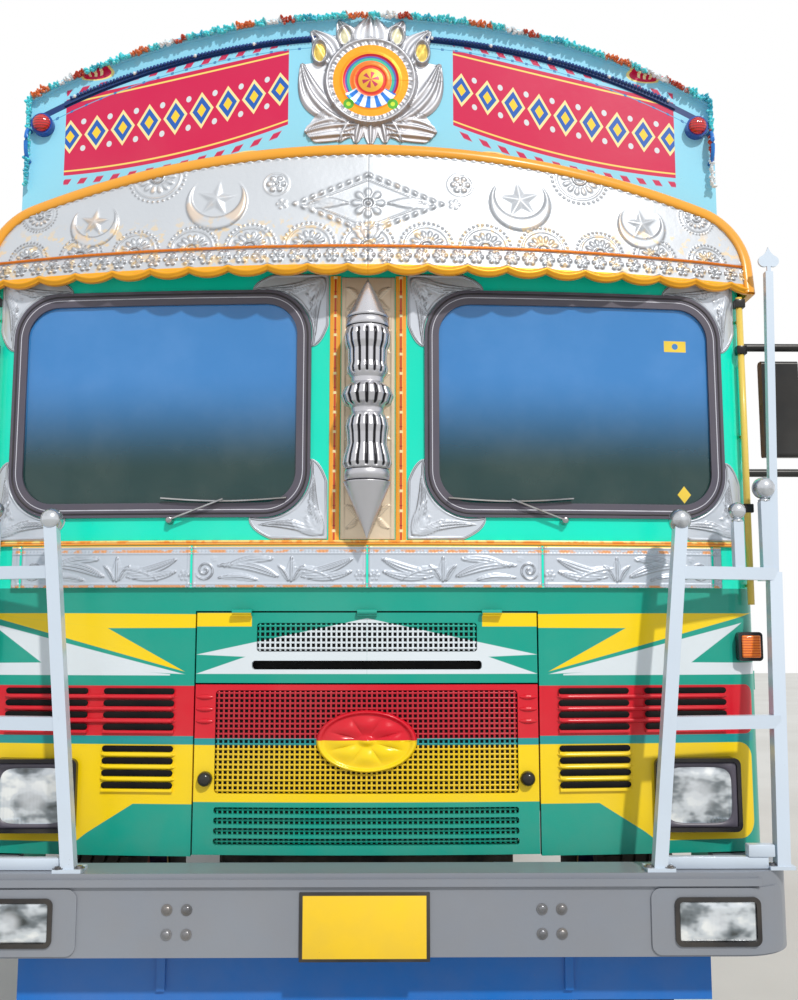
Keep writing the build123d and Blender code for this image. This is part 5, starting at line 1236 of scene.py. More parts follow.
def crimped_mesh(half_x, low, high, depth):
    """Wires both ways over a window of the nose; each is a flat section swept along its wave."""
    columns, rows = round(2 * half_x / WIRE_PITCH), round((high - low) / WIRE_PITCH)
    x = np.linspace(-half_x, half_x, 2 * columns + 1)
    z = np.linspace(low, high, 2 * rows + 1)
    section = flat_section(WIRE_WIDTH, 0.0024)[::2, ::-1]
    forms = [swept(on_nose(x, level, back=depth + crimp(len(x), number)), section, up=(0, 0, 1))
             for number, level in enumerate(z[1::2])]
    forms += [swept(on_nose(across, z, back=depth + crimp(len(z), number + 1)), section, up=(1, 0, 0))
              for number, across in enumerate(x[1::2])]
    return joined(forms)


def nose_patch(half_x, low, high, depth):
    """A plain sheet that follows the nose at a depth behind its face."""
    x = np.linspace(-half_x, half_x, 40)
    return grid_form(np.stack([on_nose(x, level, back=depth) for level in (low, high)]))


# Painted shade: near-black sheets behind the mesh and in the lid's slot, and black plates in the louvre
# slots, stand in for the dark inside the nose; the wiper blades' real rubber uses the same finish.
shade_sheet_and_blade_rubber = rubber("black gauze", (0.004, 0.004, 0.005), 0.02, gloss=0.12)
mesh_paint = paint("mesh paint", GREEN, chips=0.8, coats=[
    (band(1.236, 1.41), tone(190, 20, 44)), (band(1.216, 1.237), TEAL),
    (band(1.05, 1.217), tone(236, 196, 10))])
lid_mesh_paint = paint("lid mesh paint", GREEN, chips=0.8, coats=[(flash("lid peak"), WHITE)])
piece("grille_wires", crimped_mesh(0.456, 1.076, 1.379, 0.003), mesh_paint)
piece("grille_shade_sheet", nose_patch(0.458, 1.075, 1.38, 0.0075), shade_sheet_and_blade_rubber)
piece("lower_wires", crimped_mesh(0.456, 0.927, 1.034, 0.012), mesh_paint)
piece("lower_shade_sheet", nose_patch(0.456, 0.926, 1.035, 0.016), shade_sheet_and_blade_rubber)
piece("lid_wires", crimped_mesh(0.334, 1.498, 1.582, 0.003), lid_mesh_paint, body="bonnet_lid")
piece("lid_shade_sheet", nose_patch(0.335, 1.497, 1.582, 0.0075), shade_sheet_and_blade_rubber, body="bonnet_lid")
piece("lid_slot_shade_sheet", nose_patch(0.352, 1.440, 1.471, 0.034), shade_sheet_and_blade_rubber, body="bonnet_lid")

# %% [markdown]
# ## Louvres
# Each louvre is a slot with round ends under a rounded bright rib; its dark is painted shade, a black plate
# in the slot. The ribs run on over the grille's side strips. A slot's plate is a flat stadium shape: a strip
# whose ends are half circles.

# %% Slots and ribs
INNER_SLOT, OUTER_SLOT, RIB_HALF = (0.583, 0.801), (0.850, 1.110), 0.007
SLOT_ROWS = {level: (INNER_SLOT, OUTER_SLOT) for level in (1.274, 1.310, 1.345, 1.381)}
SLOT_ROWS |= {level: (INNER_SLOT,) for level in (1.102, 1.138, 1.174, 1.210)}


def stadium(low_x, high_x, level, radius, proud):
    """A flat slot with half-round ends on the nose, with its edge turned back."""
    bend = np.linspace(-TAU / 4, TAU / 4, 9)
    x = np.concatenate([high_x - radius + radius * np.cos(bend), low_x + radius - radius * np.cos(bend)])
    z = level + radius * np.concatenate([np.sin(bend), -np.sin(bend)])
    rings = [on_nose(x, level + (z - level) * share, out)
             for share, out in ((1.0, proud - 0.004), (1.0, proud), (0.85, proud + 0.0006))]
    rings.append(on_nose(np.clip(x, low_x + radius, high_x - radius), level, proud + 0.0006))
    return grid_form(np.stack(rings), close_v=True)


# Painted shade: each louvre slot is a black plate standing in for the shade in its opening.
slots = [stadium(low, high, level - 0.004, 0.0088, 0.0095)
         for level, spans in SLOT_ROWS.items() for low, high in spans]
piece("louvre_slot_shades", both_sides(joined(slots)), shade_sheet_and_blade_rubber)


def rib(low_x, high_x, proud, level):
    """A rounded rib on the nose that fades at both ends by the root of a short ramp."""
    x = np.linspace(low_x, high_x, 28)
    swell = np.clip(np.minimum(x - low_x, high_x - x) / 0.02, 0, 1) ** 0.5
    rows = [on_nose(x, level + RIB_HALF * np.sin(a) * swell, back=-(0.001 + proud * np.cos(a)) * swell)
            for a in np.linspace(-TAU / 4, TAU / 4, 7)]
    return grid_form(np.stack(rows))


rib_paint = paint("rib paint", YELLOW, rough=0.2, coats=[(band(1.236, 1.41), RED), (band(1.0, 1.03), GREEN)])
red_rows, yellow_rows = (1.2875, 1.3235, 1.3595), (1.115, 1.151, 1.187)
ribs = [rib(*shape, level) for shape, levels in (((0.575, 1.118, 0.010), red_rows),
                                                 ((0.462, 0.518, 0.006), red_rows),
                                                 ((0.575, 0.809, 0.010), yellow_rows)) for level in levels]
piece("louvre_ribs", both_sides(joined(ribs)), rib_paint)

# %% [markdown]
# ## Flower badge, knobs, bolts and plate
# A plain oval flower in a ring sits on the grille, red above and yellow below like the grille. Two black
# knobs hold the grille's corners, bolts hold the bumper, and a yellow plate with a dark rim is fixed to it.

# %% Badge, knobs, bolts and plate
badge_angle, badge_share = np.meshgrid(np.linspace(0, TAU, 161), np.linspace(0, 1, 44), indexing="ij")
oval_x, oval_z = 0.152, 0.092
badge_x, badge_z = badge_share * oval_x * np.cos(badge_angle), badge_share * oval_z * np.sin(badge_angle)
lobes = np.abs(np.cos(badge_angle * 4)) ** 0.6
badge_height = (0.010 * dome(badge_share - 0.94, 0.09) + 0.009 * lobes * dome(badge_share - 0.52, 0.34)
                + 0.012 * dome(badge_share, 0.2) + 0.003)
badge_height = badge_height * np.clip((1 - badge_share) / 0.03, 0, 1)
badge_points = on_nose(badge_x, 1.229 + badge_z, 0.001)
piece("flower_badge", relief_form(badge_points, badge_height, wall=0.003)[0],
      paint("badge paint", YELLOW, rough=0.2, coats=[(lambda finish: finish.z.above(1.232), RED)]))
knob = turned([(0.0, 0.030), (0.008, 0.0295), (0.015, 0.027), (0.020, 0.021), (0.022, 0.013), (0.0225, 0.0),
               (0.0, 0.0)][::-1], 28)
knob_turn = turn_about("X", TAU / 4)
knob_paint = paint("knob black", tone(18, 18, 20), rough=0.2)
knob = moved(knob, (0.485, float(nose_y(0.485)), 1.118), knob_turn)
piece("grille_knobs", both_sides(knob), knob_paint)
bolt = turned([(0.0, 0.0), (0.016, 0.0), (0.016, 0.0015), (0.010, 0.0022), (0.010, 0.0050), (0.0085, 0.0062),
               (0.0, 0.0066)], 12)
bolts = [moved(bolt, (x, FRONT + 0.0115, z), knob_turn) for x in (0.495, 0.550) for z in (0.723, 0.789)]
bolt_metal = bare_metal("bolt metal", tone(150, 152, 158), 0.35)
piece("bumper_bolts", both_sides(joined(bolts)), bolt_metal, crease=40)
plate_finish = paint("plate paint", tone(250, 206, 40), rough=0.35, coats=[(
    lambda finish: 1 - finish.across.below(0.172, 0.001) * finish.z.between(0.659, 0.827), tone(40, 40, 42))])
plate = [eased_block((-0.182, FRONT + 0.0055, 0.650), (0.182, FRONT + 0.0118, 0.836), 0.0018)]
piece("number_plate", joined(plate), plate_finish, crease=40)

# %% [markdown]
# ## The board over the cab
# The sky-blue board carries a red ribbon on each side of a silver lotus. Each ribbon holds a row of plain
# lozenges and dots. Measured in height between the ribbon's two edges, every line of its pattern follows
# the ribbon's curve.

# %% The board's paint
BOARD_Y, BOARD_HALF = FRONT + 0.480, 1.203
BOARD_ARC, BOARD_CROWN, LOTUS_Z = 2.434, 3.750, 3.490


def board_top(x):
    """Height of the board's arched top."""
    return BOARD_CROWN - BOARD_ARC + np.sqrt(BOARD_ARC ** 2 - np.asarray(x) ** 2)


board = Finish("board paint", Coat_Weight=0.1, Coat_Roughness=0.15, Specular_IOR_Level=0.3)
a = board.across
top, past = a * -0.25 + 3.69, a - 0.30
bottom = past * past * 0.20 - past * 0.40 + 3.33
share = (board.z - bottom) / (top - bottom)
span = a.between(0.292, 1.075)
ribbon = share.between(0.0, 1.0, 0.004) * span
cell = abs(a.cycle(0.092) - 0.5) * 2
mid = abs(share - 0.5)
lozenge = cell + mid * 4.2
dots = ((cell - 1.0) * 0.046).span((mid - 0.17) * 0.25)
slant = (a + board.z * 0.6).cycle(0.052).between(0.22, 0.66, 0.02)
beyond = share.between(1.05, 1.12, 0.01).most(share.between(-0.12, -0.05, 0.01)) * span
PINK, CREAM = tone(212, 24, 82), tone(250, 226, 120)
coats = [(ribbon, PINK), (ribbon * share.between(0.045, 0.065, 0.004), CREAM),
         (ribbon * share.between(0.935, 0.955, 0.004), CREAM),
         (ribbon * lozenge.below(0.92, 0.02), tone(250, 236, 170)),
         (ribbon * lozenge.below(0.70, 0.02), tone(30, 96, 190)),
         (ribbon * lozenge.below(0.34, 0.02), tone(255, 214, 60)), (ribbon * dots.below(0.009), WHITE),
         (beyond * slant, tone(206, 40, 90))]
for spot_x, spot_z in ((0.985, 3.525), (0.415, 3.205)):
    oval = (a - spot_x).span((board.z - spot_z) * 2.4)
    coats += [(oval.below(0.075), tone(250, 232, 150)), (oval.below(0.064), PINK),
              (oval.below(0.040) * a.cycle(0.02).above(0.5, 0.05), tone(250, 240, 190))]
arc_gap = (board.z - (BOARD_CROWN - BOARD_ARC)).span(a)
lace = abs(arc_gap - (BOARD_ARC - 0.118))
coats += [(lace.below(0.004) * a.cycle(0.05).below(0.2, 0.05), tone(20, 70, 160)),
          (lace.below(0.0014), tone(90, 170, 214)),
          (arc_gap.between(BOARD_ARC - 0.098, BOARD_ARC - 0.076), tone(24, 60, 120))]
aged(board, board.layers(tone(150, 222, 248), *coats), dust=0.1, rough=0.28)
board.bump(board.noise(60, detail=2), 0.0006, 0.3)
dress("header_board", board)
print("board top at its ends", board_top(1.2).round(3))

# %% [markdown]
# ## Tufted tape, beads and handles
# A tape of bright tufts is nailed round the board's edge. One tuft is a small spindle of a few faces; its
# copies stand at even steps along the edge, turned and sized by a fixed sequence, and the colour changes in
# patches along the edge.

# %% Tufts, beads and handles
def evenly(line, steps, closed=False):
    """Points at even distances along a line of (x, z) points."""
    length = np.concatenate([[0], np.cumsum(np.hypot(*np.diff(line, axis=0).T))])
    even = np.linspace(0, length[-1], steps, endpoint=not closed)
    return np.stack([np.interp(even, length, line[:, 0]), np.interp(even, length, line[:, 1])], axis=1)


def edge_path(drop, steps, low=3.10):
    """Points (x, z) round the board's edge, a drop inside it, at even distances."""
    x = np.linspace(-BOARD_HALF, BOARD_HALF, 400)
    side = np.linspace(low, board_top(BOARD_HALF) - drop, 60)[:-1]
    side_x = BOARD_HALF - drop * 0.3 + 0 * side
    parts = [(-side_x, side), (x, board_top(x) - drop), (side_x, side[::-1])]
    return evenly(np.concatenate([np.stack(part, axis=1) for part in parts]), steps)


def copies(form, places, turns, sizes):
    """A small form at many places: each copy is turned about X and Y, sized and shifted, all at once."""
    points, faces = form
    ca, sa = np.cos(turns[:, 0]), np.sin(turns[:, 0])
    cb, sb = np.cos(turns[:, 1]), np.sin(turns[:, 1])
    zero, one = 0 * ca, 0 * ca + 1
    about_x = np.array([[one, zero, zero], [zero, ca, -sa], [zero, sa, ca]]).transpose(2, 0, 1)
    about_y = np.array([[cb, zero, sb], [zero, one, zero], [-sb, zero, cb]]).transpose(2, 0, 1)
    turned_points = np.einsum("nij,njk,pk->npi", about_y, about_x, points)
    placed = turned_points * sizes[:, None, None] + places[:, None]
    count = np.arange(len(places))[:, None, None] * len(points)
    return placed.reshape(-1, 3), (faces[None] + count).reshape(-1, 4)


rng = np.random.default_rng(7)
tuft = turned([(0.0, 0.0), (0.0050, 0.004), (0.0062, 0.011), (0.0030, 0.019), (0.0, 0.022)], 5)
edge = edge_path(0.017, 900)
count = len(edge)
places = np.stack([edge[:, 0], BOARD_Y - 0.010 - 0.006 * rng.random(count), edge[:, 1]], axis=1)
places += (rng.random((count, 3)) - 0.5) * (0.008, 0.006, 0.014)
turns = np.stack([TAU * 0.18 + rng.random(count) * 1.0, (rng.random(count) - 0.5) * 2.4], axis=1)
tuft_form = copies(tuft, places, turns, 0.8 + 0.5 * rng.random(count))
tape_paint = Finish("tuft cloth", rough=0.8)
patch = (tape_paint.x + tape_paint.z * 0.5).cycle(0.42)
tape_paint.set(Base_Color=tape_paint.layers(
    tone(90, 226, 236), (patch.between(0.24, 0.42, 0.01), tone(226, 118, 62)),
    (patch.between(0.52, 0.66, 0.01), tone(240, 246, 250)),
    (patch.between(0.66, 0.78, 0.01), tone(196, 74, 48)),
    (patch.between(0.86, 0.95, 0.01), tone(70, 190, 214)),
    (tape_paint.noise(120).above(0.6, 0.04) * 0.6, WHITE)))
tape_paint.bump(tape_paint.noise(260), 0.001, 0.8)
piece("edge_tufts", tuft_form, tape_paint)
pearl = turned([(0.0, -0.0062), (0.0044, -0.0044), (0.0062, 0.0), (0.0044, 0.0044), (0.0, 0.0062)], 8)
line = edge_path(0.086, 230, low=3.2)
line = line[np.abs(line[:, 0]) < 1.06]
line = line[np.hypot(line[:, 0], line[:, 1] - LOTUS_Z) > 0.265]
places = np.stack([line[:, 0], 0 * line[:, 0] + BOARD_Y - 0.012, line[:, 1]], axis=1)
pearls = copies(pearl, places, np.zeros((len(line), 2)), np.ones(len(line)))
rope_paint = paint("rope paint", tone(30, 70, 140), rough=0.3, coats=[
    (lambda finish: finish.x.cycle(0.21).below(0.06, 0.01), tone(236, 240, 244))])
piece("edge_pearls", pearls, rope_paint)
bend = np.linspace(0, TAU / 2, 13)
handle = np.stack([0 * bend + 1.196, BOARD_Y + 0.002 - 0.048 * np.sin(bend) ** 0.5,
                   3.245 - 0.055 * np.cos(bend)], axis=1)
handle_paint = paint("handle blue", tone(34, 120, 210), rough=0.2)
piece("board_handles", both_sides(rod(handle, 0.007, 10)), handle_paint)

# %% [markdown]
# ## The lotus
# The middle of the board is a cast lotus: leaves spread at its foot, curl up at its sides and meet in a
# crown. Each leaf is a height over the drawing; the outline is where the leaves end, found by looking
# outwards from the middle in each direction. Coloured rings, a gold boss, a blue fringe and green leaves
# fill its centre.

# %% Leaves, outline and rings
LOTUS_DISC, LOTUS_OVALS = 0.166, ((0.092, 0.172, 0.030, 0.044), (0.182, 0.112, 0.030, 0.050))
LOTUS_LEAVES = (
    ((0.000, 0.100), 1.571, 0.160, 0.078, 0.000, 3), ((0.070, 0.110), 1.20, 0.135, 0.040, 0.010, 2),
    ((0.125, 0.060), 0.98, 0.165, 0.052, 0.016, 3), ((0.095, -0.150), 0.98, 0.275, 0.050, -0.040, 3),
    ((0.070, -0.160), 0.80, 0.240, 0.034, -0.030, 2), ((0.045, -0.160), -0.20, 0.235, 0.040, 0.014, 3),
    ((0.060, -0.195), -0.12, 0.220, 0.024, 0.006, 2), ((0.000, -0.140), -1.571, 0.100, 0.026, 0.000, 2),
    ((0.036, -0.140), -1.40, 0.096, 0.024, 0.004, 2), ((0.070, -0.140), -1.15, 0.098, 0.022, 0.006, 2))


def lotus_height(x, z):
    """Leaves, two ovals, a ring of beads and the coloured disc, as one height."""
    a, r = np.abs(x), np.hypot(x, z)
    raised = [np.zeros_like(x)] + [0.013 * leaf_at(a, z, *shape) for shape in LOTUS_LEAVES]
    for spot_x, spot_z, wide, high in LOTUS_OVALS:
        oval = np.hypot((a - spot_x) / wide, (z - spot_z) / high)
        raised.append(0.017 * dome(oval - 0.86, 0.22) + 0.010 * dome(oval, 0.8))
    height = np.maximum.reduce(raised)
    disc = np.clip((LOTUS_DISC - r) / 0.006, 0, 1) ** 0.5
    rings = 0.0165 + 0.006 * dome(r - 0.156, 0.010) + 0.003 * dome(r - 0.101, 0.008) + 0.007 * dome(r, 0.060)
    beaded = 0.0015 * np.sin(np.arctan2(z, x) * 60) * dome(r - 0.141, 0.007)
    rings = rings + 0.002 * dome(r - 0.060, 0.008) + beaded
    return np.where(disc > 0, np.maximum(height * (1 - disc), disc * rings), height)


angles = np.linspace(0, TAU, 480, endpoint=False)[:, None]
reach = np.linspace(0.15, 0.30, 200)[None, :]
held = lotus_height(reach * np.cos(angles), reach * np.sin(angles)) > 0.0015
outline = np.where(held, reach, LOTUS_DISC).max(axis=1)
outline = np.convolve(np.concatenate([outline[-3:], outline, outline[:3]]), np.ones(7) / 7, "valid")
outline = np.append(outline, outline[0])[:, None]
angles = np.append(angles, [[TAU]], axis=0)
radius = outline * np.linspace(0.0, 1.0, 70)[None, :] ** 0.9
lotus_x, lotus_z = radius * np.cos(angles), radius * np.sin(angles)
lotus_points = np.stack([lotus_x, 0 * lotus_x + BOARD_Y - 0.0015, lotus_z + LOTUS_Z], axis=-1)
lotus_paint = pressed_metal("lotus silver", tone(232, 234, 242), warm=0.0, rough=0.4)
dz, dx = lotus_paint.z - LOTUS_Z, lotus_paint.x
r, turn = dx.span(dz), dz.math("ARCTAN2", dx)
low = (dz / r.most(0.001)).below(-0.5, 0.02)
threads = (turn * 16.0).sine().above(-0.1, 0.15)
green = (abs(dx) - 0.078).span(dz + 0.088)
crown, oval = [((abs(dx) - spot_x) * (1 / wide)).span((dz - spot_z) * (1 / high))
               for spot_x, spot_z, wide, high in LOTUS_OVALS]
lotus_paint.coat(
    (oval.below(0.66, 0.05), tone(248, 216, 110)), (crown.below(0.6, 0.05), tone(250, 244, 206)),
    (r.between(0.134, 0.148) * (turn * 30.0).sine().below(0.1, 0.2) * 0.6, tone(90, 90, 96)),
    (r.below(0.134), tone(252, 158, 24)), (r.below(0.099), tone(196, 22, 60)),
    (r.below(0.091), tone(74, 96, 170)), (r.below(0.084), tone(60, 176, 150)),
    (r.below(0.074), tone(240, 120, 44)), (r.below(0.056), tone(208, 54, 40)),
    (r.between(0.060, 0.104) * low, tone(40, 120, 214)),
    (r.between(0.060, 0.104) * low * threads, tone(228, 238, 250)), (r.below(0.044), tone(232, 178, 60)),
    (r.below(0.030) * (turn * 6.0).sine().above(0.0, 0.2), tone(190, 60, 90)),
    (green.below(0.019), tone(86, 168, 52)), (green.below(0.008), tone(190, 214, 60)))
lotus = relief_piece("lotus", [relief_form(lotus_points, lotus_height(lotus_x, lotus_z), wall=0.0)],
                     lotus_paint)
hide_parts("rosette")

# %% [markdown]
# ## Lamps
# A headlamp is a bowl of bright metal behind fluted glass in a black rim. The truck's own solid is the rim;
# the glass is a slightly bulged sheet in its recess, and its finish paints the bowl's reflections in light,
# grey and dark blotches, lighter round the bulb.

# %% Lamp bodies and glasses
lamp_body = paint("lamp bezel", tone(26, 26, 32), rough=0.22, coats=[
    (lambda finish: finish.z.above(3.0), tone(24, 74, 168)),
    (lambda finish: finish.y.above(3.0, 0.1), tone(60, 60, 62))])
dress("lamps", lamp_body)


def lamp_glass(x, z, s, bulge=0.0045):
    """A sheet in a lamp's recess: it bulges by the product of two domes and meets the rim at its edges."""
    u, v = np.meshgrid(np.linspace(-1, 1, 60), np.linspace(-1, 1, 40))
    height = bulge * (1 - u ** 4) * (1 - v ** 4)
    points = np.stack([(x[0] + x[1]) / 2000 + u * (x[1] - x[0]) / 2000, 0 * u + FRONT + s / 1000,
                       (z[0] + z[1]) / 2000 + v * (z[1] - z[0]) / 2000], axis=-1)
    return relief_form(points, height, wall=0.002)[0]


def lamp_finish(name, centre_x, centre_z, radius, flute=90.0):
    """The bowl behind the glass as painted reflections: light, grey and dark blotches and a lighter middle
    round the bulb, cut by upright flutes.
    """
    finish = Finish(name, metal=0.55, rough=0.12, Coat_Weight=0.8, Coat_Roughness=0.04)
    dx, dz = finish.across - centre_x, finish.z - centre_z
    r = dx.span(dz)
    # Painted reflection: the blotches and the lighter middle stand in for what the bright bowl reflects.
    painted_reflection_blotch = finish.noise(8, detail=3, stretch=(1, 1, 1.7))
    shade = finish.layers(tone(214, 220, 226), (painted_reflection_blotch.above(0.52, 0.06), tone(120, 128, 134)),
                          (painted_reflection_blotch.above(0.62, 0.05), tone(60, 66, 66)),
                          (painted_reflection_blotch.below(0.42, 0.04), tone(250, 252, 252)),
                          (r.below(radius * 0.45, radius * 0.25) * 0.7, tone(228, 232, 238)))
    finish.set(Base_Color=shade)
    return finish.bump((finish.x * (TAU * flute)).sine() * 0.5 + 0.5, 0.0006, 0.25)


head_glass = lamp_finish("headlamp glass", 1.004, 1.066, 0.092)
fog_glass = lamp_finish("fog lamp glass", 0.985, 0.756, 0.062)
piece("headlamp_glasses", both_sides(lamp_glass((888, 1121), (971, 1162), 218.5)), head_glass)
bezel_turn = np.linspace(0, TAU, 96, endpoint=False)
rings = []
for power, grow, s in ((40, 1.0, 217.0), (12, 0.965, 213.0), (7, 0.93, 212.0), (5, 0.87, 214.5),
                       (5, 0.85, 217.8)):
    reach = (np.abs(np.cos(bezel_turn)) ** power + np.abs(np.sin(bezel_turn)) ** power) ** (-1 / power) * grow
    rings.append(np.stack([1.0045 + 0.1165 * reach * np.cos(bezel_turn), 0 * reach + FRONT + s / 1000,
                           1.0665 + 0.0955 * reach * np.sin(bezel_turn)], axis=1))
piece("headlamp_bezels", both_sides(grid_form(np.stack(rings), close_v=True)), seal)
piece("fog_glasses", both_sides(lamp_glass((878, 1092), (703, 809), 6.5)), fog_glass)


def ribbed_lens(name, light, dark, pitch):
    """A moulded lens: light and dark lines at a pitch under a clear coat."""
    finish = Finish(name, light, rough=0.12, Coat_Weight=0.7, Coat_Roughness=0.05)
    return finish.set(Base_Color=finish.mix(light, dark, finish.z.cycle(pitch).below(0.3, 0.1)))


amber = ribbed_lens("amber lens", tone(248, 128, 24), tone(206, 74, 8), 0.008)
amber.bump((amber.z * 785.0).sine() * 0.5 + 0.5, 0.0008, 0.5)
red_lens = ribbed_lens("red lens", tone(208, 16, 20), tone(120, 4, 8), 0.009)
red_lens.bump((red_lens.x * 700.0).sine() * 0.5 + 0.5, 0.0008, 0.5)
piece("indicator_lenses", both_sides(block((1159, 227, 1476), (1217, 238, 1545), 0.006, 4)),
      amber)
cap = turned([(0.0, 0.0), (0.031, 0.0), (0.031, 0.004), (0.028, 0.012), (0.019, 0.018), (0.008, 0.0205),
              (0.0, 0.021)], 32)
markers = moved(cap, place(1150, 452, 3320), knob_turn)
piece("roof_markers", both_sides(markers), red_lens)
tail = [block((1008, 7396, 668), (1072, 7403, 742), 0.003)]
turn_lens = [block((1078, 7396, 668), (1142, 7403, 742), 0.003)]
piece("tail_lenses", both_sides(joined(tail)), red_lens)
piece("rear_indicators", both_sides(joined(turn_lens)), amber)

# %% [markdown]
# ## Wipers, window lips, mirrors and handles
# A pale rod along the inner edge of each windscreen's rubber, against the glass, is a painted highlight of
# the rubber's lip. Wipers rest along the foot of the glass, each a thin arm from a pivot to a blade with a
# rubber edge. The mirror heads get their glass, and the doors their handles.

# %% Window lips and wipers
def rounded_loop(low_x, high_x, low_z, high_z, radius):
    """Points (x, z) once round a rectangle with round corners, dense enough to follow the bowed front."""
    quarter = np.linspace(0, TAU / 4, 12)
    parts = []
    for number, (cx, cz) in enumerate(((high_x - radius, high_z - radius), (low_x + radius, high_z - radius),
                                       (low_x + radius, low_z + radius), (high_x - radius, low_z + radius))):
        a = quarter + number * TAU / 4
        parts.append(np.stack([cx + radius * np.cos(a), cz + radius * np.sin(a)], axis=1))
    return evenly(np.concatenate(parts + [parts[0][:1]]), 220, closed=True)


def rounded_ring(loop, radius, proud):
    """A thin closed rod along a loop on the cab's front."""
    path = on_nose(loop[:, 0], loop[:, 1], proud)
    return swept(path, round_section(radius, 8), closed=True, up=(0, 1, 0))


lip = rounded_ring(rounded_loop(0.2015, 1.1115, 1.9305, 2.6075, 0.122), 0.0035, 0.007)
groove = rounded_ring(rounded_loop(0.190, 1.123, 1.919, 2.619, 0.133), 0.0030, 0.0095)
# Painted highlight: a pale rod along the rubber's inner edge stands in for the light caught by its lip.
lip_painted_highlight = paint("lip painted highlight", tone(206, 206, 216), rough=0.3)
groove_paint = rubber("dark groove", tone(34, 32, 40), 0.05, 0.5)
piece("window_lip_highlights", both_sides(lip), lip_painted_highlight)
piece("window_grooves", both_sides(groove), groove_paint)
steel = bare_metal("wiper steel", tone(190, 192, 196), 0.3)
blade_x = np.linspace(0.250, 0.640, 14)
blade = on_nose(blade_x, 1.966 - 0.010 * np.sin(np.pi * (blade_x - 0.25) / 0.39), 0.018)
arm_x = np.linspace(0.445, 0.612, 8)
arm = on_nose(arm_x, np.interp(arm_x, [0.445, 0.612], [1.962, 1.898]), 0.026)
pivot = moved(turned([(0.0, 0.0), (0.013, 0.0), (0.013, 0.012), (0.009, 0.026), (0.0, 0.030)], 20),
              (0.612, float(nose_y(0.612)), 1.898), knob_turn)
arms = joined([swept(arm, flat_section(0.005, 0.009), up=(0, 1, 0)), pivot,
               swept(blade - (0, 0.004, 0), flat_section(0.005, 0.006), up=(0, 1, 0))])
piece("wiper_arms", both_sides(arms), steel, crease=40)
rubber_edge = swept(blade + (0, 0.004, 0), flat_section(0.012, 0.004), up=(0, 0, 1))
piece("wiper_blades", both_sides(rubber_edge), shade_sheet_and_blade_rubber, crease=40)

# %% Mirror glass, door handles, grab rails
mirror_glass = Finish("mirror glass", tone(208, 214, 220), rough=0.03, metal=1.0)
haze = mirror_glass.noise(8, detail=4).above(0.6, 0.1)
mirror_glass.set(Base_Color=mirror_glass.mix(tone(214, 220, 226), tone(170, 176, 180), haze * 0.4),
                 Roughness=haze * 0.15 + 0.03)
piece("mirror_glasses", both_sides(block((1297, 358, 2128), (1403, 363, 2432), 0.003, 3)),
      mirror_glass)
chrome = Finish("handle chrome", tone(214, 216, 220), rough=0.16, metal=0.95)
scratch = chrome.noise(30, detail=5, stretch=(1, 0.2, 1))
chrome.set(Roughness=scratch * 0.2 + 0.08,
           Base_Color=chrome.mix(tone(216, 218, 222), tone(140, 140, 140), scratch.above(0.62, 0.05) * 0.4))
pull_s = np.linspace(0, 1, 15)
pull = np.stack([1.238 + 0.026 * np.sin(np.pi * pull_s) ** 0.4, FRONT + 1.035 + 0.15 * pull_s,
                 1.475 + 0 * pull_s], axis=1)
handle_form = joined([swept(pull, flat_section(0.010, 0.022), up=(0, 0, 1)),
                      block((1235.5, 1020, 1450), (1240, 1200, 1500), 0.004, 3),
                      moved(turned([(0.0, 0.0), (0.012, 0.0), (0.012, 0.004), (0.0, 0.005)], 16),
                            place(1240, 1110, 1400), turn_about("Y", TAU / 4))])
piece("door_handle_left", handle_form, chrome, body="door_left", crease=40)
piece("door_handle_right", mirrored(handle_form), chrome, body="door_right", crease=40)
climb = np.linspace(0, 1, 21)
rail = np.stack([1.237 + 0.045 * np.sin(np.pi * climb) ** 0.25, FRONT + 1.288 + 0 * climb,
                 1.56 + 0.72 * climb], axis=1)
piece("grab_rails", both_sides(rod(rail, 0.011, 12)), chrome)
hinge = [block((1235, 404, z - 45), (1241, 500, z + 45), 0.002) for z in (1400, 2350)]
hinge_form = joined(hinge + [moved(turned([(0.0, 0.0), (0.007, 0.0), (0.007, 0.003), (0.0, 0.004)], 8),
                                   place(1241, s, z), turn_about("Y", TAU / 4))
                             for z in (1375, 1425, 2325, 2375) for s in (440, 480)])
hinge_paint = paint("hinge paint", tone(250, 196, 40), rough=0.3)
piece("door_hinges_left", hinge_form, hinge_paint, body="door_left", crease=40)
piece("door_hinges_right", mirrored(hinge_form), hinge_paint, body="door_right", crease=40)

# %% [markdown]
# ## Guards' balls and feet
# The balls on the guards are bright hollow spheres on short sockets; the rest of the guard is silver paint.
# The truck's own solid already has the balls, so only a thin bright shell goes over each, with a ring at its
# foot.

# %% Ball shells and sockets
ball_metal = Finish("ball metal", metal=0.85)
smear = ball_metal.noise(22, detail=4)
ball_metal.set(Base_Color=ball_metal.mix(tone(206, 210, 216), tone(120, 122, 128),
                                         smear.above(0.55, 0.15) * 0.6),
               Roughness=smear * 0.25 + 0.1)
BALLS = ((942, 100, 1890, 33), (1133, 155, 1924, 26), (1228, 182, 1998, 34))
lat = np.linspace(-TAU / 4, TAU / 4, 20)
shells = []
for x, s, z, radius in BALLS:
    over = (radius + 0.6) / 1000
    shell = turned(np.stack([over * np.cos(lat), over * np.sin(lat)], axis=1), 32)
    shells.append(moved(shell, place(x, s, z)))
    foot = (radius + 5) / 1000
    ring_profile = [(0.0125, -foot - 0.004), (0.017, -foot - 0.003), (0.018, -foot + 0.002),
                    (0.0125, -foot + 0.005)]
    shells.append(moved(turned(ring_profile, 24), place(x, s, z)))
piece("guard_balls", both_sides(joined(shells)), ball_metal)
foot_bolts = [moved(bolt, place(x, s, 896.5)) for x, s in ((805, 40), (862, 30), (1162, 60), (1210, 95))]
piece("guard_foot_bolts", both_sides(joined(foot_bolts)), bolt_metal, crease=40)

# %% [markdown]
# ## Inside the cab
# Round instruments sit in the dash beside the column. A dial is a flat disc in a turned bezel; its ticks
# come from the angle round its middle.

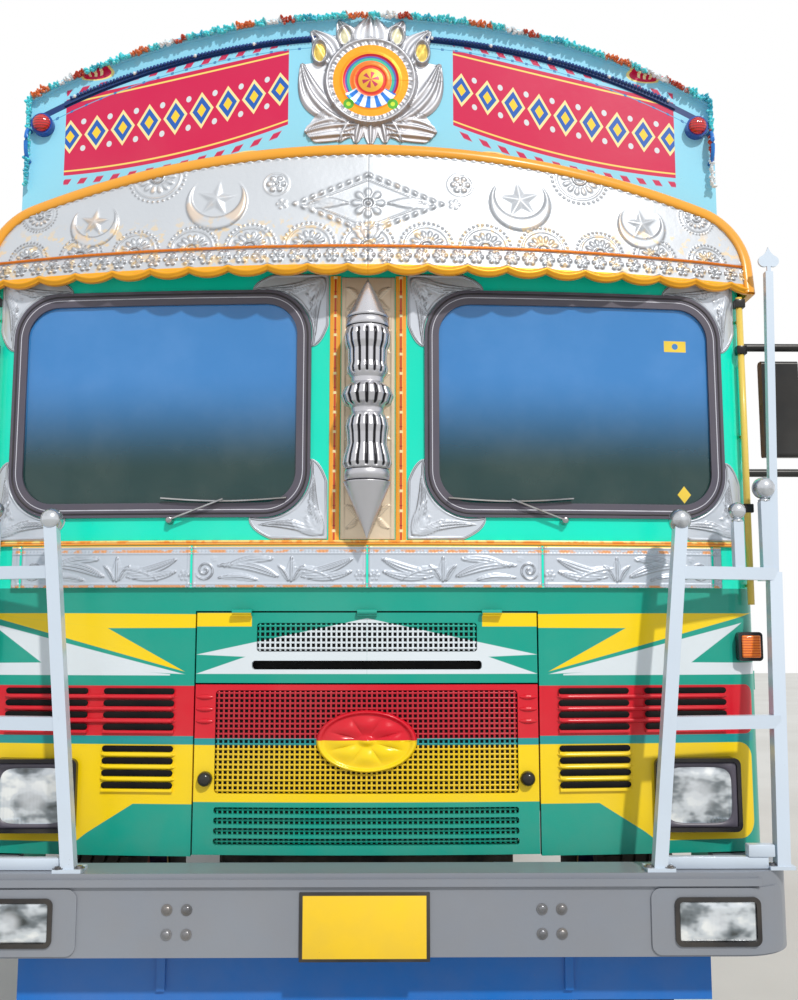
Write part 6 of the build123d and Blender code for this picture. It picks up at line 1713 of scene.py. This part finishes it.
# %% Dials
dial_at = [(-0.775, 1.745, 0.034), (-0.700, 1.745, 0.030), (-0.500, 1.745, 0.030), (-0.425, 1.745, 0.034)]
face_turn = turn_about("X", -TAU / 4)
bezels, faces = [], []
for x, z, radius in dial_at:
    bezel = [(radius - 0.004, 0.001), (radius - 0.002, 0.007), (radius + 0.002, 0.008),
             (radius + 0.004, 0.004), (radius + 0.004, 0.0)]
    bezels.append(moved(turned(bezel[::-1], 32), (x, FRONT + 0.500, z), face_turn))
    disc = turned([(radius - 0.003, 0.0015), (0.0, 0.0015)], 32)
    faces.append(moved(disc, (x, FRONT + 0.500, z), face_turn))
dial = Finish("dial face", rough=0.3)
base = (0.01, 0.01, 0.012)
for x, z, radius in dial_at:
    dx, dz = dial.x - x, dial.z - z
    r = dx.span(dz)
    turn = dz.math("ARCTAN2", dx)
    ticks = r.between(radius * 0.72, radius * 0.88, 0.0005) * (turn * 10.0).sine().above(0.86, 0.05)
    needle = r.below(radius * 0.7, 0.0005) * abs(dx + dz * 0.6).below(0.0012, 0.0004) * dz.above(0.0, 0.001)
    base = dial.layers(base, (ticks, tone(236, 236, 230)), (needle, tone(230, 60, 30)),
                       (r.below(radius * 0.14, 0.0005), tone(60, 60, 60)))
dial.set(Base_Color=base)
piece("dial_bezels", joined(bezels), chrome)
piece("dial_faces", joined(faces), dial)

# %% [markdown]
# ## Tyres
# A truck tyre's tread has zigzag grooves round it and open notches at its shoulders. The tyre is one grid:
# its columns follow the section from bead to bead, its rows go round. Groove columns lie closer to the axle,
# and a triangle wave shifts them sideways from row to row; notch rows are lower near the shoulders.

# %% The tyre's section and tread
def arc_through(a, b, c, count):
    """Points on the circle through three points, from the first to the last, by the circle's centre."""
    a, b, c = (np.asarray(p, dtype=float) for p in (a, b, c))
    left, right = b - a, c - a
    cross = 2 * (left[0] * right[1] - left[1] * right[0])
    centre = a + np.array([right[1] * (left @ left) - left[1] * (right @ right),
                           left[0] * (right @ right) - right[0] * (left @ left)]) / cross
    start, end = (np.arctan2(*(p - centre)[::-1]) for p in (a, c))
    turn = start + np.linspace(0, 1, count) * ((end - start + np.pi) % TAU - np.pi)
    return centre + np.hypot(*(a - centre)) * np.stack([np.cos(turn), np.sin(turn)], axis=1)


def tyre_form(middle, pitches=54):
    """A tyre round the X axis at the origin; middle is the X of its centre plane."""
    wall = arc_through((0.104, 0.281), (0.139, 0.390), (0.124, 0.488), 15)
    outward = (wall - (0.07, 0.39)) / np.linalg.norm(wall - (0.07, 0.39), axis=1, keepdims=True)
    ridge = np.zeros(15)
    ridge[[2, 4, 9, 11]] = 0.0025
    wall = np.minimum(wall + outward * ridge[:, None], (0.139, 1.0))
    side = np.concatenate([[(0.070, 0.2545), (0.088, 0.2545), (0.088, 0.274)], wall, [(0.1165, 0.507)]])
    tread = np.array([(0.1045, 0), (0.098, 0), (0.088, 0), (0.0755, 0), (0.074, 1), (0.066, 1), (0.0645, 0),
                      (0.047, 0), (0.0295, 0), (0.028, 1), (0.020, 1), (0.0185, 0), (0.0, 0)])
    crown_r = 0.5248 - 0.0068 * (tread[:, 0] / 0.1045) ** 2 - 0.012 * tread[:, 1]
    crown = np.stack([tread[:, 0], crown_r], axis=1)
    half = np.concatenate([side, crown])
    section = np.concatenate([half, half[-2::-1] * (-1, 1)])
    grooved = np.concatenate([0 * side[:, 0], (tread[:, 0] > 0.01) & (tread[:, 0] < 0.08)])
    grooved = np.concatenate([grooved, grooved[-2::-1]])
    shoulder = np.concatenate([0 * side[:, 0], tread[:, 0] > 0.085])
    shoulder[len(side) - 1] = 1
    shoulder = np.concatenate([shoulder, shoulder[-2::-1]])
    step = np.array([0.0, 0.55, 0.61, 0.94])
    share = (np.arange(pitches)[:, None] + step[None, :]).ravel() / pitches
    notch = np.tile([0, 0, 1, 1], pitches)
    zigzag = 0.0045 * (2 * np.abs(2 * (share * pitches % 1) - 1) - 1)
    w = section[None, :, 0] + zigzag[:, None] * grooved[None, :]
    r = section[None, :, 1] - 0.010 * notch[:, None] * shoulder[None, :]
    angle = (share * TAU)[:, None]
    points = np.stack([middle + w, r * np.cos(angle), r * np.sin(angle)], axis=-1)
    form = grid_form(points, close_u=True, close_v=True)
    return form[0], form[1][:, ::-1]


AXLE_Z, FRONT_Y, REAR_Y = 0.525, FRONT + 1.300, FRONT + 5.525
FRONT_X, INNER_X, OUTER_X = 0.965, 0.748, 1.068


def from_axle(finish):
    """The distance from the nearer axle."""
    up = finish.z - AXLE_Z
    return up.span(finish.y - FRONT_Y).least(up.span(finish.y - REAR_Y))


tread_rubber = Finish("tread rubber", rough=0.7)
film = tread_rubber.noise(11, detail=5).above(0.48, 0.25)
worn = from_axle(tread_rubber).between(0.512, 0.60, 0.004)
tread_rubber.set(Base_Color=tread_rubber.layers((0.014, 0.014, 0.015), (film * 0.14, DUST),
                                                (worn * 0.25, tone(84, 80, 76))), Roughness=film * 0.2 + 0.6)
tread_rubber.bump(tread_rubber.noise(260), 0.0006, 0.5)
for wheel, node, y, middles in (("front_wheel", "tyre_front", FRONT_Y, (FRONT_X,)),
                                ("rear_wheels", "tyres_rear", REAR_Y, (INNER_X, OUTER_X))):
    for side, word in ((1, "left"), (-1, "right")):
        form = joined([tyre_form(side * middle) for middle in middles])
        tyre = piece(f"{node}_{word}_tread", moved(form, (0, y, AXLE_Z)), tread_rubber,
                     body=f"{wheel}_{word}", crease=35)
        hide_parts(f"{node}_{word}")
low, high = (np.array(corner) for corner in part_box("spare_tyre"))
lying = moved(tyre_form(0.0), (low + high) / 2, turn_about("Y", TAU / 4))
spare = piece("spare_tyre_tread", lying, tread_rubber, crease=35)
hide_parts("spare_tyre")

# %% [markdown]
# ## Wheel nuts and hubs
# Ten nuts hold each wheel. A nut is a turned piece of six sides on a round washer, with its stud standing
# out. The hub's cap is painted red with a yellow ring, worked out from the distance to the axle.

# %% Nuts and hub paint
NUTS = 10
nut = joined([turned([(0.0, 0.0), (0.019, 0.0), (0.019, 0.003), (0.016, 0.004), (0.016, 0.017),
                      (0.013, 0.019), (0.0, 0.019)], 6),
              turned([(0.0, 0.015), (0.008, 0.015), (0.008, 0.028), (0.006, 0.030), (0.0, 0.030)], 10)])
out_turn = {1: turn_about("Y", TAU / 4), -1: turn_about("Y", -TAU / 4)}


def nut_ring(x, y, radius, side):
    """Ten nuts round an axle, facing outwards."""
    return joined([moved(nut, (x, y + radius * np.cos(a), AXLE_Z + radius * np.sin(a)), out_turn[side])
                   for a in TAU * np.arange(NUTS) / NUTS])


nut_metal = bare_metal("nut metal", tone(120, 112, 100), 0.5, wear=0.6, metal=0.6)
for side, word in ((1, "left"), (-1, "right")):
    piece(f"wheel_nuts_front_{word}", nut_ring(side * (FRONT_X + 0.1735), FRONT_Y, 0.117, side), nut_metal,
          body=f"front_wheel_{word}", crease=30)
    piece(f"wheel_nuts_rear_{word}", nut_ring(side * (0.908 + 0.0265), REAR_Y, 0.152, side), nut_metal,
          body=f"rear_wheels_{word}", crease=30)
hub_paint = Finish("wheel and hub paint", Coat_Weight=0.1, Coat_Roughness=0.2, Specular_IOR_Level=0.3)
r = from_axle(hub_paint)
aged(hub_paint, hub_paint.layers(
    tone(196, 62, 40), (r.between(0.196, 0.206), WHITE), (r.between(0.206, 0.6), tone(226, 178, 52)),
    (r.between(0.236, 0.246), tone(40, 70, 160)), (r.below(0.140), tone(60, 62, 66)),
    (r.below(0.088), tone(204, 30, 30)), (r.between(0.050, 0.062), tone(248, 206, 60)),
    (r.below(0.030), tone(248, 206, 60))), dust=0.55, rough=0.38)
hub_paint.bump(hub_paint.noise(70), 0.001, 0.4)
for node in ("rim_front_left", "rim_front_right", "rims_rear_left", "rims_rear_right"):
    dress(node, hub_paint)
print("tyres, nuts and hubs ready")

# %% [markdown]
# ## Seats
# The driver's seat and the bench are foam under stitched vinyl. A soft pad swells between its seams, so each
# starts as an eased block a little smaller than its place, gets an even mesh, and is blown up by Blender's
# cloth with a light pressure and no gravity. The move of each point is held to a few centimetres, and the
# stitched channels are pressed in afterwards, as lines where the cover is pulled down.

# %% Padded seats
vinyl = Finish("seat vinyl", Coat_Weight=0.15, Coat_Roughness=0.3)
grain = vinyl.cells(420)
wear = vinyl.noise(5, detail=5).above(0.55, 0.2)
SEAM_PITCH, SEAM_START = 0.10, -0.05
stripe = (vinyl.x - SEAM_START).cycle(SEAM_PITCH)
vinyl.set(Base_Color=vinyl.layers(tone(122, 40, 34), (stripe.between(0.30, 0.70, 0.01), tone(186, 150, 104)),
                                  (abs(stripe - 0.5).between(0.195, 0.215, 0.004), tone(60, 22, 18)),
                                  (wear * 0.4, tone(150, 110, 84)),
                                  (grain.below(0.2, 0.1) * 0.2, (0.02, 0.01, 0.01))),
          Roughness=wear * 0.2 + 0.42)
vinyl.bump(grain, 0.0008, 0.5)
SEATS = (("seat_cushion_driver", (-850, 1060, 1560), (-440, 1540, 1670), 2),
         ("seat_back_driver", (-850, 1545, 1580), (-440, 1640, 2230), 1),
         ("seat_cushion_bench", (440, 1060, 1560), (1150, 1540, 1670), 2),
         ("seat_back_bench", (440, 1545, 1580), (1150, 1640, 2230), 1))


def mesh_points(mesh):
    """The mesh's points as an array."""
    points = np.empty(len(mesh.vertices) * 3, dtype=np.float32)
    mesh.vertices.foreach_get("co", points)
    return points.reshape(-1, 3)


def evened(thing, voxel):
    """Replaces the mesh by an even one of small faces."""
    remesh = thing.modifiers.new("even", "REMESH")
    remesh.mode, remesh.voxel_size = "VOXEL", voxel
    even = bpy.data.meshes.new_from_object(thing.evaluated_get(bpy.context.evaluated_depsgraph_get()))
    thing.modifiers.clear()
    thing.data = even


def swollen(thing, cap):
    """Points after twenty frames of cloth under pressure, each moved no further than cap."""
    cloth = thing.modifiers.new("swell", "CLOTH")
    cloth.settings.use_pressure = True
    cloth.settings.uniform_pressure_force = 4
    cloth.settings.effector_weights.gravity = 0
    before = mesh_points(thing.data)
    for number in range(1, 21):
        bpy.context.scene.frame_set(number)
    shaped = thing.evaluated_get(bpy.context.evaluated_depsgraph_get()).to_mesh()
    move = mesh_points(shaped) - before
    thing.modifiers.clear()
    bpy.context.scene.frame_set(1)
    length = np.linalg.norm(move, axis=1, keepdims=True)
    return before + move * np.minimum(1, cap / np.maximum(length, 1e-9))


for name, low, high, axis in SEATS:
    low, high = place(*low), place(*high)
    inset = np.array([0.010, 0.010, 0.010])
    inset[axis] = 0.016
    pad = piece(name, eased_block(low + inset, high - inset, 0.034, 6), vinyl)
    evened(pad, 0.015)
    points = swollen(pad, 0.022)
    points = np.clip(points, low, high)
    out = np.array([0.0, 0.0, 1.0]) if axis == 2 else np.array([0.0, -1.0, 0.0])
    middle = (low + high) / 2
    face = np.clip(((points - middle) @ out) / ((high - low)[axis] / 2), 0, 1)
    seam = np.abs((points[:, 0] - SEAM_START) / SEAM_PITCH % 1 - 0.5) * SEAM_PITCH
    seam = np.abs(seam - 0.02)
    points = points - out * (0.008 * dome(seam, 0.010) * face)[:, None]
    pad.data.vertices.foreach_set("co", points.astype(np.float32).ravel())
    pad.data.polygons.foreach_set("use_smooth", np.ones(len(pad.data.polygons), dtype=bool))
    pad.data.update()
    fine = pad.modifiers.new("fine", "SUBSURF")
    fine.levels = fine.render_levels = 1
    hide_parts("seat_pads")
    print(name, len(points), "points")

# %% [markdown]
# ## The load body's fittings
# Pressed tin flowers sit on the lozenges between the posts, round-headed bolts hold the rails, rope hooks
# hang under the bed, and the tailboard has hinge straps and latches. Small things that repeat are one form,
# copied by array arithmetic into one mesh.

# %% Tin flowers and bolts on the sides
WALL_X, BAYS = 1.190, 8
disc_angle, disc_share = np.meshgrid(np.linspace(0, TAU, 41), np.linspace(0, 1, 9), indexing="ij")
disc_y, disc_z = 0.078 * disc_share * np.cos(disc_angle), 0.078 * disc_share * np.sin(disc_angle)
disc_height = 0.012 * flower(disc_y, disc_z, 0.070, 8) + 0.004 * ring(disc_y, disc_z, 0.074, 0.006) + 0.002
disc = relief_form(np.stack([0 * disc_y + 0.001, disc_y, disc_z], axis=-1), disc_height, out=(1, 0, 0),
                   wall=0.0)
tin_flowers = []
for bay in range(BAYS):
    for level in (1.675, 2.470):
        part = (moved(disc[0], (WALL_X, FIRST_BAY + BAY * (bay + 0.5), level)), disc[1])
        tin_flowers += both_reliefs(part)
tin = pressed_metal("pressed tin", tone(214, 218, 224), warm=0.2)
backward = turn_about("Z", TAU / 4)
for x in (0.350, 0.940):
    tin_flowers += both_reliefs((moved(disc[0], (x, FRONT + 7.410, 2.550), backward), disc[1]))
relief_piece("tin_flowers", tin_flowers, tin)
board_flowers = []
for x in (0.2625, 0.7875):
    board_flowers += both_reliefs((moved(disc[0], (x, FRONT + 7.455, 1.740), backward), disc[1]))
relief_piece("board_flowers", board_flowers, tin, body="tailboard")
dome_head = turned([(0.0, 0.0), (0.013, 0.0), (0.0125, 0.003), (0.009, 0.0062), (0.004, 0.0078),
                    (0.0, 0.008)], 10)
spots = np.array([(1.2352, FIRST_BAY + BAY * post, level) for post in range(BAYS + 1)
                  for level in (1.303, 1.333, 2.012, 2.038, 2.902, 2.936)])
facing = np.tile([0.0, TAU / 4], (len(spots), 1))
heads = copies(dome_head, spots, facing, np.ones(len(spots)))
dark_steel = bare_metal("fitting steel", tone(86, 88, 92), 0.45, wear=0.5, metal=0.7)
piece("side_bolts", both_sides(heads), dark_steel)

# %% Rope hooks, latches and hinge straps
bend = np.linspace(-0.2, TAU / 2 + 0.2, 13)
hook = np.stack([1.236 + 0.018 * np.sin(bend), 0.030 * np.cos(bend), 0 * bend], axis=1)
hooks = [moved(rod(hook, 0.0055, 8), (0, FIRST_BAY + BAY * (bay + 0.5), 1.257)) for bay in range(BAYS)]
piece("rope_hooks", both_sides(joined(hooks)), dark_steel)
strap_paint = paint("strap paint", tone(44, 70, 150), dust=0.5, rough=0.35)
STRAPS_X = (-950, -320, 320, 950)
straps = [block((x - 26, 7455, 1262), (x + 26, 7461, 1480), 0.002) for x in STRAPS_X]
straps += [moved(dome_head, place(x, 7461, z), turn_about("X", -TAU / 4)) for x in STRAPS_X
           for z in (1380, 1450)]
piece("tail_straps", joined(straps), strap_paint, body="tailboard", crease=40)
LATCH_PATH = ((1192, 7432, 2205), (1192, 7432, 2120), (1192, 7438, 2070), (1192, 7446, 2030))
latches = [block((1160, 7419, 2070), (1225, 7425, 2180), 0.003),
           rod(np.array([place(*spot) for spot in LATCH_PATH]), 0.009, 12)]
latches += [rod(np.stack([1.192 + 0.016 * np.cos(bend), 3.668 + 0.018 * np.sin(bend), 0 * bend + z], axis=1),
                0.004, 8) for z in (2.095, 2.160)]
piece("tail_latches", both_sides(joined(latches)), dark_steel, crease=40)

# %% [markdown]
# ## Tin leaves along the skirt
# A row of small tin leaves hangs from the edge of the bed and swings as the truck drives. A leaf is a narrow
# grid whose half width follows a sine, bulged along its middle.

# %% Hanging leaves
leaf_u, leaf_v = np.meshgrid(np.linspace(0, 1, 9), np.linspace(1, -1, 5), indexing="ij")
leaf_half = 0.021 * np.sin(np.pi * leaf_u ** 0.75) + 0.0008
leaf_grid = np.stack([0 * leaf_u, leaf_v * leaf_half, -0.062 * leaf_u], axis=-1)
leaf_bulge = 0.004 * (1 - leaf_v ** 2) * np.sin(np.pi * leaf_u) + 0.0008
tin_leaf = relief_form(leaf_grid, leaf_bulge, out=(1, 0, 0), wall=0.0)
leaf_at_y = FIRST_BAY + BAY / 5 * (np.arange(5 * BAYS) + 0.5)
leaves = []
for y in leaf_at_y:
    leaves += both_reliefs((moved(tin_leaf[0], (1.2255, y, 1.218)), tin_leaf[1]))
relief_piece("skirt_leaves", leaves, tin)
leaf_pins = [rod(np.array([(1.2255, y, 1.234), (1.2265, y, 1.212)]), 0.0022, 6) for y in leaf_at_y]
piece("leaf_pins", both_sides(joined(leaf_pins)), dark_steel)

# %% [markdown]
# ## Chains and mud flaps
# Two short chains hang from each tail post, to hold the tailboard. A link is one oval ring, and each second
# one is turned a quarter. Behind the rear wheels hang wavy rubber flaps.

# %% Chains
def link_form(length=0.034, width=0.020, wire=0.0032):
    """One oval link in the XZ plane: two half circles joined by straight sides."""
    a = np.linspace(0, TAU, 20, endpoint=False)
    x = (width / 2) * np.cos(a)
    z = (width / 2) * np.sin(a) + np.sign(np.sin(a)) * (length - width) / 2
    return swept(np.stack([x, 0 * x, z], axis=1), round_section(wire, 6), closed=True, up=(0, 1, 0))


def chain(x, y, top, low, pitch=0.0275):
    """Links straight down from top to low; each second one is turned a quarter round the chain."""
    quarter = turn_about("Z", TAU / 4)
    return joined([moved(link_form(), (x, y, z), quarter if number % 2 else None)
                   for number, z in enumerate(np.arange(top, low, -pitch))])


CHAIN_X, CHAIN_Y = 1.2495, 3.645
chains = [chain(CHAIN_X, CHAIN_Y, 2.600, 2.280), chain(CHAIN_X, CHAIN_Y, 1.800, 1.500)]
chains += [rod(np.array([(1.234, CHAIN_Y, z), (1.2535, CHAIN_Y, z)]), 0.0048, 10) for z in (2.607, 1.807)]
piece("post_chains", both_sides(joined(chains)), dark_steel)
flap_x, flap_z = np.meshgrid(np.linspace(0.640, 1.195, 25), np.linspace(0.330, 0.712, 11))
flap_y = FRONT + 6.112 + 0.010 * np.sin((flap_x - 0.64) * 22) * (0.712 - flap_z) / 0.38
faces = [np.stack([flap_x, flap_y + gap, flap_z], axis=-1) for gap in (-0.004, 0.004)]
flap = joined([grid_form(faces[0]), grid_form(faces[1][:, ::-1])])
flap_rubber = rubber("flap rubber", (0.02, 0.02, 0.02), 0.5)
piece("mud_flaps", both_sides(flap), flap_rubber)
hanger = [block((x - 12, 6098, 696), (x + 12, 6124, 716), 0.002) for x in (680, 915, 1150)]
piece("flap_hangers", both_sides(joined(hanger)), dark_steel, crease=40)

# %% [markdown]
# ## Bars and rods at the cab's corners
# Flat bars lie between the feet of the guards on the bumper. A yellow rod stands before each corner of the
# cab, from the belt up to a clamp under the peak.

# %% Foot bars, corner rods and clamps
foot_bars = [block((859, 50, 887), (1150, 80, 920), 0.003),
             block((1092, 46, 920), (1168, 80, 954), 0.003)]
piece("guard_foot_bars", both_sides(joined(foot_bars)), rails_silver, crease=40)
ROD_X, ROD_Y = 1.205, float(nose_y(1.205, 0.026))
corner = [rod(np.array([(ROD_X, ROD_Y, 1.640), (ROD_X, ROD_Y, 2.635)]), 0.0105, 14)]
corner += [rod(np.array([(ROD_X, ROD_Y, z), (ROD_X, ROD_Y + 0.030, z)]), 0.006, 10)
           for z in (1.700, 2.180, 2.560)]
piece("corner_rods", both_sides(joined(corner)), paint("rod paint", tone(236, 204, 96), chips=0.9))
clamps = [eased_block((1.189, ROD_Y - 0.014, z), (1.222, ROD_Y + 0.016, z + 0.028), 0.003)
          for z in (2.445, 2.600, 1.930)]
piece("corner_clamps", both_sides(joined(clamps)), knob_paint, crease=40)
